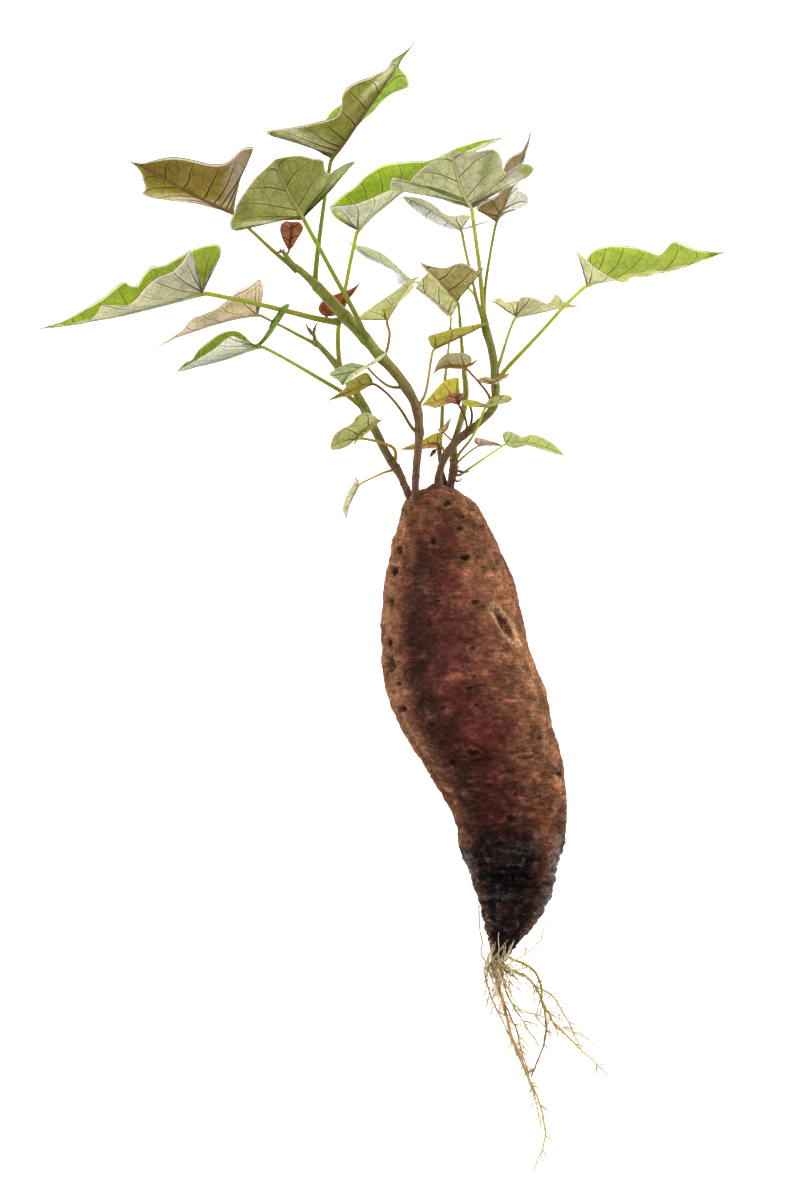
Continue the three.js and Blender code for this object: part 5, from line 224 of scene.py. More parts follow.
    "fa": [0.0,0.002,0.004,0.006,0.007,0.009,0.011,0.013,0.015,0.017,0.024,0.171,0.327,0.547,0.772,0.937,1.0], "fb": [0.0,0.005,0.008,0.017,0.046,0.092,0.148,0.213,0.29,0.376,0.466,0.555,0.646,0.768,0.885,0.968,1.0]},
  "leaf_two_lobed": {"stem": "shoot_back_right", "slot": "leaf_bright_green", "fold": True, "wave": 1.0, "bulge": [0.8,0.8], "stalkR": [0.65,0.5], "stalk": [[30.24,62.64,27.0],[31.7,65.34,29.0],[33.54,67.96,33.5],[35.8,70.56,38.5],[37.91,73.56,43.5],[40.0,77.65,47.0],[41.52,81.77,49.0],[42.85,85.09,50.0]],
    "mid": [[42.97,85.41,50.3],[47.16,87.18,49.83],[51.35,88.54,49.37],[54.83,88.97,49.0]],
    "a": [[42.97,85.41,50.3],[43.61,87.62,49.3],[46.78,89.99,47.3],[50.57,90.74,46.3],[53.46,90.17,48.3],[54.83,88.97,49.0]],
    "b": [[42.97,85.41,50.3],[40.02,85.38,51.3],[35.83,85.59,52.3],[33.74,86.68,52.3],[33.88,88.18,51.3],[37.52,88.38,51.3],[41.26,87.26,52.3],[44.59,85.89,53.3],[48.33,86.32,54.3],[52.54,87.26,52.3],[54.83,88.97,49.0]],
    "fa": [0.0,0.011,0.028,0.067,0.117,0.17,0.227,0.293,0.361,0.43,0.503,0.583,0.664,0.776,0.887,0.969,1.0], "fb": [0.0,0.002,0.004,0.006,0.007,0.009,0.011,0.013,0.015,0.017,0.019,0.07,0.211,0.475,0.749,0.935,1.0]},
  "leaf_low_pink": {"stem": "shoot_back_right", "slot": "leaf_bronze", "fold": True, "wave": 1.0, "bulge": [0.8,0.8], "stalkR": [0.5,0.38], "stalk": [[30.24,60.53,27.0],[31.92,63.04,28.0],[34.43,65.33,29.5],[37.37,67.73,31.0],[40.3,69.77,32.0]],
    "mid": [[40.47,69.94,32.0],[43.26,70.25,31.51],[46.64,70.26,30.92],[51.93,69.74,30.0]],
    "a": [[40.47,69.94,32.0],[38.76,71.27,31.0],[39.19,73.28,30.0],[41.61,73.06,29.0],[44.99,72.13,29.0],[48.34,70.99,30.5],[51.93,69.74,30.0]],
    "b": [[40.47,69.94,32.0],[42.8,69.51,34.0],[46.17,69.63,34.0],[49.13,69.53,33.0],[51.93,69.74,30.0]],
    "fa": [0.0,0.002,0.004,0.006,0.007,0.009,0.011,0.05,0.15,0.257,0.364,0.469,0.572,0.716,0.858,0.961,1.0], "fb": [0.0,0.009,0.015,0.03,0.069,0.13,0.199,0.272,0.348,0.424,0.504,0.586,0.67,0.783,0.892,0.97,1.0]},
  "leaf_low_olive": {"stem": "shoot_right", "slot": "leaf_olive", "fold": True, "wave": 1.0, "bulge": [0.8,0.8], "stalkR": [0.55,0.5], "stalk": [[26.98,65.34,37.0],[25.94,67.68,36.0],[25.11,69.18,35.0],[24.4,69.7,34.5]],
    "mid": [[24.27,69.83,34.3],[21.11,70.59,34.24],[17.54,69.63,34.18],[12.9,68.96,34.1],[7.43,68.12,34.0]],
    "a": [[24.27,69.83,34.3],[25.13,72.42,32.3],[25.01,74.95,30.8],[22.62,75.23,29.8],[20.09,74.19,29.3],[17.14,72.29,29.3],[13.34,70.83,30.3],[10.38,69.68,32.3],[7.43,68.12,34.0]],
    "b": [[24.27,69.83,34.3],[22.57,68.73,36.3],[18.36,68.38,36.8],[12.48,67.9,35.8],[7.43,68.12,34.0]],
    "fa": [0.0,0.002,0.004,0.006,0.007,0.009,0.011,0.035,0.105,0.218,0.341,0.452,0.561,0.71,0.856,0.96,1.0], "fb": [0.0,0.002,0.004,0.016,0.116,0.207,0.273,0.335,0.403,0.473,0.546,0.621,0.696,0.799,0.9,0.972,1.0]},
  "leaf_tiny_orange": {"stem": "shoot_right", "slot": "leaf_red", "fold": True, "wave": 1.0, "bulge": [0.8,0.8], "stalkR": [0.42,0.38], "stalk": [[30.97,70.78,38.0],[29.1,72.1,36.0],[27.43,73.62,34.5],[25.96,75.12,33.5]],
    "mid": [[25.79,75.29,33.3],[27.02,77.68,32.49],[29.19,82.15,31.0]],
    "a": [[25.79,75.29,33.3],[23.85,75.41,33.8],[23.34,77.2,34.3],[24.77,76.94,34.5],[26.5,79.22,34.3],[29.19,82.15,31.0]],
    "b": [[25.79,75.29,33.3],[27.24,76.25,32.3],[28.29,78.96,31.8],[29.19,82.15,31.0]],
    "fa": [0.0,0.002,0.004,0.006,0.007,0.009,0.011,0.013,0.076,0.172,0.28,0.398,0.519,0.684,0.843,0.957,1.0], "fb": [0.0,0.033,0.066,0.106,0.158,0.221,0.291,0.36,0.432,0.501,0.572,0.643,0.713,0.809,0.905,0.973,1.0]},
  "leaf_tiny_red": {"stem": "shoot_back_centre", "slot": "leaf_red", "fold": False, "wave": 1.0, "bulge": [0.8,0.8], "stalkR": [0.4,0.35], "stalk": [[24.23,67.4,22.8],[23.42,68.3,24.0],[22.86,68.61,25.0]],
    "mid": [[22.78,68.52,25.2],[21.59,67.34,25.13],[19.9,65.02,25.0]],
    "a": [[22.78,68.52,25.2],[21.38,68.33,26.0],[20.32,66.89,26.2],[19.9,65.02,25.0]],
    "b": [[22.78,68.52,25.2],[22.65,67.14,24.7],[21.39,65.75,24.4],[19.9,65.02,25.0]],
    "fa": [0.0,0.017,0.032,0.049,0.076,0.122,0.178,0.241,0.31,0.387,0.471,0.558,0.647,0.767,0.884,0.967,1.0], "fb": [0.0,0.02,0.037,0.058,0.09,0.143,0.213,0.288,0.365,0.442,0.52,0.6,0.681,0.79,0.895,0.97,1.0]},
}
BUDS = {
  "bud_front_left": {"r": [0.62,0.18], "strands": [[[-40.61,148.43,63.8],[-42.05,149.64,64.5],[-43.7,149.19,65.0],[-44.94,149.59,65.3]],[[-40.81,148.84,64.0],[-42.23,150.41,65.5],[-42.85,151.21,66.0]],[[-40.6,148.42,64.0],[-41.0,150.24,64.8],[-40.46,151.27,65.0]]]},
  "bud_left": {"r": [0.62,0.2], "strands": [[[-28.77,116.3,26.5],[-29.81,117.1,27.5],[-31.18,118.95,28.5],[-32.52,121.87,29.3]],[[-28.76,118.4,26.8],[-28.33,120.47,27.6],[-27.05,121.79,28.3]],[[-29.1,116.91,27.0],[-30.47,118.95,28.5],[-30.63,119.98,29.0]]]},
  "bud_low_right": {"r": [0.6,0.2], "strands": [[[30.15,59.25,27.5],[32.32,59.2,30.0],[34.83,58.62,31.2],[37.56,59.36,32.0]],[[30.03,56.31,27.0],[31.91,54.79,29.0],[33.78,56.64,31.0]],[[30.02,59.47,27.5],[31.69,60.26,29.5],[32.44,61.5,30.5]]]},
}
FIBRES = {
  "roots_long": [{"pts":[[46.83,-146.42,20.0],[46.88,-150.43,17.0],[48.45,-155.86,12.0],[50.46,-162.58,7.0],[52.23,-170.93,3.5],[54.6,-179.57,2.0],[57.39,-186.86,1.6],[60.38,-194.13,1.5],[63.37,-200.96,1.4],[66.14,-207.8,1.3],[68.07,-213.36,1.2],[69.14,-218.92,1.1],[69.35,-224.48,1.0],[68.29,-229.61,0.9],[66.37,-233.89,0.8],[64.24,-239.03,0.7]],"r":[1.05,0.36]},{"pts":[[45.17,-145.7,18.0],[43.52,-150.99,15.0],[44.02,-156.84,10.0],[45.79,-163.08,6.0],[48.4,-169.25,3.2],[51.4,-175.29,2.2],[54.4,-181.75,1.5],[57.18,-188.17,1.3],[59.96,-195.0,1.2],[62.95,-201.84,1.1],[65.3,-207.83,1.0],[66.37,-213.81,1.0],[67.65,-220.22,0.9]],"r":[0.6,0.35]},{"pts":[[48.51,-146.36,21.0],[48.15,-152.98,17.0],[48.68,-159.33,11.0],[50.67,-165.14,7.0],[53.5,-170.47,4.0],[56.09,-175.69,2.6],[57.81,-180.43,2.0],[58.88,-186.0,1.7],[60.38,-191.56,1.6],[62.51,-198.39,1.5]],"r":[0.6,0.35]}],
  "roots_right": [{"pts":[[49.76,-146.3,22.0],[52.34,-150.66,20.0],[55.77,-152.49,18.0],[60.52,-154.87,14.0],[64.44,-159.39,10.0],[67.51,-164.75,6.5],[70.57,-171.36,3.5],[74.02,-177.0,2.2],[79.15,-181.72,1.8],[84.28,-186.87,1.5],[89.84,-192.02,1.2],[96.25,-198.01,1.0]],"r":[0.75,0.35]},{"pts":[[52.22,-145.2,26.0],[55.6,-147.31,26.0],[59.0,-148.35,25.0],[62.45,-150.53,22.0],[65.3,-153.97,18.0],[67.13,-158.76,13.0],[67.67,-164.6,8.5],[68.82,-169.97,5.0],[69.73,-175.23,3.0],[69.75,-179.99,2.2],[68.48,-185.58,1.6],[67.21,-189.44,1.4],[65.51,-194.15,1.2],[63.59,-198.86,1.0]],"r":[0.7,0.4]},{"pts":[[65.3,-160.27,9.6],[69.62,-161.73,7.0],[73.1,-165.31,4.6],[76.13,-170.11,3.0],[79.14,-174.88,2.0],[81.29,-180.02,1.7],[84.49,-186.44,1.5]],"r":[0.5,0.35]}],
  "roots_fine": [{"pts":[[47.13,-145.56,27.0],[48.82,-149.78,27.0],[50.57,-153.78,24.0],[52.39,-160.61,17.0],[55.08,-167.05,10.0],[59.02,-173.38,5.0],[62.9,-179.5,3.0],[66.77,-185.55,2.0]],"r":[0.6,0.35]},{"pts":[[54.19,-165.22,11.8],[58.1,-169.09,8.3],[62.83,-171.39,6.0],[68.39,-172.93,5.3],[73.53,-175.98,4.4],[78.24,-180.3,3.6]],"r":[0.45,0.35]},{"pts":[[48.38,-145.07,28.0],[50.88,-149.58,30.0],[55.49,-147.41,31.0],[61.4,-143.41,31.0],[68.17,-137.35,30.0]],"r":[0.5,0.35]}],
  "roots_left_hair": [{"pts":[[46.12,-143.96,12.0],[44.44,-149.15,10.5],[42.52,-146.15,11.0],[42.07,-140.53,12.5],[41.33,-133.25,13.5],[40.56,-124.72,14.0]],"r":[0.4,0.35]}],
}
TIP = [48.91,-148.41,22]
EYES = [[27.35,45.74,1.764,1.5,0.7],[32.49,34.87,1.428,1.1,0.6],[34.16,39.89,0.672,0.7,0.8],[35.0,22.76,1.764,1.5,0.65],[7.0,25.68,1.26,1.0,1.2],[4.91,16.91,1.512,1.1,1.3],[38.76,3.95,1.512,0.9,0.6],[3.24,3.95,1.092,0.9,1.6],[3.24,-13.18,1.092,1.1,2.0],[3.87,-22.79,1.428,1.3,2.2],[6.59,-30.31,0.924,0.7,1.0],[37.51,-15.27,1.344,0.7,0.5],[8.67,-40.76,1.428,1.1,0.8],[36.25,-31.99,1.344,0.7,0.5],[39.18,-39.09,1.176,0.7,0.7],[21.21,29.86,1.26,0.5,1.0],[24.97,16.91,0.504,0.5,1.0],[66.17,-53.09,0.84,1.2,1.2],[37.51,-58.73,2.31,0.9,0.5],[29.15,-62.91,1.008,0.7,0.8],[55.48,-76.7,0.84,0.5,0.8],[70.52,-83.38,1.008,0.6,0.9],[65.92,-77.53,0.672,0.5,1.0],[54.22,-86.73,1.512,0.6,0.7],[75.11,-68.76,1.008,0.5,1.2],[43.36,28.61,0.672,0.4,0.6],[49.21,-37.0,0.756,0.4,0.6],[23.3,4.37,1.512,0.5,0.3],[13.69,11.47,1.68,0.5,0.3],[30.4,36.13,0.84,0.4,0.4]]
CRACKS = [[51.09,-5.58,7.35,1.9,0.27,-1.0,1.0],[57.15,-100.1,5.04,0.6,0.22,-0.2,0.15],[60.07,-60.82,4.2,0.6,0.26,0.1,0.25],[68.01,-72.52,4.2,0.3,0.12,0.0,0.0],[44.19,-72.94,4.2,0.3,0.12,0.1,0.0],[40.01,-56.22,3.36,0.7,0.3,-0.5,0.0]]
RIDGES = [[[[29.15,53.26],[34.58,49.08],[38.76,44.48],[42.52,38.22],[45.86,31.11],[48.79,24.84],[52.13,16.49],[54.64,8.97],[57.15,3.12]],0.55,0.9,0.4],[[[62.58,-32.82],[64.67,-39.09],[66.34,-43.69],[67.59,-48.28],[68.01,-53.71],[67.18,-58.73]],0.8,1.2,0.35],[[[59.65,-20.28],[62.16,-25.3],[63.83,-32.82]],0.5,1.4,0.3],[[[17.45,51.17],[12.44,46.99],[9.09,41.56],[7.0,34.04]],0.4,1.0,0.5],[[[1.99,-3.57],[2.82,-18.2],[5.75,-32.82],[10.76,-46.19],[17.45,-57.06]],0.5,1.2,0.5],[[[36.67,-113.89],[40.01,-117.23],[41.69,-122.66],[40.85,-129.77]],0.5,1.2,0.3]]
BANDS = [[-112.22,1.9319999999999997,2.2,40.01,62.58],[-115.98,0.63,1.0,42.52,65.09],[-108.45,0.63,0.8,39.18,57.56],[-122.66,0.924,0.35,42.52,57.56],[-131.44,0.924,0.3,45.03,61.74],[-137.7,0.84,0.3,44.19,53.39],[-118.07,0.672,0.3,50.04,69.26],[-103.02,1.008,0.35,36.67,57.56]]
PATCHES = [[69.68,-93.41,3.36,10.92,[150,78,38],0.85],[65.09,-88.4,4.2,4.2,[122,62,44],0.5],[52.55,-93.83,7.56,4.2,[52,38,44],0.7],[49.21,-100.93,9.24,5.88,[34,25,28],0.75],[60.91,-62.07,5.88,3.78,[166,112,86],0.5],[20.79,42.39,7.56,6.72,[150,108,80],0.35],[43.36,-51.62,10.92,12.6,[120,44,46],0.45],[15.78,-18.2,8.4,12.6,[70,34,34],0.45],[51.3,-148.99,5.88,3.36,[40,30,26],0.6]]
GLINTS = [[58.4,-100.1,8.4,2.94],[73.03,-104.69,3.78,14.28],[69.26,-122.66,3.78,6.72],[36.67,-107.2,2.94,5.88],[65.92,-94.66,5.04,3.36],[52.55,-119.74,8.4,1.68]]
WET_Y = -92.16
# skin tones; clay is the skin as painted under side light and rim light, shade is a painted shade band
SKIN_TONES = {"clay_lit":[146,100,70],"brown":[122,76,56],"plum":[106,54,48],"shade":[72,44,38],"black":[52,34,30]}
SKIN_GAIN = 0.95
LEAF_GAIN = 1.0
STEM_COLOURS = {"shoot_front_left":[[0.0,[95,62,45]],[0.35,[106,85,49]],[0.6,[125,127,54]],[1.0,[117,117,43]]],"shoot_left":[[0.0,[95,62,45]],[0.35,[106,85,49]],[0.6,[125,127,54]],[1.0,[117,117,43]]],"shoot_right":[[0.0,[95,62,45]],[0.35,[106,85,49]],[0.6,[125,127,54]],[1.0,[117,117,43]]],"shoot_back_right":[[0.0,[95,68,49]],[0.2,[110,91,49]],[0.45,[142,142,57]],[1.0,[154,154,60]]],"shoot_back_centre":[[0.0,[95,68,49]],[0.2,[110,91,49]],[0.45,[142,142,57]],[1.0,[154,154,60]]]}
BUD_COLOURS = {"bud_front_left":[[112,120,56],[120,92,58]],"bud_left":[[128,116,70],[128,86,70]],"bud_low_right":[[112,80,66],[150,110,98]]}
FIBRE_COLOURS = {"roots_long":[[[176,140,84],[214,190,132]],[[206,186,138],[222,204,158]],[[150,84,44],[196,150,84]]],"roots_right":[[[176,150,62],[206,184,100]],[[170,148,40],[140,92,44]],[[190,166,84],[216,196,124]]],"roots_fine":[[[120,84,48],[200,168,108]],[[206,180,120],[232,214,166]],[[196,176,110],[236,226,196]]],"roots_left_hair":[[[200,170,110],[236,222,190]]]}
FIBRE_THIN = 0.82
# per-leaf tones by half and face; the pale, near-white tones also carry painted sheen on top of the leaf's own pale
# colour
LEAF_LOOKS = {
  "leaf_top": {"ta":[141,153,31],"tb":[141,153,31],"ba":[146,133,85],"bb":[146,133,85],"vba":[161,119,104],"vbb":[161,119,104],"vta":[177,182,110],"vtb":[177,182,110],"tra":[165,166,80],"trb":[177,206,33],"s0":[112,124,48],"s1":[134,140,56],"edge_b":[[150,120,84],1.6,0.7],"edge_t":[[128,108,58],1.4,0.6]},
  "leaf_centre": {"ta":[96,112,46],"tb":[96,112,46],"ba":[170,156,125],"bb":[150,138,86],"vba":[209,196,156],"vbb":[194,182,150],"vta":[135,147,98],"vtb":[135,147,98],"tra":[192,197,119],"trb":[173,178,91],"s0":[124,130,54],"s1":[146,156,66],"edge_b":[[150,140,96],1.0,0.5],"glb":0.5},
  "leaf_upper_left": {"ta":[110,104,56],"tb":[110,104,56],"ba":[154,136,76],"bb":[161,139,64],"vba":[176,134,108],"vbb":[175,129,92],"vta":[146,141,105],"vtb":[146,141,105],"tra":[176,162,82],"trb":[181,176,65],"s0":[132,134,60],"s1":[150,140,76],"edge_b":[[120,76,66],2.2,0.75]},
  "leaf_red_upper": {"ta":[116,70,48],"tb":[116,70,48],"ba":[145,123,102],"bb":[157,129,81],"vba":[120,71,57],"vbb":[127,76,57],"vta":[150,116,99],"vtb":[150,116,99],"tra":[193,135,95],"trb":[193,129,75],"s0":[130,100,60],"s1":[128,80,58]},
  "leaf_left_large": {"ta":[138,148,25],"tb":[138,148,25],"ba":[195,182,214],"bb":[195,182,214],"vba":[226,226,226],"vbb":[226,226,226],"vta":[196,204,130],"vtb":[196,204,130],"tra":[211,211,151],"trb":[173,192,23],"s0":[134,136,58],"s1":[158,164,72],"edge_b":[[170,150,110],1.2,0.4],"edge_t":[[136,138,60],1.2,0.5]},
  "leaf_left_purple": {"ta":[209,184,201],"tb":[209,184,201],"ba":[210,192,205],"bb":[210,192,205],"vba":[226,202,198],"vbb":[226,202,198],"vta":[226,201,200],"vtb":[226,201,200],"tra":[226,217,174],"trb":[225,205,169],"s0":[134,142,64],"s1":[150,150,84],"edge_b":[[140,84,74],1.6,0.7],"edge_t":[[140,84,74],1.6,0.7]},
  "leaf_left_lower": {"ta":[143,151,71],"tb":[143,151,71],"ba":[226,226,226],"bb":[226,226,226],"vba":[226,226,226],"vbb":[226,226,226],"vta":[204,208,150],"vtb":[204,208,150],"tra":[226,226,209],"trb":[169,189,60],"s0":[128,130,58],"s1":[160,168,84]},
  "leaf_centre_green": {"ta":[143,154,23],"tb":[143,154,23],"ba":[226,223,226],"bb":[226,223,226],"vba":[226,226,226],"vbb":[226,226,226],"vta":[196,208,120],"vtb":[196,208,120],"tra":[226,226,191],"trb":[177,197,19],"s0":[136,138,60],"s1":[164,172,80],"edge_t":[[140,146,60],1.2,0.4]},
  "leaf_right_pale": {"ta":[126,146,60],"tb":[126,146,60],"ba":[194,181,190],"bb":[192,171,204],"vba":[226,217,198],"vbb":[226,206,198],"vta":[158,173,108],"vtb":[158,173,108],"tra":[217,220,159],"trb":[205,208,114],"s0":[140,144,62],"s1":[172,176,92],"glb":0.5},
  "leaf_right_bronze": {"ta":[120,116,60],"tb":[120,116,60],"ba":[154,138,107],"bb":[226,220,226],"vba":[178,148,130],"vbb":[226,226,226],"vta":[153,150,108],"vtb":[153,150,108],"tra":[176,158,102],"trb":[226,226,207],"s0":[112,132,44],"s1":[140,150,70],"edge_b":[[116,80,64],1.8,0.7]},
  "leaf_back_right": {"ta":[226,226,226],"tb":[226,226,226],"ba":[225,219,210],"bb":[225,219,210],"vba":[226,226,222],"vbb":[226,226,222],"vta":[226,226,226],"vtb":[226,226,226],"tra":[226,226,193],"trb":[226,226,226],"s0":[136,126,66],"s1":[164,160,100]},
  "leaf_mid_olive": {"ta":[124,122,58],"tb":[124,122,58],"ba":[226,226,226],"bb":[194,182,136],"vba":[198,139,108],"vbb":[190,139,105],"vta":[156,155,107],"vtb":[156,155,107],"tra":[226,226,163],"trb":[199,193,120],"s0":[160,160,78],"s1":[164,166,84],"edge_b":[[128,88,66],1.8,0.7]},
  "leaf_mid_back": {"ta":[226,226,226],"tb":[226,226,226],"ba":[210,198,184],"bb":[210,198,184],"vba":[226,222,198],"vbb":[226,222,198],"vta":[226,226,226],"vtb":[226,226,226],"tra":[226,226,181],"trb":[226,226,226],"s0":[176,176,88],"s1":[180,180,96],"edge_b":[[150,110,80],1.2,0.5]},
  "leaf_right_small": {"ta":[195,191,155],"tb":[195,191,155],"ba":[205,188,199],"bb":[205,188,199],"vba":[226,226,222],"vbb":[226,226,222],"vta":[226,226,198],"vtb":[226,226,198],"tra":[219,221,167],"trb":[226,226,175],"s0":[150,150,70],"s1":[166,168,90]},
  "leaf_far_right": {"ta":[153,160,71],"tb":[153,160,71],"ba":[226,226,226],"bb":[226,226,226],"vba":[226,226,226],"vbb":[226,226,226],"vta":[196,210,138],"vtb":[196,210,138],"tra":[226,226,163],"trb":[184,197,64],"s0":[140,140,62],"s1":[170,178,86],"edge_t":[[140,150,60],1.2,0.4]},
  "leaf_right_lower": {"ta":[191,192,154],"tb":[191,192,154],"ba":[203,199,142],"bb":[203,199,142],"vba":[226,225,183],"vbb":[226,225,183],"vta":[225,220,173],"vtb":[225,220,173],"tra":[207,219,111],"trb":[219,224,157],"s0":[124,104,70],"s1":[170,178,92]},
  "leaf_mid_narrow": {"ta":[187,201,95],"tb":[187,201,95],"ba":[188,174,110],"bb":[188,174,110],"vba":[155,111,78],"vbb":[155,111,78],"vta":[154,115,78],"vtb":[154,115,78],"tra":[208,202,100],"trb":[207,226,84],"s0":[132,116,80],"s1":[150,138,90],"edge_b":[[124,84,62],1.2,0.6],"edge_t":[[124,84,62],1.2,0.6]},
  "leaf_mid_yellow": {"ta":[161,121,44],"tb":[161,121,44],"ba":[226,226,218],"bb":[226,226,218],"vba":[198,154,95],"vbb":[198,154,95],"vta":[160,124,76],"vtb":[160,124,76],"tra":[226,226,205],"trb":[175,129,39],"s0":[108,80,62],"s1":[128,96,66],"edge_b":[[150,110,70],1.0,0.5]},
  "leaf_yellow_low": {"ta":[206,176,116],"tb":[206,176,116],"ba":[209,176,44],"bb":[209,176,44],"vba":[179,132,70],"vbb":[179,132,70],"vta":[164,120,76],"vtb":[164,120,76],"tra":[226,226,28],"trb":[226,199,116],"s0":[98,70,60],"s1":[118,82,62]},
  "leaf_purple_low": {"ta":[120,76,56],"tb":[120,76,56],"ba":[191,154,130],"bb":[172,141,97],"vba":[144,88,69],"vbb":[207,184,160],"vta":[153,120,105],"vtb":[153,120,105],"tra":[213,157,122],"trb":[187,138,94],"s0":[98,68,58],"s1":[118,76,58]},
  "leaf_left_mid": {"ta":[226,225,176],"tb":[226,225,176],"ba":[143,153,44],"bb":[143,153,44],"vba":[196,188,140],"vbb":[196,188,140],"vta":[226,226,149],"vtb":[226,226,149],"tra":[152,181,34],"trb":[226,226,184],"s0":[104,82,60],"s1":[130,118,64]},
  "leaf_left_dark": {"ta":[167,150,43],"tb":[167,150,43],"ba":[196,175,159],"bb":[196,175,159],"vba":[195,165,120],"vbb":[195,165,120],"vta":[181,152,80],"vtb":[181,152,80],"tra":[201,197,135],"trb":[208,194,50],"s0":[112,84,62],"s1":[118,96,58],"edge_t":[[96,60,48],1.4,0.8]},
  "leaf_left_curled": {"ta":[120,128,60],"tb":[120,128,60],"ba":[192,181,151],"bb":[192,183,118],"vba":[226,223,173],"vbb":[226,226,161],"vta":[153,159,108],"vtb":[153,159,108],"tra":[215,216,151],"trb":[226,226,134],"s0":[134,110,66],"s1":[146,134,74],"edge_b":[[140,110,70],0.9,0.5]},
  "leaf_low_left": {"ta":[226,226,226],"tb":[226,226,226],"ba":[215,200,210],"bb":[215,200,210],"vba":[226,216,185],"vbb":[226,216,185],"vta":[226,226,223],"vtb":[226,226,223],"tra":[226,223,179],"trb":[226,226,226],"s0":[140,118,72],"s1":[160,142,88],"edge_b":[[140,110,66],0.9,0.6]},
  "leaf_red_mid": {"ta":[145,100,51],"tb":[145,100,51],"ba":[126,93,49],"bb":[126,93,49],"vba":[115,57,39],"vbb":[115,57,39],"vta":[126,68,43],"vtb":[126,68,43],"tra":[187,114,53],"trb":[187,114,53],"s0":[120,110,52],"s1":[128,84,50],"edge_t":[[104,54,40],1.6,0.7]},
  "leaf_centre_fold": {"ta":[226,226,180],"tb":[226,226,180],"ba":[181,167,61],"bb":[181,167,61],"vba":[210,198,170],"vbb":[210,198,170],"vta":[226,226,161],"vtb":[226,226,161],"tra":[202,203,49],"trb":[226,226,163],"s0":[120,88,64],"s1":[140,116,74],"edge_b":[[146,100,74],1.6,0.6]},
  "leaf_back_pale": {"ta":[226,226,226],"tb":[226,226,226],"ba":[194,193,164],"bb":[194,193,164],"vba":[220,224,202],"vbb":[220,224,202],"vta":[226,226,210],"vtb":[226,226,210],"tra":[204,212,131],"trb":[226,226,226],"s0":[160,164,84],"s1":[180,186,110]},
  "leaf_node_bud": {"ta":[226,207,172],"tb":[226,207,172],"ba":[220,193,151],"bb":[220,193,151],"vba":[176,137,105],"vbb":[176,137,105],"vta":[220,194,160],"vtb":[220,194,160],"tra":[220,193,122],"trb":[226,226,201],"s0":[112,84,66],"s1":[128,100,70]},
  "leaf_two_lobed": {"ta":[184,175,143],"tb":[184,175,143],"ba":[199,198,37],"bb":[199,198,37],"vba":[226,226,170],"vbb":[226,226,170],"vta":[226,216,185],"vtb":[226,216,185],"tra":[223,226,34],"trb":[214,217,153],"s0":[120,104,62],"s1":[150,150,72]},
  "leaf_low_pink": {"ta":[226,226,226],"tb":[226,226,226],"ba":[194,149,82],"bb":[194,149,82],"vba":[163,116,86],"vbb":[163,116,86],"vta":[226,216,181],"vtb":[226,216,181],"tra":[214,167,74],"trb":[226,226,226],"s0":[118,90,66],"s1":[150,120,84]},
  "leaf_low_olive": {"ta":[184,146,126],"tb":[184,146,126],"ba":[187,155,69],"bb":[187,155,69],"vba":[148,100,60],"vbb":[148,100,60],"vta":[176,138,95],"vtb":[176,138,95],"tra":[221,226,69],"trb":[209,174,145],"s0":[110,84,62],"s1":[126,112,60],"edge_b":[[104,66,54],1.2,0.8]},
  "leaf_tiny_orange": {"ta":[226,226,180],"tb":[226,226,180],"ba":[198,166,146],"bb":[198,166,146],"vba":[163,106,76],"vbb":[163,106,76],"vta":[226,198,162],"vtb":[226,198,162],"tra":[225,176,140],"trb":[226,226,184],"s0":[120,96,64],"s1":[150,110,74]},
  "leaf_tiny_red": {"ta":[130,80,60],"tb":[130,80,60],"ba":[162,110,74],"bb":[225,205,112],"vba":[199,171,142],"vbb":[226,182,166],"vta":[161,123,108],"vtb":[161,123,108],"tra":[196,117,69],"trb":[226,205,97],"s0":[120,90,64],"s1":[130,84,64]},
}
# patches on single leaves: x, y, radii, turn, colour, amount; the pale, near-white ones are painted highlights and
# sheen, the green and olive ones the leaf's own tone
LEAF_TONES_AND_HIGHLIGHTS = {"leaf_top":[[-35.89,197.6,12.6,2.94,-22,[214,208,188],0.85],[-25.07,195.1,4.2,5.04,20,[190,190,150],0.6],[-0.91,221.34,14.28,1.43,46,[216,214,186],0.8],[6.58,216.34,6.72,3.78,50,[176,190,92],0.6]],"leaf_upper_left":[[-60.05,181.36,4.62,14.28,-18,[200,184,172],0.85],[-80.04,170.95,18.48,2.1,-9,[226,214,200],0.8],[-92.53,183.02,10.92,5.88,0,[126,104,40],0.4]],"leaf_centre":[[-20.07,180.52,10.92,2.94,46,[196,200,156],0.8],[-57.13,166.37,4.2,5.04,10,[132,132,26],0.45],[-26.73,188.02,3.36,5.88,10,[120,146,44],0.5],[-50.05,160.54,10.92,1.09,4,[236,236,222],0.8]],"leaf_left_lower":[[-43.39,122.64,3.78,10.92,-28,[158,182,100],0.8]],"leaf_right_pale":[[60.72,183.86,4.62,2.52,0,[164,172,40],0.9],[43.65,185.52,2.52,10.08,-14,[148,158,40],0.6],[51.14,177.19,9.24,2.52,14,[226,224,208],0.7],[9.5,177.61,6.72,1.68,-30,[226,226,208],0.7]]}
CAM_DIST = 2360.0
CAM_SPAN = 504.0
CAM_XY = [6.167,4.787]
FLOOR_GLOW = 0.9
WORLD = [0.7,0.15]
LIGHTS = [["key_right",[0.9,0.6,1.2],[0.55,0.55],10.0],["side_left",[-1.5,0.0,0.7],[0.5,1.6],22.0],["side_right",[1.5,-0.1,0.7],[0.5,1.6],22.0],["back_top",[-0.3,1.5,0.62],[0.9,0.4],26.0]]

# ---------------------------------------------------------------- helpers
MM = 0.001
def srgb(c):
    c = np.asarray(c, float) / 255.0
    return np.where(c <= 0.04045, c / 12.92, ((c + 0.055) / 1.055) ** 2.4)

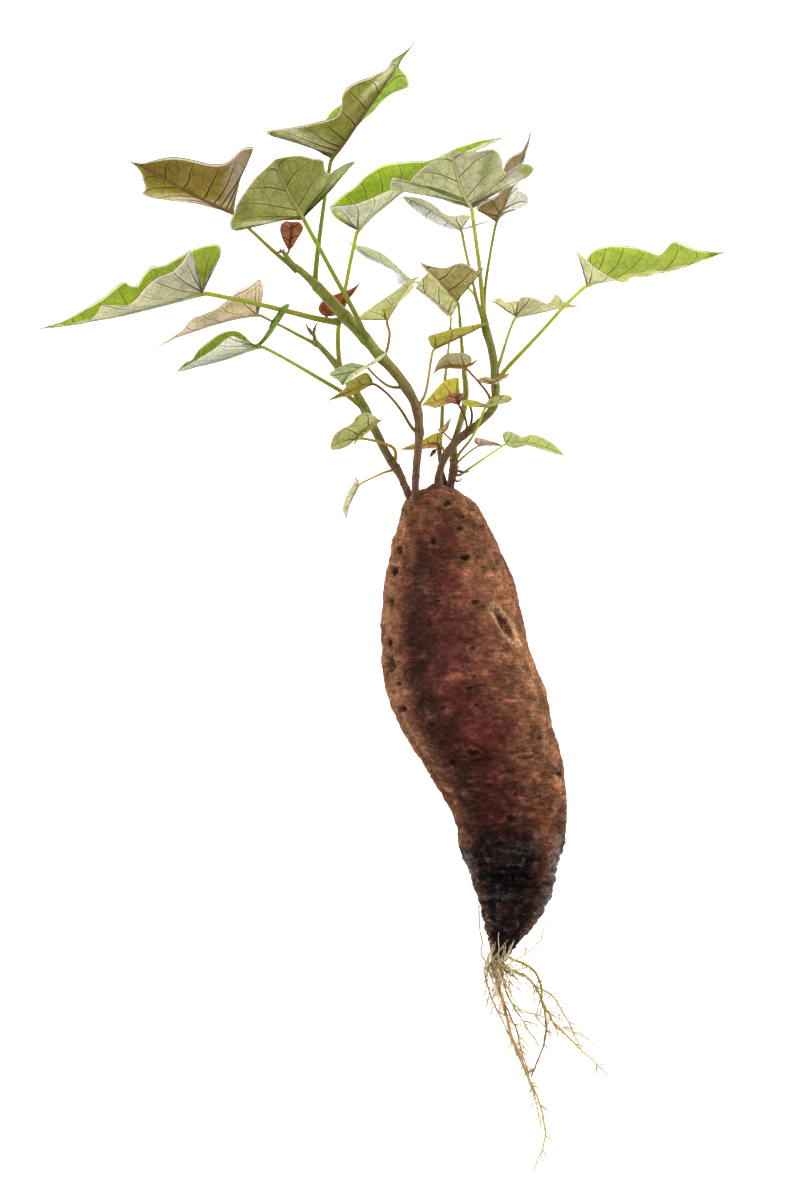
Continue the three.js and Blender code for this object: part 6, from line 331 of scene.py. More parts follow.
def lattice(i, j, k, s):
    h = (i.astype(np.int64) * 73856093) ^ (j.astype(np.int64) * 19349663) ^ (k.astype(np.int64) * 83492791) ^ (s * 2654435761)
    h = h & 0xFFFFFFFF
    h = ((h ^ (h >> 13)) * 1274126177) & 0xFFFFFFFF
    h = h ^ (h >> 16)
    return (h & 0xFFFFFF) / float(0xFFFFFF) * 2 - 1

def vnoise(P, s=0):
    P = np.asarray(P, float)
    I = np.floor(P).astype(np.int64); F = P - I
    F = F * F * F * (F * (F * 6 - 15) + 10)
    r = 0
    for a in (0, 1):
        for b in (0, 1):
            for c in (0, 1):
                w = (F[:, 0] if a else 1 - F[:, 0]) * (F[:, 1] if b else 1 - F[:, 1]) * (F[:, 2] if c else 1 - F[:, 2])
                r = r + w * lattice(I[:, 0] + a, I[:, 1] + b, I[:, 2] + c, s)
    return r

def fbm(P, octaves=4, s=0, gain=0.5):
    r, a, t = 0, 1.0, 0.0
    P = np.asarray(P, float)
    for o in range(octaves):
        r = r + a * vnoise(P * (2.03 ** o) + 17.3 * o, s + o); t += a; a *= gain
    return r / t

def smooth(a, b, x):
    t = np.clip((x - a) / (b - a), 0, 1)
    return t * t * (3 - 2 * t)

def spline(P, n, u=None):
    """Centripetal Catmull-Rom through P, n points evenly spaced along it (or at fractions u)."""
    P = np.array(P, float)
    Q = np.vstack([2 * P[0] - P[1], P, 2 * P[-1] - P[-2]])
    pts = []
    T = np.linspace(0, 1, 24, endpoint=False)[:, None]
    for i in range(1, len(Q) - 2):
        p0, p1, p2, p3 = Q[i - 1], Q[i], Q[i + 1], Q[i + 2]
        d1 = max(np.linalg.norm(p1 - p0), 1e-6) ** 0.5
        d2 = max(np.linalg.norm(p2 - p1), 1e-6) ** 0.5
        d3 = max(np.linalg.norm(p3 - p2), 1e-6) ** 0.5
        m1 = ((p1 - p0) / d1 - (p2 - p0) / (d1 + d2) + (p2 - p1) / d2) * d2
        m2 = ((p2 - p1) / d2 - (p3 - p1) / (d2 + d3) + (p3 - p2) / d3) * d2
        pts.append((2 * T**3 - 3 * T**2 + 1) * p1 + (T**3 - 2 * T**2 + T) * m1 + (-2 * T**3 + 3 * T**2) * p2 + (T**3 - T**2) * m2)
    pts = np.vstack(pts + [P[-1:]])
    s = np.r_[0, np.cumsum(np.linalg.norm(np.diff(pts, axis=0), axis=1))]
    if u is None:
        u = np.linspace(0, 1, n)
    return np.stack([np.interp(u * s[-1], s, pts[:, k]) for k in range(3)], 1), s[-1]

def make(name, V, quads, tris, attrs, mat, node=None, slot=None, smooth_shade=True):
    me = bpy.data.meshes.new(name)
    V = np.asarray(V, float) * MM
    quads = np.asarray(quads, np.int32).reshape(-1, 4); tris = np.asarray(tris, np.int32).reshape(-1, 3)
    me.vertices.add(len(V)); me.vertices.foreach_set("co", V.astype(np.float32).ravel())
    nl = len(quads) * 4 + len(tris) * 3
    me.loops.add(nl)
    me.loops.foreach_set("vertex_index", np.concatenate([quads.ravel(), tris.ravel()]).astype(np.int32))
    me.polygons.add(len(quads) + len(tris))
    starts = np.concatenate([np.arange(len(quads)) * 4, len(quads) * 4 + np.arange(len(tris)) * 3]).astype(np.int32)
    me.polygons.foreach_set("loop_start", starts)
    me.update(calc_edges=True)
    me.validate()
    for k, a in attrs.items():
        a = np.asarray(a, np.float32)
        if a.ndim == 1:
            at = me.attributes.new(k, "FLOAT", "POINT"); at.data.foreach_set("value", a)
        else:
            at = me.attributes.new(k, "FLOAT_COLOR", "POINT")
            at.data.foreach_set("color", np.hstack([a, np.ones((len(a), 1), np.float32)]).ravel())
    me.polygons.foreach_set("use_smooth", np.ones(len(me.polygons), bool))
    ob = bpy.data.objects.new(name, me)
    bpy.context.scene.collection.objects.link(ob)
    me.materials.append(mat)
    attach(ob, "root")
    if node:
        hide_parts(*([node] if isinstance(node, str) else node))
    return ob

def outward(V, quads, tris):
    """Turn all faces over when the enclosed volume is negative."""
    V = np.asarray(V)
    q = np.asarray(quads, np.int64).reshape(-1, 4); t = np.asarray(tris, np.int64).reshape(-1, 3)
    T = np.vstack([q[:, [0, 1, 2]], q[:, [0, 2, 3]], t])
    vol = np.einsum("ij,ij->i", V[T[:, 0]], np.cross(V[T[:, 1]], V[T[:, 2]])).sum()
    if vol < 0:
        q, t = q[:, ::-1], t[:, ::-1]
    return q, t

def tube(C, R, sides, relief=None, start=None, end=None):
    """Closed tube round the centre line C with radii R; relief(theta, i) multiplies the radius."""
    C = np.asarray(C, float); n = len(C)
    T = np.gradient(C, axis=0); T /= np.linalg.norm(T, axis=1)[:, None] + 1e-12
    N = np.zeros_like(C); v = np.array([0.0, 0, 1.0])
    if abs(T[0] @ v) > 0.95: v = np.array([1.0, 0, 0])
    for i in range(n):
        v = v - T[i] * (T[i] @ v); v /= np.linalg.norm(v) + 1e-12; N[i] = v
    B = np.cross(T, N)
    th = np.linspace(0, 2 * np.pi, sides, endpoint=False)
    rr = np.repeat(np.asarray(R, float)[:, None], sides, 1)
    if relief is not None:
        rr = rr * relief(th[None, :], np.arange(n)[:, None])
    P = C[:, None, :] + rr[..., None] * (np.cos(th)[None, :, None] * N[:, None, :] + np.sin(th)[None, :, None] * B[:, None, :])
    V = P.reshape(-1, 3)
    i, k = np.meshgrid(np.arange(n - 1), np.arange(sides), indexing="ij")
    a = i * sides + k; b = i * sides + (k + 1) % sides
    quads = np.stack([a, b, b + sides, a + sides], -1).reshape(-1, 4)
    s0 = C[0] - T[0] * R[0] * 0.5 if start is None else np.asarray(start)
    s1 = C[-1] + T[-1] * R[-1] * 0.8 if end is None else np.asarray(end)
    V = np.vstack([V, s0, s1])
    k = np.arange(sides); m = n * sides
    tris = np.vstack([np.stack([np.full(sides, m), (k + 1) % sides, k], 1), np.stack([np.full(sides, m + 1), (n - 1) * sides + k, (n - 1) * sides + (k + 1) % sides], 1)])
    q, t = outward(V, quads, tris)
    ring = np.concatenate([np.repeat(np.arange(n), sides), [0, n - 1]])
    ang = np.concatenate([np.tile(th, n), [0, 0]])
    return V, q, t, ring, ang

class Bag:
    """Shells gathered into one mesh."""
    def __init__(self): self.V, self.Q, self.T, self.A, self.n = [], [], [], {}, 0
    def put(self, V, quads_, tris_, **attrs):
        V = np.asarray(V); self.V.append(V); self.Q.append(np.asarray(quads_).reshape(-1, 4) + self.n); self.T.append(np.asarray(tris_).reshape(-1, 3) + self.n)
        for k, a in attrs.items():
            a = np.asarray(a, float)
            if a.shape in ((), (3,)): a = np.tile(a, (len(V), 1)) if a.shape == (3,) else np.full(len(V), float(a))
            self.A.setdefault(k, []).append(a)
        self.n += len(V)
    def done(self, name, mat, **kw):
        return make(name, np.vstack(self.V), np.vstack(self.Q), np.vstack(self.T), {k: np.concatenate(a) for k, a in self.A.items()}, mat, **kw)

# ---------------------------------------------------------------- materials
class Nodes:
    def __init__(self, name):
        self.m = bpy.data.materials.new(name); self.m.use_nodes = True
        self.t = self.m.node_tree; self.t.nodes.clear()
        self.out = self.t.nodes.new("ShaderNodeOutputMaterial")
    def n(self, kind, **kw):
        x = self.t.nodes.new(kind)
        for k, v in kw.items(): setattr(x, k, v)
        return x
    def link(self, a, b): self.t.links.new(a, b)
    def val(self, sock, v):
        if hasattr(v, "is_output") or isinstance(v, bpy.types.NodeSocket): self.link(v, sock)
        else: sock.default_value = v
    def attr(self, name, colour=False):
        a = self.n("ShaderNodeAttribute"); a.attribute_type = "GEOMETRY"; a.attribute_name = name
        return a.outputs["Color" if colour else "Fac"]
    def math(self, op, a, b=None, c=None, clamp=False):
        x = self.n("ShaderNodeMath", operation=op); x.use_clamp = clamp
        self.val(x.inputs[0], a)
        if b is not None: self.val(x.inputs[1], b)
        if c is not None: self.val(x.inputs[2], c)
        return x.outputs[0]
    def ramp(self, x, lo, hi, a=0.0, b=1.0, kind="SMOOTHSTEP"):
        r = self.n("ShaderNodeMapRange", interpolation_type=kind)
        self.val(r.inputs["Value"], x); self.val(r.inputs["From Min"], lo); self.val(r.inputs["From Max"], hi)
        self.val(r.inputs["To Min"], a); self.val(r.inputs["To Max"], b)
        return r.outputs[0]
    def mix(self, f, a, b, blend="MIX"):
        x = self.n("ShaderNodeMix", data_type="RGBA", blend_type=blend)
        self.val(x.inputs[0], f)
        for s, v in ((x.inputs[6], a), (x.inputs[7], b)):
            if isinstance(v, bpy.types.NodeSocket): self.link(v, s)
            else: s.default_value = tuple(v) + (1.0,) if len(v) == 3 else v
        return x.outputs[2]
    def coords(self, scale=(1, 1, 1), rot=(0, 0, 0)):
        c = self.n("ShaderNodeTexCoord"); m = self.n("ShaderNodeMapping")
        m.inputs["Scale"].default_value = scale; m.inputs["Rotation"].default_value = rot
        self.link(c.outputs["Object"], m.inputs["Vector"])
        return m.outputs[0]
    def noise(self, vec, scale, detail=4.0, rough=0.55, dist=0.0):
        x = self.n("ShaderNodeTexNoise"); self.link(vec, x.inputs["Vector"])
        x.inputs["Scale"].default_value = scale; x.inputs["Detail"].default_value = detail
        x.inputs["Roughness"].default_value = rough; x.inputs["Distortion"].default_value = dist
        return x.outputs["Fac"]
    def voronoi(self, vec, scale, feature="DISTANCE_TO_EDGE", rand=1.0):
        x = self.n("ShaderNodeTexVoronoi", feature=feature); self.link(vec, x.inputs["Vector"])
        x.inputs["Scale"].default_value = scale; x.inputs["Randomness"].default_value = rand
        return x.outputs["Distance"]
    def bump(self, h, dist, strength=1.0, prev=None):
        b = self.n("ShaderNodeBump"); self.val(b.inputs["Height"], h)
        b.inputs["Distance"].default_value = dist; b.inputs["Strength"].default_value = strength
        if prev is not None: self.link(prev, b.inputs["Normal"])
        return b.outputs[0]
    def principled(self, colour, rough, normal=None, spec=0.5, coat=0.0, coat_rough=0.2, sheen=0.0):
        p = self.n("ShaderNodeBsdfPrincipled")
        self.val(p.inputs["Base Color"], colour); self.val(p.inputs["Roughness"], rough)
        p.inputs["Specular IOR Level"].default_value = spec
        p.inputs["Coat Weight"].default_value = coat; p.inputs["Coat Roughness"].default_value = coat_rough
        p.inputs["Sheen Weight"].default_value = sheen
        if normal is not None: self.link(normal, p.inputs["Normal"])
        return p.outputs[0]

def leaf_material():
    N = Nodes("leaf_blade")
    lam, ven, trn = N.attr("lam", True), N.attr("ven", True), N.attr("trn", True)
    q, vv, dm, sp, wm, gl = N.attr("q"), N.attr("vv"), N.attr("dm"), N.attr("sp"), N.attr("wm"), N.attr("gl")
    # midrib: distance in mm against its half width in mm
    mid = N.ramp(N.math("SUBTRACT", dm, wm), -0.12, 0.22, 1.0, 0.0)
    # side veins run where q is whole; width falls towards the margin
    frac = N.math("ABSOLUTE", N.math("SUBTRACT", N.math("FRACT", N.math("ADD", q, 0.5)), 0.5))
    dist = N.math("MULTIPLY", frac, sp)
    wid = N.ramp(vv, 0.0, 1.0, 0.36, 0.10, "LINEAR")
    sec = N.ramp(N.math("SUBTRACT", dist, wid), -0.10, 0.24, 1.0, 0.0)
    on = N.math("GREATER_THAN", wm, 0.001)
    sec = N.math("MULTIPLY", sec, on)
    mid = N.math("MULTIPLY", mid, on)
    vec = N.coords()
    warp = N.n("ShaderNodeVectorMath", operation="ADD")
    wn = N.n("ShaderNodeTexNoise"); N.link(vec, wn.inputs["Vector"]); wn.inputs["Scale"].default_value = 260
    sc = N.n("ShaderNodeVectorMath", operation="SCALE"); N.link(wn.outputs["Color"], sc.inputs[0]); sc.inputs["Scale"].default_value = 0.0016
    N.link(vec, warp.inputs[0]); N.link(sc.outputs[0], warp.inputs[1])
    net1 = N.voronoi(warp.outputs[0], 215); net2 = N.voronoi(warp.outputs[0], 560)
    ter = N.ramp(net1, 0.012, 0.075, 1.0, 0.0); fine = N.ramp(net2, 0.03, 0.17, 1.0, 0.0)
    ter = N.math("MULTIPLY", ter, on); fine = N.math("MULTIPLY", fine, on)
    big = N.math("MAXIMUM", mid, sec)
    blotch = N.noise(vec, 120, 4, 0.6)
    shade = N.ramp(blotch, 0.3, 0.7, 0.86, 1.12, "LINEAR")
    vs = N.n("ShaderNodeVectorMath", operation="SCALE"); N.link(lam, vs.inputs[0]); N.val(vs.inputs["Scale"], shade)
    # thin dark side veins, partly their own colour and partly painted shade, with paler flanks that are painted
    # highlight; the midrib is pale with a dark outline of painted shade
    out_s = N.math("SUBTRACT", N.ramp(N.math("SUBTRACT", dist, wid), 0.15, 0.95, 1.0, 0.0), sec, clamp=True)
    flank_highlight = N.math("MULTIPLY", N.math("MULTIPLY", out_s, on), N.ramp(gl, 0.2, 0.6, 0.75, 0.25, "LINEAR"))
    midrib_outline_shade = N.math("SUBTRACT", N.ramp(N.math("SUBTRACT", dm, wm), 0.30, 0.75, 1.0, 0.0), mid, clamp=True)
    midrib_outline_shade = N.math("MULTIPLY", midrib_outline_shade, on)
    brown = N.mix(N.ramp(gl, 0.2, 0.6, 0.0, 1.0, "LINEAR"), (0.28, 0.19, 0.15), (0.36, 0.42, 0.20))
    lit = N.mix(1.0, vs.outputs[0], (1.55, 1.52, 1.65), "MULTIPLY")
    c = N.mix(flank_highlight, vs.outputs[0], lit)
    dark = N.mix(1.0, c, brown, "MULTIPLY")
    sec2 = N.math("SUBTRACT", sec, mid, clamp=True)
    line = N.math("MAXIMUM", N.math("MULTIPLY", sec2, 0.92), N.math("MULTIPLY", midrib_outline_shade, 0.62))
    line = N.math("MAXIMUM", line, N.math("MAXIMUM", N.math("MULTIPLY", ter, N.ramp(gl, 0.2, 0.6, 0.44, 0.46, "LINEAR")), N.math("MULTIPLY", fine, 0.20)))
    line = N.math("MULTIPLY", line, N.math("SUBTRACT", 1.0, mid))
    c = N.mix(line, c, dark)
    c = N.mix(N.math("MULTIPLY", mid, 0.85), c, ven)
    ed = N.attr("ed")
    # a dark line right at the margin, and just inside it a pale band that is painted highlight along the lit edge
    e_out = N.math("MULTIPLY", N.math("MULTIPLY", N.ramp(ed, 0.22, 0.48, 1.0, 0.0), on), 0.62)
    e_in_highlight = N.math("MULTIPLY", N.math("MULTIPLY", N.ramp(ed, 0.34, 0.56, 0.0, 1.0), N.ramp(ed, 0.80, 1.35, 1.0, 0.0)), on)
    c = N.mix(N.math("MULTIPLY", e_in_highlight, 0.80), c, (0.88, 0.87, 0.80))
    c = N.mix(e_out, c, (0.22, 0.12, 0.05))
    h = N.math("ADD", N.math("MULTIPLY", net1, 0.8), N.math("MULTIPLY", net2, 0.25))
    h = N.math("ADD", h, N.math("MULTIPLY", N.math("MULTIPLY", big, 0.40), N.ramp(gl, 0.0, 1.0, 1.0, -1.0, "LINEAR")))
    nrm = N.bump(h, 0.0012, 0.8)
    nrm = N.bump(N.noise(vec, 1500, 3, 0.6), 0.00022, 0.5, nrm)
    ro = N.ramp(gl, 0.0, 1.0, 0.62, 0.30, "LINEAR")
    p = N.principled(c, ro, nrm, 0.35)
    tr = N.n("ShaderNodeBsdfTranslucent")
    # the translucent colour gets the same painted highlight flanks and painted shade lines
    trl = N.mix(1.0, trn, (1.40, 1.38, 1.48), "MULTIPLY")
    tcf = N.mix(flank_highlight, trn, trl)
    dkt = N.mix(1.0, tcf, brown, "MULTIPLY")
    tc = N.mix(line, tcf, dkt)
    tc = N.mix(N.math("MULTIPLY", mid, 0.7), tc, N.mix(0.5, trn, ven))
    tc = N.mix(N.math("MULTIPLY", e_in_highlight, 0.75), tc, (0.86, 0.86, 0.76))
    tc = N.mix(e_out, tc, (0.24, 0.13, 0.05))
    N.link(tc, tr.inputs["Color"]); N.link(nrm, tr.inputs["Normal"])
    ms = N.n("ShaderNodeMixShader"); ms.inputs[0].default_value = TRANSLUCENCY
    N.link(p, ms.inputs[1]); N.link(tr.outputs[0], ms.inputs[2]); N.link(ms.outputs[0], N.out.inputs[0])
    return N.m

def stem_material(name, trans=0.18):
    N = Nodes(name)
    lam, gl = N.attr("lam", True), N.attr("gl")
    vec = N.coords()
    streak = N.noise(N.coords((900, 130, 900)), 1.0, 4, 0.6)
    spots = N.voronoi(N.coords((1100, 600, 1100)), 1.0, "F1")
    sh = N.math("MULTIPLY", N.ramp(streak, 0.3, 0.7, 0.78, 1.18, "LINEAR"), N.ramp(N.noise(vec, 260, 3), 0.3, 0.7, 0.85, 1.12, "LINEAR"))
    vs = N.n("ShaderNodeVectorMath", operation="SCALE"); N.link(lam, vs.inputs[0]); N.val(vs.inputs["Scale"], sh)
    dot = N.ramp(spots, 0.10, 0.26, 1.0, 0.0)
    c = N.mix(N.math("MULTIPLY", dot, 0.28), vs.outputs[0], (0.55, 0.47, 0.33))
    nrm = N.bump(N.math("ADD", streak, N.math("MULTIPLY", dot, 0.3)), 0.0005, 0.6)
    ro = N.ramp(gl, 0.0, 1.0, 0.6, 0.34, "LINEAR")
    p = N.principled(c, ro, nrm, 0.18)
    tr = N.n("ShaderNodeBsdfTranslucent"); N.link(c, tr.inputs["Color"])
    ms = N.n("ShaderNodeMixShader"); ms.inputs[0].default_value = trans
    N.link(p, ms.inputs[1]); N.link(tr.outputs[0], ms.inputs[2]); N.link(ms.outputs[0], N.out.inputs[0])
    return N.m

def skin_material():
    N = Nodes("root_skin")
    tint, wet, gold_fibre_and_rim_light = N.attr("tint", True), N.attr("wet"), N.attr("gold_fibre_and_rim_light")
    vec = N.coords(); wr = N.coords((240, 760, 240)); fib = N.coords((420, 900, 420), (0, 0, 0.25))
    wrink = N.noise(wr, 1.0, 5, 0.62, 0.4)
    fine = N.noise(vec, 1300, 5, 0.7)
    mott = N.noise(vec, 240, 6, 0.68, 0.3)
    mott2 = N.noise(vec, 620, 5, 0.7)
    fibre = N.noise(fib, 1.0, 5, 0.68, 0.6)
    s = N.math("MULTIPLY", N.ramp(mott, 0.39, 0.61, 0.74, 1.26, "LINEAR"), N.ramp(mott2, 0.38, 0.62, 0.74, 1.26, "LINEAR"))
    s = N.math("MULTIPLY", s, N.ramp(wrink, 0.38, 0.58, 0.62, 1.20, "LINEAR"))
    vs = N.n("ShaderNodeVectorMath", operation="SCALE"); N.link(tint, vs.inputs[0]); N.val(vs.inputs["Scale"], s)
    # golden fibre streaks: the fibres' own colour, stronger near the edges where they also paint rim light
    g = N.math("MULTIPLY", N.ramp(fibre, 0.52, 0.64), gold_fibre_and_rim_light)
    c = N.mix(N.math("MULTIPLY", g, 0.40), vs.outputs[0], tuple(srgb((184, 124, 84))))
    dk = N.math("MULTIPLY", N.ramp(N.voronoi(vec, 330, "F1"), 0.0, 0.16, 1.0, 0.0), N.ramp(mott2, 0.45, 0.6))
    c = N.mix(N.math("MULTIPLY", dk, 0.8), c, tuple(srgb((30, 18, 16))))
    fl1 = N.noise(N.coords((1250, 1900, 1250), (0, 0, 0.35)), 1.0, 3, 0.65); fl2 = N.noise(vec, 1150, 3, 0.65)
    lift = N.n("ShaderNodeVectorMath", operation="SCALE"); N.link(c, lift.inputs[0]); lift.inputs["Scale"].default_value = 1.75
    c = N.mix(N.math("MULTIPLY", N.ramp(fl1, 0.56, 0.66), 0.62), c, lift.outputs[0])
    sink = N.n("ShaderNodeVectorMath", operation="SCALE"); N.link(c, sink.inputs[0]); sink.inputs["Scale"].default_value = 0.42
    c = N.mix(N.math("MULTIPLY", N.ramp(fl2, 0.36, 0.45, 1.0, 0.0), 0.75), c, sink.outputs[0])
    red = N.math("MULTIPLY", N.ramp(N.noise(vec, 75, 4, 0.6), 0.5, 0.66), 0.30)
    c = N.mix(red, c, N.mix(0.5, c, tuple(srgb((134, 52, 54)))))
    h = N.math("ADD", N.math("MULTIPLY", wrink, 0.8), N.math("MULTIPLY", mott2, 0.55))
    h = N.math("ADD", h, N.math("MULTIPLY", fibre, 0.35))
    h = N.math("ADD", h, N.math("MULTIPLY", N.math("ADD", fl1, fl2), 0.30))
    nrm = N.bump(h, 0.0042, 1.0)
    nrm = N.bump(fine, 0.0012, 1.0, nrm)
    more = N.math("SUBTRACT", wet, 1.0, clamp=True)
    wn = N.math("MULTIPLY", wet, N.ramp(N.noise(vec, 420, 4, 0.62), 0.535, 0.61), clamp=True)
    wn = N.math("MAXIMUM", wn, N.math("MULTIPLY", more, N.ramp(N.noise(vec, 700, 3, 0.6), 0.40, 0.54)))
    dry = N.principled(c, 0.85, nrm, 0.06)
    wetp = N.principled(c, 0.14, nrm, 0.5)
    ms = N.n("ShaderNodeMixShader"); N.link(wn, ms.inputs[0]); N.link(dry, ms.inputs[1]); N.link(wetp, ms.inputs[2]); N.link(ms.outputs[0], N.out.inputs[0])
    return N.m

def fibre_material():
    N = Nodes("fibrous_root")
    lam = N.attr("lam", True); vec = N.coords()
    s = N.ramp(N.noise(vec, 700, 4, 0.6), 0.3, 0.7, 0.75, 1.2, "LINEAR")
    vs = N.n("ShaderNodeVectorMath", operation="SCALE"); N.link(lam, vs.inputs[0]); N.val(vs.inputs["Scale"], s)
    nrm = N.bump(N.noise(vec, 1600, 4, 0.6), 0.0003, 0.6)
    p = N.principled(vs.outputs[0], 0.55, nrm, 0.4)
    tr = N.n("ShaderNodeBsdfTranslucent"); N.link(vs.outputs[0], tr.inputs["Color"])
    ms = N.n("ShaderNodeMixShader"); ms.inputs[0].default_value = 0.3
    N.link(p, ms.inputs[1]); N.link(tr.outputs[0], ms.inputs[2]); N.link(ms.outputs[0], N.out.inputs[0])
    return N.m

TRANSLUCENCY = 0.66
LEAF = leaf_material(); STEM = stem_material("shoot_skin"); SKIN = skin_material(); FIBRE = fibre_material()

# ---------------------------------------------------------------- swollen root
def build_tuber():
    T = np.array(TUBER, float)
    NR, NA = 430, 300
    # extra half rows close both ends roundly
    y0, y1 = T[0, 1], T[-1, 1]
    top = T[0].copy(); top[1] += 1.3; top[3] *= 0.55; top[4] *= 0.55
    bot = T[-1].copy(); bot[1] -= 0.9; bot[3] *= 0.5; bot[4] *= 0.5
    S = np.vstack([top, T, bot])
    s = np.r_[0, np.cumsum(np.hypot(np.diff(S[:, 1]), np.diff(S[:, 3])))]; s /= s[-1]
    u = np.linspace(0, 1, NR)
    def cub(v):
        m = np.gradient(v, s); i = np.clip(np.searchsorted(s, u, side="right") - 1, 0, len(s) - 2)
        h = s[i + 1] - s[i]; t = (u - s[i]) / h
        return (2*t**3-3*t**2+1)*v[i] + (t**3-2*t**2+t)*h*m[i] + (-2*t**3+3*t**2)*v[i+1] + (t**3-t**2)*h*m[i+1]
    cx, cy, cz, hw, hz = [cub(S[:, k]) for k in range(5)]
    hw = np.maximum(hw, 0.6); hz = np.maximum(hz, 0.6)
    a = np.linspace(0, 2 * np.pi, NA, endpoint=False)
    X = cx[:, None] + hw[:, None] * np.sin(a); Z = cz[:, None] - hz[:, None] * np.cos(a); Y = np.repeat(cy[:, None], NA, 1)
    nx = np.sin(a)[None] * hz[:, None]; nz = -np.cos(a)[None] * hw[:, None]
    L = np.hypot(nx, nz); nx, nz = nx / L, nz / L
    slope = np.gradient(hw, cy)
    ny = -np.repeat(slope[:, None], NA, 1) * 0.7
    Nn = np.stack([nx, ny, nz], -1); Nn /= np.linalg.norm(Nn, axis=-1, keepdims=True)
    P = np.stack([X, Y, Z], -1).reshape(-1, 3); Nn = Nn.reshape(-1, 3)
    x, y, z = P.T
    yr = (y - y1) / (y0 - y1)                       # 0 tip, 1 crown
    hwv = np.repeat(hw, NA)
    d = 0.9 * fbm(P / 30.0, 3, 11) + 0.60 * fbm(P / 9.0, 3, 12); d_big = d.copy()
    # rings of shallow folds round the root, strongest on the lower part and near the crown
    warp = fbm(P / 22.0, 3, 13) * 3.2
    Q = np.stack([x / 13.0, (y + warp) / 3.8, z / 13.0], 1)
    fold = 1 - np.abs(fbm(Q, 3, 14)) * 2.2
    lowmask = smooth(0.62, 0.30, yr) * 0.75 + smooth(0.86, 0.98, yr) * 0.4 + 0.22
    d -= 0.90 * np.clip(fold, 0, 1) ** 3 * lowmask
    Q2 = np.stack([x / 4.2, (y + warp) / 1.3, z / 4.2], 1)
    d += 0.44 * fbm(Q2, 3, 15) * (0.45 + 0.42 * lowmask)
    d += 0.20 * fbm(P / 1.7, 3, 16) + 0.42 * fbm(P / 4.2, 3, 17) + 0.55 * (0.5 - np.abs(fbm(P / 13.0, 3, 18)) * 2.0)
    d_fine = d - d_big                               # fine relief, used below to paint shade into the hollows and light onto the ridges
    # dark darkens the hollows along their depth: in the eye pits it is painted shade, in the crack, scars, sunken band
    # and creases it is partly the skin's own dark colour and partly painted shade
    dark = np.zeros(len(P)); tanm = np.zeros(len(P)); pale = np.zeros(len(P))
    up = smooth(-0.15, 0.25, Nn[:, 2])               # the side that lies upward
    NZ = fbm(P / 1.9, 3, 81); NZ2 = fbm(P / 0.9, 2, 82)
    def pit(px, py, r, depth, asp=1.0, rot=0.0, nz=1.0, mask=up):
        c, s_ = math.cos(rot), math.sin(rot)
        ax = (x - px) * c + (y - py) * s_; ay = -(x - px) * s_ + (y - py) * c
        e = np.sqrt((ax / r) ** 2 + (ay / (r * asp)) ** 2)
        e = e * (1 + 0.38 * nz * NZ) + 0.18 * nz * NZ2
        return e, np.exp(-(e ** 2) * 1.3) * mask
    for px, py, r, dep, asp in EYES:
        r = r * 1.12; dep = dep * 1.2
        e, g = pit(px, py, r, dep, asp, 0.0, 1.5)
        d -= dep * g; d += dep * 0.16 * np.exp(-((e - 1.55) ** 2) * 4) * up
        # the pit is darkened with its depth: painted shade
        dark = np.maximum(dark, np.clip(g * 1.7 - 0.08, 0, 1) * min(1, 0.70 + dep * 0.40))
        tanm = np.maximum(tanm, 0.16 * np.exp(-((e - 1.5) ** 2) * 5) * up)
    # long healed crack with a corky rim
    for px, py, r, dep, asp, rot, rim in CRACKS:
        e, g = pit(px, py, r, dep, asp, rot, 0.35)
        k = 0.5 + 0.5 * vnoise(np.stack([x * 1.3, y * 1.3, z * 1.3], 1), 31)
        d -= dep * g * (0.4 + 0.9 * k); d += 0.55 * rim * np.exp(-((e - 1.35) ** 2) * 7) * up
        dark = np.maximum(dark, np.clip(g * 2.0 - 0.3, 0, 1) * (0.45 + 0.55 * (k < 0.55)))
        tanm = np.maximum(tanm, 1.25 * rim * np.exp(-((e - 1.3) ** 2) * 9) * up)
    # raised cord-like ridges
    for line, h, w, tn in RIDGES:
        C, _ = spline([(p[0], p[1], 0) for p in line], 60)
        dd = np.full(len(P), 1e9); 
        for c in C: dd = np.minimum(dd, np.hypot(x - c[0], y - c[1]))
        g = np.exp(-(dd / w) ** 2) * up
        g = g * (0.6 + 0.4 * vnoise(P / 2.5, 41))
        d += h * g; tanm = np.maximum(tanm, tn * g)
    # root scars all over, a little more on the flanks
    r2 = np.random.default_rng(5)
    for i in range(90):
        yy = r2.uniform(y1 + 12, y0 - 6); aa = r2.uniform(0, 2 * np.pi)
        j = int(np.argmin(np.abs(cy - yy)))
        px, pz = cx[j] + hw[j] * math.sin(aa), cz[j] - hz[j] * math.cos(aa)
        r = r2.uniform(0.5, 1.3)
        near = (np.abs(y - yy) < 6)
        q = np.where(near)[0]
        e2 = ((x[q] - px) / (r * 1.5)) ** 2 + ((y[q] - yy) / r) ** 2 + ((z[q] - pz) / (r * 1.5)) ** 2
        g = np.exp(-e2)
        d[q] -= 0.55 * r * g; dark[q] = np.maximum(dark[q], 0.55 * np.clip(g * 1.2 - 0.1, 0, 1))
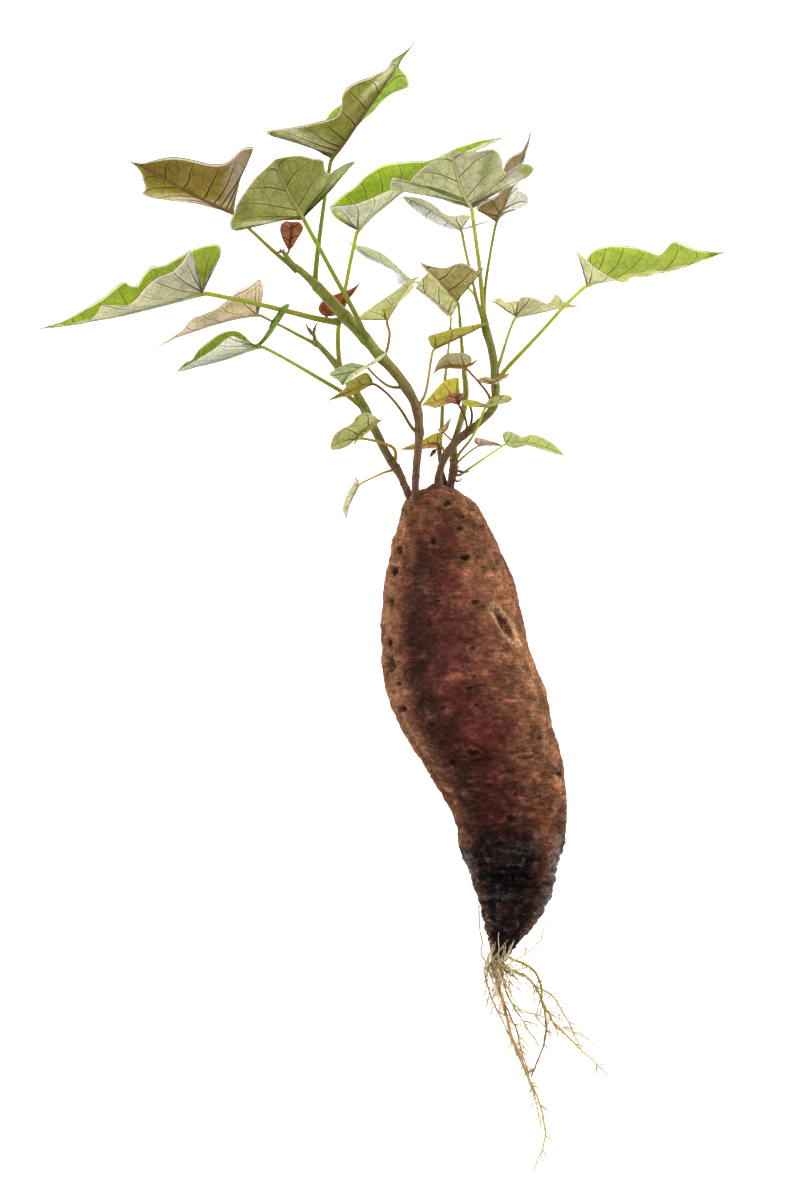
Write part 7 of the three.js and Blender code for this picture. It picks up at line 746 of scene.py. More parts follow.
    # black sunken band across the lower part
    for py, wy, dep, xa, xb in BANDS:
        wob = 1.1 * fbm(P / 7.0, 3, 51 + int(abs(py)))
        g = np.exp(-(np.abs((y - py + wob) / wy) ** 3)) * smooth(xa - 4, xa + 3, x) * smooth(xb + 4, xb - 3, x) * up
        lip = np.exp(-(((y - py + wob - wy * 1.75) / (wy * 0.7)) ** 2)) + 0.8 * np.exp(-(((y - py + wob + wy * 1.75) / (wy * 0.7)) ** 2))
        d += 0.30 * dep * lip * smooth(xa - 4, xa + 3, x) * smooth(xb + 4, xb - 3, x) * up
        d -= dep * g; dark = np.maximum(dark, np.clip(g * 1.5, 0, 1) * min(1.0, dep * 0.9))
    tw = smooth(0.34, 0.22, yr)
    Q3 = np.stack([x / 11.0, (y + 1.6 * warp) / 2.9, z / 11.0], 1)
    rd = np.abs(fbm(Q3, 3, 21)); crease = np.clip(1 - rd * 5.5, 0, 1) ** 1.3
    d -= (0.25 + 0.55 * up) * tw * crease; dark = np.maximum(dark, 0.62 * tw * crease)
    flat = smooth(0.2, 3.0, z)                       # resting patch stays level
    endf = smooth(0.0, 0.02, yr) * smooth(1.02, 0.985, yr)
    d = d * flat * (0.25 + 0.75 * endf)
    d = np.where(hwv < 5, d * hwv / 5, d)
    P = P + Nn * d[:, None]
    z = P[:, 2]
    P[:, 2] = np.where(z < 0.8, 0.8 * np.exp(np.minimum((z - 0.8) / 0.8, 0)) * (z > -50), z)
    zb = np.repeat(cz - hz, NA)
    P[:, 2] = np.maximum(P[:, 2], 0.0)
    lvl = (np.stack([X, Y, Z], -1).reshape(-1, 3)[:, 2] < 0.02)
    P[lvl, 2] = 0.0
    # faces
    i, k = np.meshgrid(np.arange(NR - 1), np.arange(NA), indexing="ij")
    A = i * NA + k; B = i * NA + (k + 1) % NA
    quads = np.stack([A, B, B + NA, A + NA], -1).reshape(-1, 4)
    c0 = P[:NA].mean(0); c1 = P[-NA:].mean(0)
    V = np.vstack([P, c0, c1]); m = NR * NA; k = np.arange(NA)
    tris = np.vstack([np.stack([np.full(NA, m), (k + 1) % NA, k], 1), np.stack([np.full(NA, m + 1), (NR - 1) * NA + k, (NR - 1) * NA + (k + 1) % NA], 1)])
    q, t = outward(V, quads, tris)
    # colour: fraction across the top face, 0 left edge .. 1 right edge
    sa = np.sin(np.tile(a, NR)); fx = 0.5 + 0.5 * sa
    dn = np.clip(-np.cos(np.tile(a, NR)), -1, 1)     # 1 on top
    dirx = np.where(dn < 0, np.where(sa < 0, 0.0, 1.0), fx)
    cols = np.zeros((len(P), 3))
    T = {k: srgb(v) for k, v in SKIN_TONES.items()}
    wob = dirx + 0.05 * fbm(P / 16.0, 3, 64)
    yw = yr + 0.03 * fbm(P / 14.0, 3, 65)
    lay = lambda base, tone, w: base + (T[tone] - base) * np.clip(w, 0, 1)[:, None]
    # painted light across the width: the clay tone on the right side and on the left rim is painted side light and rim
    # light, the shade band left of centre is painted shade, and the black end is kept lighter towards both edges as
    # painted rim light; brown and plum are the skin's own colour
    cols = np.tile(T["brown"], (len(P), 1))
    cols = lay(cols, "plum", 0.85 * np.exp(-((wob - 0.42) / 0.20) ** 2) * smooth(0.98, 0.80, yw))
    cols = lay(cols, "shade", 0.85 * np.exp(-((wob - 0.24) / 0.12) ** 2) * smooth(0.95, 0.82, yw))
    cols = lay(cols, "clay_lit", 0.75 * smooth(0.60, 0.92, wob))
    cols = lay(cols, "clay_lit", 0.80 * smooth(0.17, 0.06, wob))
    cols = lay(cols, "black", 0.90 * smooth(0.34, 0.22, yw) * (1 - 0.45 * smooth(0.75, 0.97, wob) - 0.45 * smooth(0.14, 0.05, wob)))
    back = smooth(0.0, -0.5, dn)[:, None]
    cols = cols * (1 - back) + lay(np.tile(T["brown"], (len(P), 1)), "black", 0.8 * smooth(0.34, 0.22, yw)) * back
    cols = cols * SKIN_GAIN
    n1 = fbm(P / 12.0, 4, 61)[:, None]; n2 = fbm(P / 4.0, 3, 62)[:, None]
    cols = cols * (1 + 0.30 * n1 + 0.20 * n2)
    # painted shade in the fine hollows and painted light on the fine ridges, following the fine relief
    df = d_fine - np.mean(d_fine); df = df / (np.std(df) + 1e-9)
    relief_shade = np.clip(df, -2.4, 2.4)[:, None]
    cols = cols * np.exp(0.25 * relief_shade)
    # painted highlight on the highest fine ridges, away from the dark end
    cols = cols + (srgb((196, 132, 88)) - cols) * (0.22 * smooth(0.9, 2.3, df)[:, None] * smooth(0.14, 0.34, yr)[:, None])
    tip_ = smooth(0.36, 0.10, yr)
    cols = cols + (srgb((205, 165, 120)) - cols) * np.clip(tanm, 0, 1)[:, None] * 0.6 * (1 - 0.6 * tip_[:, None])
    cols = cols * (1 - 0.86 * np.clip(dark, 0, 1)[:, None])
    # warm orange patch beside the dark end
    for px, py, rx, ry, c, amt in PATCHES:
        g = np.exp(-(((P[:, 0] - px) / rx) ** 2 + ((P[:, 1] - py) / ry) ** 2)) * up * (0.75 + 0.5 * fbm(P / 5.0, 3, 63))
        g = np.clip(g * amt, 0, 1)[:, None]
        cols = cols * (1 - g) + srgb(c) * g
    lum = cols.mean(1, keepdims=True)
    cols = cols * np.clip((np.maximum(lum, 0.004) / 0.115) ** 0.30, 0.5, 1.5)
    cols = np.clip(cols, 0.004, 0.9)
    wet = smooth(WET_Y + 6, WET_Y - 6, P[:, 1] + 5 * fbm(P / 14.0, 3, 71) + 0.10 * (P[:, 0] - 60) * -1)
    for px, py, rx, ry in GLINTS:
        wet = wet + 1.0 * np.exp(-(((P[:, 0] - px) / rx) ** 2 + ((P[:, 1] - py) / ry) ** 2) ** 1.5) * up
    # gold strength: fibre colour all over, raised towards both edges of the upper face as painted rim light
    edge = smooth(0.30, 0.06, np.minimum(fx, 1 - fx)) * (dn > -0.6)
    gold_fibre_and_rim_light = np.clip(0.25 + 0.9 * edge + 0.5 * fbm(P / 15.0, 3, 72), 0, 1.2) * (1 - 0.85 * np.clip(wet, 0, 1))
    ex = lambda v: np.concatenate([v, v[:1], v[-1:]])
    make("sweet_potato_root", V, q, t, {"tint": np.vstack([cols, cols[:1], cols[-1:]]), "wet": ex(wet), "gold_fibre_and_rim_light": ex(gold_fibre_and_rim_light)}, SKIN, node="tuber", slot="root_skin")
    return dict(cx=cx, cy=cy, cz=cz, hw=hw, hz=hz)

# ---------------------------------------------------------------- shoots
STEM_ATTACH = {}
for _n, _l in LEAVES.items():
    STEM_ATTACH.setdefault(_l["stem"], []).append(np.array(_l["stalk"][0]))

def build_stem(name, s):
    n = max(90, int(len(s["pts"]) * 12))
    C, L = spline(s["pts"], n)
    u = np.linspace(0, 1, n); tab = np.array(s["r"], float)
    R = np.interp(u, tab[:, 0], tab[:, 1])
    kk = np.ones(9) / 9; R = np.convolve(np.pad(R, 4, mode="edge"), kk, "valid")
    sw = np.zeros(n)
    for a in STEM_ATTACH.get(name, []):
        dd = np.linalg.norm(C - a, axis=1); j = int(np.argmin(dd))
        sw = np.maximum(sw, np.exp(-((u - u[j]) * L / 2.4) ** 2))
    R = R * (1 + 0.16 * sw)
    seed = len(name) * 7
    wob = np.stack([vnoise(np.stack([u * L / 9, np.full(n, 3.3 + k), np.full(n, 1.7)], 1), seed) for k in range(3)], 1)
    C = C + 0.22 * wob * np.minimum(R, 2)[:, None] * 0.6
    rough = smooth(0.30, 0.02, u) if name != "shoot_back_centre" else smooth(0.12, 0.0, u)
    base = {}
    def relief(th, i):
        uu = u[i[:, 0]]; out = np.ones((n, th.shape[1]))
        A = np.stack([np.cos(th[0])[None].repeat(n, 0) * 1.6, (uu * L / 2.6)[:, None].repeat(th.shape[1], 1), np.sin(th[0])[None].repeat(n, 0) * 1.6], -1).reshape(-1, 3)
        nz = fbm(A, 3, seed + 1).reshape(n, -1)
        rg = np.cos(th * 5 + 2 * np.sin(uu[:, None] * L / 14)) * 0.02
        bark = np.abs(fbm(A * np.array([1.5, 1.2, 1.5]), 3, seed + 2).reshape(n, -1))
        return out + 0.05 * nz + rg + 0.22 * rough[:, None] * (0.5 - bark * 1.6) * 0.9
    V, q, t, ring, ang = tube(C, R, 22, relief)
    uu = u[ring]
    keys = STEM_COLOURS[name]
    ys = np.array([k[0] for k in keys]); cs = np.array([srgb(k[1]) for k in keys])
    col = np.stack([np.interp(uu, ys, cs[:, k]) for k in range(3)], 1)
    nb = fbm(V / np.array([1.2, 3.0, 1.2]), 3, seed + 3)
    col = col * (1 + 0.35 * nb[:, None])
    rings_ = np.exp(-(np.min([np.abs((uu - u[int(np.argmin(np.linalg.norm(C - a, axis=1)))]) * L - 1.0) for a in STEM_ATTACH.get(name, [np.zeros(3)])], axis=0) / 0.35) ** 2)
    col = col * (1 - 0.35 * rings_[:, None])
    B = Bag(); B.put(V, q, t, lam=np.clip(col, 0.003, 1), gl=np.clip(uu * 1.4, 0, 1) * 0.8)
    r3 = np.random.default_rng(seed)
    # small flakes of old bark on the woody foot
    if name != "shoot_back_centre":
        for _ in range(26):
            k = int(r3.uniform(0.04, 0.26) * n); a = r3.uniform(0, 2 * np.pi)
            c = C[k]; rr = R[k]
            T_ = C[min(k + 1, n - 1)] - C[max(k - 1, 0)]; T_ /= np.linalg.norm(T_)
            N_ = np.cross(T_, [0, 0, 1.0]); N_ /= np.linalg.norm(N_); B_ = np.cross(T_, N_)
            o = math.cos(a) * N_ + math.sin(a) * B_
            p0 = c + o * rr * 0.9; ln = r3.uniform(0.6, 1.6)
            pts = [p0, p0 + T_ * ln * 0.5 + o * 0.25, p0 + T_ * ln + o * r3.uniform(0.3, 0.7)]
            Cc, _ = spline(pts, 6)
            V2, q2, t2, rg2, _a = tube(Cc, np.array([0.28, 0.3, 0.26, 0.2, 0.13, 0.06]), 6)
            B.put(V2, q2, t2, lam=srgb((120, 84, 70)) * r3.uniform(0.6, 1.5), gl=0.1)
    B.done(name + "_skin", STEM, node=name, slot="shoot")

# ---------------------------------------------------------------- leaves
def nrmz(v): return v / (np.linalg.norm(v, axis=-1, keepdims=True) + 1e-12)

def build_leaf(name, l, ci):
    c = LEAF_LOOKS[name]
    (A, LA), (Bm, LB) = spline(l["a"], 700), spline(l["b"], 700)
    M, LM = spline(l["mid"], 500)
    um = np.linspace(0, 1, 500)
    NU = int(np.clip(max(LA, LB) / 0.62, 46, 190)); u = np.linspace(0, 1, NU + 1)
    ud = np.linspace(0, 1, 700)
    fa = np.interp(u, np.linspace(0, 1, len(l["fa"])), l["fa"]); fb = np.interp(u, np.linspace(0, 1, len(l["fb"])), l["fb"])
    k = max(3, NU // 14) | 1
    sm = lambda f: np.convolve(np.concatenate([2 * f[0] - f[k // 2:0:-1], f, 2 * f[-1] - f[-2:-k // 2 - 1:-1]]), np.ones(k) / k, "valid")[: len(f)]
    fa, fb = sm(fa), sm(fb)
    fa = np.clip(fa - fa[0], 0, 1); fb = np.clip(fb - fb[0], 0, 1); fa /= fa[-1]; fb /= fb[-1]
    fm = 0.5 * (fa + fb)
    at = lambda arr, par, x: np.stack([np.interp(x, par, arr[:, j]) for j in range(3)], -1)
    wid = max(np.linalg.norm(at(A, ud, u) - at(M, um, fa), axis=1).max(), np.linalg.norm(at(Bm, ud, u) - at(M, um, fb), axis=1).max())
    NV = int(np.clip(wid / 0.75, 8, 34))
    cols, vs, side = [], [], []
    seed = ci * 13 + 5
    for j in range(-NV, NV + 1):
        s = 0 if j < 0 else 1; v = abs(j) / NV
        f = (fb if s else fa) * v + fm * (1 - v)
        m = at(M, um, np.clip(f, 0, 1)); e = at(Bm if s else A, ud, u)
        p = m * (1 - v) + e * v
        p[:, 2] += l["bulge"][s] * np.sin(np.pi * v) * np.sin(np.pi * np.minimum(1, u * 1.1))
        cols.append(p); vs.append(v); side.append(s)
    P = np.stack(cols, 1)                            # (NU+1, 2NV+1, 3)
    vs = np.array(vs); side = np.array(side)
    def normals(P):
        du = np.gradient(P, axis=0); dv = np.gradient(P, axis=1)
        n = np.cross(du, dv)
        ln = np.linalg.norm(n, axis=-1, keepdims=True)
        n = np.where(ln > 1e-7, n / (ln + 1e-12), 0)
        n[0] = n[1]; n[-1] = n[-2]
        return nrmz(n)
    n0 = normals(P)
    # which way the upper face looks
    i4 = int(0.45 * NU)
    if l["fold"]:
        want = nrmz(0.5 * (P[i4, 0] + P[i4, -1]) - P[i4, NV] + np.array([0, 0, 1e-3]))
    else:
        want = np.array([0, 0, -1.0])
    sgn = 1.0 if float(np.sum(n0[i4, NV - 2:NV + 3].mean(0) * want)) > 0 else -1.0
    up = n0 * sgn
    # vein layout
    nv = max(4, int(round(max(LA, LB) / 9.5))) if LM > 25 else max(3, int(round(LM / 4.5)))
    uu = np.repeat(u[:, None], 2 * NV + 1, 1); vv = np.repeat(vs[None], NU + 1, 0)
    jit = np.where(side == 0, 0.17, 0.0)[None]
    bend = 0.018 * np.sin(np.pi * vv) 
    q = (uu ** 0.92 - bend) * (nv + 0.5) + 0.35 + jit
    q = q + 0.06 * vnoise(np.stack([uu.ravel() * nv, vv.ravel() * 3, np.full(uu.size, float(seed))], 1), seed).reshape(uu.shape)
    rowlen = np.linalg.norm(np.gradient(P, axis=0), axis=-1); dq = np.abs(np.gradient(q, axis=0)) + 1e-6
    du = nrmz(np.gradient(P, axis=0)); dv = nrmz(np.gradient(P, axis=1))
    sin_ = np.linalg.norm(np.cross(du, dv), axis=-1)
    sp = np.clip(rowlen * sin_ / dq, 0.05, 40)
    sp[:, NV] = 0.5 * (sp[:, NV - 1] + sp[:, NV + 1])
    acc = np.linalg.norm(np.diff(P, axis=1), axis=-1)
    dm = np.zeros(P.shape[:2])
    for j in range(NV + 1, 2 * NV + 1): dm[:, j] = dm[:, j - 1] + acc[:, j - 1]
    for j in range(NV - 1, -1, -1): dm[:, j] = dm[:, j + 1] + acc[:, j]
    tip_m = np.linspace(0, 1, 2)
    fmm = fm[:, None]
    # true distance from the midrib line, so lobes behind the base are not read as midrib
    fl = P.reshape(-1, 3); mm_ = M[:: 6]
    dd = np.full(len(fl), 1e9)
    for c0 in mm_: dd = np.minimum(dd, np.linalg.norm(fl - c0, axis=1))
    dm = dd.reshape(dm.shape)
    wm = np.repeat((0.55 * (1 - fm) ** 0.8 + 0.10)[:, None], 2 * NV + 1, 1) * min(1.0, 0.45 + LM / 90)
    veinw = 0.36 * (1 - 0.7 * vv)
    dist = np.abs(q - np.round(q)) * sp
    sec = np.exp(-(dist / (veinw + 0.12)) ** 2)
    mid = np.exp(-(dm / (wm + 0.25)) ** 2)
    size = min(1.0, LM / 60)
    quilt = (0.5 - 0.5 * np.cos(2 * np.pi * (q - np.round(q) + 0.0))) * np.sin(np.pi * np.clip(vv, 0, 1)) ** 0.8
    disp = 0.75 * size * quilt * np.minimum(sp / 8.0, 1.2) - 0.16 * sec * size - 0.30 * mid * size
    ripple = fbm(np.stack([P[..., 0].ravel() / 11, P[..., 1].ravel() / 11, P[..., 2].ravel() / 11], 1) + seed, 2, seed).reshape(vv.shape)
    disp = disp + 0.9 * size * ripple * vv ** 1.5 * l.get("wave", 1.0)
    endf = (np.sin(np.pi * np.clip(uu, 0, 1)) ** 0.5)
    P2 = P + up * (disp * endf)[..., None]
    n1 = normals(P2) * sgn
    n1 = nrmz(n1 + 0.15 * up)
    th = (0.16 + 0.06 * size) * (1 - 0.55 * vv ** 4) * np.minimum(1, endf + 0.3)
    thu = th + 0.28 * mid * size + 0.10 * sec * size   # veins stand out underneath
    top = P2 + n1 * (th * 0.6)[..., None]; bot = P2 - n1 * (thu * 0.6)[..., None]
    W = 2 * NV + 1
    def tidy(G):
        G = G.copy(); G[0] = G[0, NV]; G[-1] = G[-1, NV]; return G
    top, bot = tidy(top), tidy(bot)
    inner = slice(1, NU)
    Vt = top[inner].reshape(-1, 3); Vb = bot[inner].reshape(-1, 3); nr = NU - 1
    V = np.vstack([Vt, Vb, top[0, NV], bot[0, NV], top[-1, NV], bot[-1, NV]])
    V[:, 2] = np.maximum(V[:, 2], 0.2)
    ob = nr * W; BT, BB, TT, TB = 2 * ob, 2 * ob + 1, 2 * ob + 2, 2 * ob + 3
    i, j = np.meshgrid(np.arange(nr - 1), np.arange(W - 1), indexing="ij"); a = i * W + j
    qt = np.stack([a, a + W, a + W + 1, a + 1], -1).reshape(-1, 4)
    qb = qt[:, ::-1] + ob
    r = np.arange(nr - 1) * W
    ql = np.stack([r, r + ob, r + W + ob, r + W], 1); e = r + W - 1
    qr = np.stack([e, e + W, e + W + ob, e + ob], 1)
    ends = np.array([[BT, BB, ob, 0], [BT, W - 1, ob + W - 1, BB], [TT, (nr - 1) * W, ob + (nr - 1) * W, TB], [TT, TB, ob + nr * W - 1, nr * W - 1]])
    j = np.arange(W - 1); z_ = (nr - 1) * W
    tr = np.vstack([np.stack([np.full(W - 1, BT), j, j + 1], 1), np.stack([np.full(W - 1, BB), ob + j + 1, ob + j], 1),
                    np.stack([np.full(W - 1, TT), z_ + j + 1, z_ + j], 1), np.stack([np.full(W - 1, TB), ob + z_ + j, ob + z_ + j + 1], 1)])
    quads, tris = outward(V, np.vstack([qt, qb, ql, qr, ends]), tr)
    # colours: [half][face]
    g = lambda x: x[inner].ravel()
    S = g(np.repeat(side[None], NU + 1, 0)); U, VV = g(uu), g(vv)
    pts = P2[inner].reshape(-1, 3)
    n1_ = fbm(pts / 9.0, 3, seed + 3)[:, None]; n2_ = fbm(pts / 2.6, 3, seed + 4)[:, None]
    edge_mm = g(np.linalg.norm(P - np.where(side[None, :, None] == 0, P[:, :1], P[:, -1:]), axis=-1))
    def face(ca, cb, va, vb, edge):
        col = np.where(S[:, None] == 0, srgb(ca), srgb(cb)) * (1 + 0.20 * n1_ + 0.13 * n2_)
        vein = np.where(S[:, None] == 0, srgb(va), srgb(vb)) * np.ones((len(S), 1))
        if edge is not None:
            ec, ew, ea = edge
            w = np.clip((1 - edge_mm / ew), 0, 1)[:, None] ** 1.2 * ea * (0.8 + 0.5 * n1_)
            w = np.clip(w, 0, 1)
            col = col * (1 - w) + srgb(ec) * w
        return col, vein
    ct, vt = face(c["ta"], c["tb"], c["vta"], c["vtb"], c.get("edge_t"))
    cb_, vb_ = face(c["ba"], c["bb"], c["vba"], c["vbb"], c.get("edge_b"))
    def both(a, b):                                   # upper-face values then underside, then the four end points
        return np.concatenate([a, b, a[:1], b[:1], a[-1:], b[-1:]])
    tm = np.where(S[:, None] == 0, srgb(c["tra"]), srgb(c["trb"])) * (1 + 0.12 * n1_)
    # pale, near-white patches paint highlights and sheen onto the blade; the darker ones add the leaf's own tone
    for px, py, rx, ry, rot, pc, amt in LEAF_TONES_AND_HIGHLIGHTS.get(name, []):
        ca, sa = math.cos(math.radians(rot)), math.sin(math.radians(rot))
        ex_ = (pts[:, 0] - px) * ca + (pts[:, 1] - py) * sa; ey_ = -(pts[:, 0] - px) * sa + (pts[:, 1] - py) * ca
        w_ = np.clip(np.exp(-(((ex_ / rx) ** 2 + (ey_ / ry) ** 2) ** 1.6)) * amt * (1 + 0.25 * n2_[:, 0]), 0, 1)[:, None]
        cb_ = cb_ * (1 - w_) + srgb(pc) * w_; ct = ct * (1 - w_) + srgb(pc) * w_; tm = tm * (1 - w_) + srgb(pc) * w_
    trn = both(tm, tm); lam = both(ct, cb_); ven = both(vt, vb_)
    one = lambda x: both(g(x), g(x))
    bag = Bag()
    bag.put(V, quads, tris, lam=np.clip(lam * LEAF_GAIN, 0, 1), ven=np.clip(ven * LEAF_GAIN, 0, 1), trn=np.clip(trn, 0, 1), q=one(q), vv=one(vv), dm=one(dm), sp=one(sp), wm=one(wm), ed=both(edge_mm * max(1.0, 50.0 / LM), edge_mm * max(1.0, 50.0 / LM)), gl=both(np.full(len(S), c.get("glt", 0.55)), np.full(len(S), c.get("glb", 0.35))))
    # stalk, running on as the raised midrib underneath
    st = np.array(l["stalk"], float)
    nx = int(max(24, spline(st, 10)[1] * 1.3))
    Cs, Ls = spline(np.vstack([st, l["mid"][0]]), nx)
    r0, r1 = l["stalkR"]
    us = np.linspace(0, 1, nx)
    Rs = r0 + (r1 - r0) * np.minimum(1, us * 1.5)
    Rs = Rs * (1 + 0.42 * np.exp(-(us * Ls / 2.2) ** 2)) * (1 + 0.12 * np.exp(-((1 - us) * Ls / 2.5) ** 2))
    fr = np.linspace(0.012, 0.86, 60)
    down = -at(up[:, NV].copy(), u, np.interp(fr, fm + np.arange(NU + 1) * 1e-9, u))
    Cm = at(P2[:, NV].copy(), u, np.interp(fr, fm + np.arange(NU + 1) * 1e-9, u))
    Rm = r1 * 0.82 * (1 - fr) ** 1.15 + 0.07
    Cm = Cm + nrmz(down) * (Rm * 0.55)[:, None]
    C = np.vstack([Cs[:-1], Cm]); R = np.concatenate([Rs[:-1], Rm])
    kk = 5
    for _ in range(2):
        C[1:-1] = 0.25 * C[:-2] + 0.5 * C[1:-1] + 0.25 * C[2:]; R[1:-1] = 0.25 * R[:-2] + 0.5 * R[1:-1] + 0.25 * R[2:]
    V2, q2, t2, ring, ang = tube(C, R, 12, lambda th, i: 1 + 0.05 * np.cos(3 * th + i * 0.05))
    tt = np.clip(ring / (nx - 1.0), 0, 1)[:, None]
    onm = (ring > nx)[:, None]
    sc = (srgb(c["s0"]) * (1 - tt) + srgb(c["s1"]) * tt) * (np.array([1.13, 1.08, 1.0]) if c["s0"][1] >= c["s0"][0] - 13 else np.array([1.55, 1.65, 1.3]))
    sc = np.where(onm, srgb(c["vba"]) * 0.5 + srgb(c["s1"]) * 0.5, sc)
    sc = sc * (1 + 0.16 * fbm(V2 / 2.0, 3, seed + 7)[:, None])
    bag.put(V2, q2, t2, lam=np.clip(sc * LEAF_GAIN, 0, 1), ven=np.clip(sc, 0, 1), trn=np.clip(sc * 1.3, 0, 1), q=0.5, vv=1.0, dm=99.0, sp=9.0, wm=0.0, ed=9.0, gl=0.55)
    bag.done(name + "_blade", LEAF, node=name, slot=l["slot"])

# ---------------------------------------------------------------- buds
def build_bud(name, b):
    bag = Bag(); sd = len(name)
    for k, pts in enumerate(b["strands"]):
        C, L = spline(pts, 26); u = np.linspace(0, 1, 26)
        R = (b["r"][0] * (1 - u) + b["r"][1] * u) * (1 + 0.5 * np.sin(np.pi * u) ** 2 * (k == 0)) * (1 - 0.35 * smooth(0.8, 1, u))
        V, q, t, ring, ang = tube(C, R, 12, lambda th, i: 1 + 0.14 * np.cos(3 * th + i * 0.2))
        c = srgb(BUD_COLOURS[name][0]) * (1 - u[ring][:, None]) + srgb(BUD_COLOURS[name][1]) * u[ring][:, None]
        c = c * (1 + 0.3 * fbm(V / 0.8, 3, sd + k)[:, None])
        bag.put(V, q, t, lam=np.clip(c, 0.003, 1), gl=0.5)
    bag.done(name + "_tips", STEM, node=name, slot="bud")

# ---------------------------------------------------------------- fibrous roots
def build_fibres(name, strands, ci):
    bag = Bag(); r = np.random.default_rng(100 + ci)
    def strand(pts, ra, rb, c0, c1, sides=8, wob=0.5, seed=0):
        C, L = spline(pts, int(max(16, spline(pts, 5)[1] * 1.6)))
        n = len(C); u = np.linspace(0, 1, n)
        w = np.stack([fbm(np.stack([u * L / 5.0, np.full(n, k * 7.7), np.full(n, seed * 1.3)], 1), 3, seed + k) for k in range(3)], 1)
        C = C + w * wob * np.minimum(1, u * 6)[:, None] * np.array([1, 1, 0.5])
        R = (ra * (1 - u) + rb * u) * (1 + 0.18 * fbm(np.stack([u * L / 2.2, np.full(n, 2.2), np.full(n, seed * 0.7)], 1), 2, seed + 9))
        C[:, 2] = np.maximum(C[:, 2], R + 0.12)
        V, q, t, ring, ang = tube(C, R, sides)
        uu = u[ring][:, None]
        c = srgb(c0) * (1 - uu) + srgb(c1) * uu
        c = c * (1 + 0.25 * fbm(V / 3.0, 2, seed + 5)[:, None])
        bag.put(V, q, t, lam=np.clip(c, 0.01, 1))
        return C
    for k, s in enumerate(strands):
        c0, c1 = FIBRE_COLOURS[name][k % len(FIBRE_COLOURS[name])]
        C = strand(s["pts"], s["r"][0] * FIBRE_THIN, s["r"][1] * FIBRE_THIN, c0, c1, 9, 0.55, ci * 31 + k)
        n = len(C)
        if name == "roots_left_hair": continue
        # side hairs
        for h in range(int(max(8, n / 4.2))):
            j = int(r.uniform(0.08, 0.95) * n)
            d = C[min(j + 2, n - 1)] - C[max(j - 2, 0)]; d /= np.linalg.norm(d) + 1e-9
            sgn = r.choice([-1, 1]); ln = r.uniform(3, 13) * (1.0 if name != "roots_long" else 0.7)
            o = np.array([-d[1], d[0], 0]) * sgn
            a = C[j]; p = [a]
            for st in range(1, 5):
                f = st / 4
                dirn = d * (0.55 + 0.45 * f) + o * (0.75 * (1 - 0.45 * f)) + np.array([r.normal(0, .12), r.normal(0, .12), -0.12])
                p.append(p[-1] + dirn * ln / 4)
            p = [np.array([v[0], v[1], max(v[2], 0.35)]) for v in p]
            strand(p, r.uniform(0.17, 0.28), 0.10, *[((186, 160, 92), (206, 186, 128)), ((206, 190, 150), (222, 208, 170)), ((168, 132, 60), (196, 166, 96))][h % 3], 5, 0.45, ci * 97 + k * 17 + h)
    if name == "roots_fine":
        # tuft of short hairs round the very tip
        for h in range(96):
            a0 = np.array(TIP) + np.array([r.uniform(-5.0, 2.5), r.uniform(-5.0, 2.0), r.uniform(2.5, 7.5)])
            if h % 3 == 0: ang = r.normal(1.35, 0.55); ln = r.uniform(5, 13)
            elif h % 3 == 1: ang = r.normal(-1.25, 0.35); ln = r.uniform(9, 30)
            else: ang = r.normal(-0.75, 0.75); ln = r.uniform(6, 17)
            p = [a0]
            for st in range(4):
                ang += r.normal(0, 0.12)
                dz = (1.3 if h % 3 == 0 else -0.8) * ln / 12
                p.append(p[-1] + np.array([math.cos(ang) * ln / 4, math.sin(ang) * ln / 4, dz + r.uniform(-0.2, 0.2)]))
            p = [np.array([v[0], v[1], max(v[2], 0.4)]) for v in p]
            strand(p, r.uniform(0.17, 0.30), 0.10, *[((214, 196, 150), (236, 226, 200)), ((224, 210, 170), (240, 232, 212)), ((150, 104, 60), (200, 168, 110)), ((198, 172, 110), (222, 204, 150))][h % 4], 6, 0.35, 900 + h)
    bag.done(name + "_strands", FIBRE, node=name, slot="fibrous_root")

build_tuber()
for _n, _s in STEMS.items(): build_stem(_n, _s)
for _i, (_n, _l) in enumerate(LEAVES.items()): build_leaf(_n, _l, _i)
for _n, _b in BUDS.items(): build_bud(_n, _b)
for _i, (_n, _f) in enumerate(FIBRES.items()): build_fibres(_n, _f, _i)

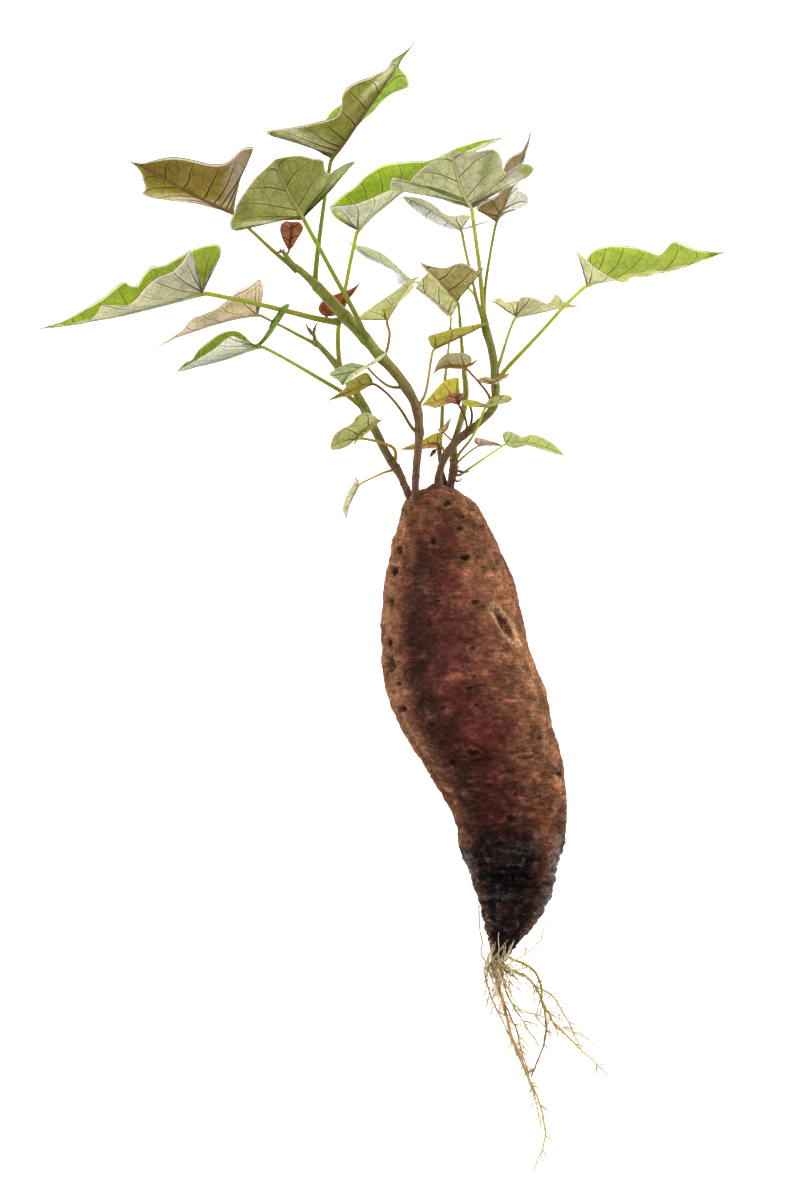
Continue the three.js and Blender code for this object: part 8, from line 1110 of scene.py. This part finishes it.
# ---------------------------------------------------------------- studio
sc = bpy.context.scene
sc.view_settings.view_transform = "Standard"
cam = bpy.data.cameras.new("camera"); camo = bpy.data.objects.new("camera", cam); sc.collection.objects.link(camo)
cam.type = "PERSP"; cam.sensor_fit = "VERTICAL"; cam.sensor_width = 36; cam.sensor_height = 36
cam.lens = 36 * CAM_DIST / CAM_SPAN; cam.clip_start = 0.05; cam.clip_end = 50
camo.location = (CAM_XY[0] * MM, CAM_XY[1] * MM, (CAM_DIST + 40.0) * MM); camo.rotation_euler = (0, 0, 0)
sc.camera = camo

fm_ = bpy.data.meshes.new("floor"); h = 6.0
fm_.from_pydata([(-h, -h, 0), (h, -h, 0), (h, h, 0), (-h, h, 0)], [], [(0, 1, 2, 3)])
fl = bpy.data.objects.new("floor", fm_); sc.collection.objects.link(fl)
N = Nodes("pale_floor")
p = N.principled((0.93, 0.93, 0.93, 1.0), 0.9, None, 0.0)
em = N.n("ShaderNodeEmission"); em.inputs["Color"].default_value = (1, 1, 1, 1); em.inputs["Strength"].default_value = FLOOR_GLOW
ad = N.n("ShaderNodeAddShader"); N.link(p, ad.inputs[0]); N.link(em.outputs[0], ad.inputs[1]); N.link(ad.outputs[0], N.out.inputs[0])
fm_.materials.append(N.m)

w = bpy.data.worlds.new("studio"); sc.world = w; w.use_nodes = True
bg = w.node_tree.nodes["Background"]; bg.inputs["Color"].default_value = (1, 1, 1, 1)
wt = w.node_tree; tcn = wt.nodes.new("ShaderNodeTexCoord"); sx = wt.nodes.new("ShaderNodeSeparateXYZ"); mr = wt.nodes.new("ShaderNodeMapRange")
mr.interpolation_type = "SMOOTHSTEP"; wt.links.new(tcn.outputs["Generated"], sx.inputs[0]); wt.links.new(sx.outputs[2], mr.inputs["Value"])
mr.inputs["From Min"].default_value = 0.10; mr.inputs["From Max"].default_value = 0.80
mr.inputs["To Min"].default_value = WORLD[0]; mr.inputs["To Max"].default_value = WORLD[1]
wt.links.new(mr.outputs[0], bg.inputs["Strength"])

def area(name, loc, size, power, target=(0, 0, 0.03)):
    L = bpy.data.lights.new(name, "AREA"); L.shape = "RECTANGLE"; L.size, L.size_y = size; L.energy = power
    o = bpy.data.objects.new(name, L); sc.collection.objects.link(o); o.location = loc
    o.rotation_euler = (Vector(target) - Vector(loc)).to_track_quat("-Z", "Y").to_euler()
    return o
for a in LIGHTS: area(*a)
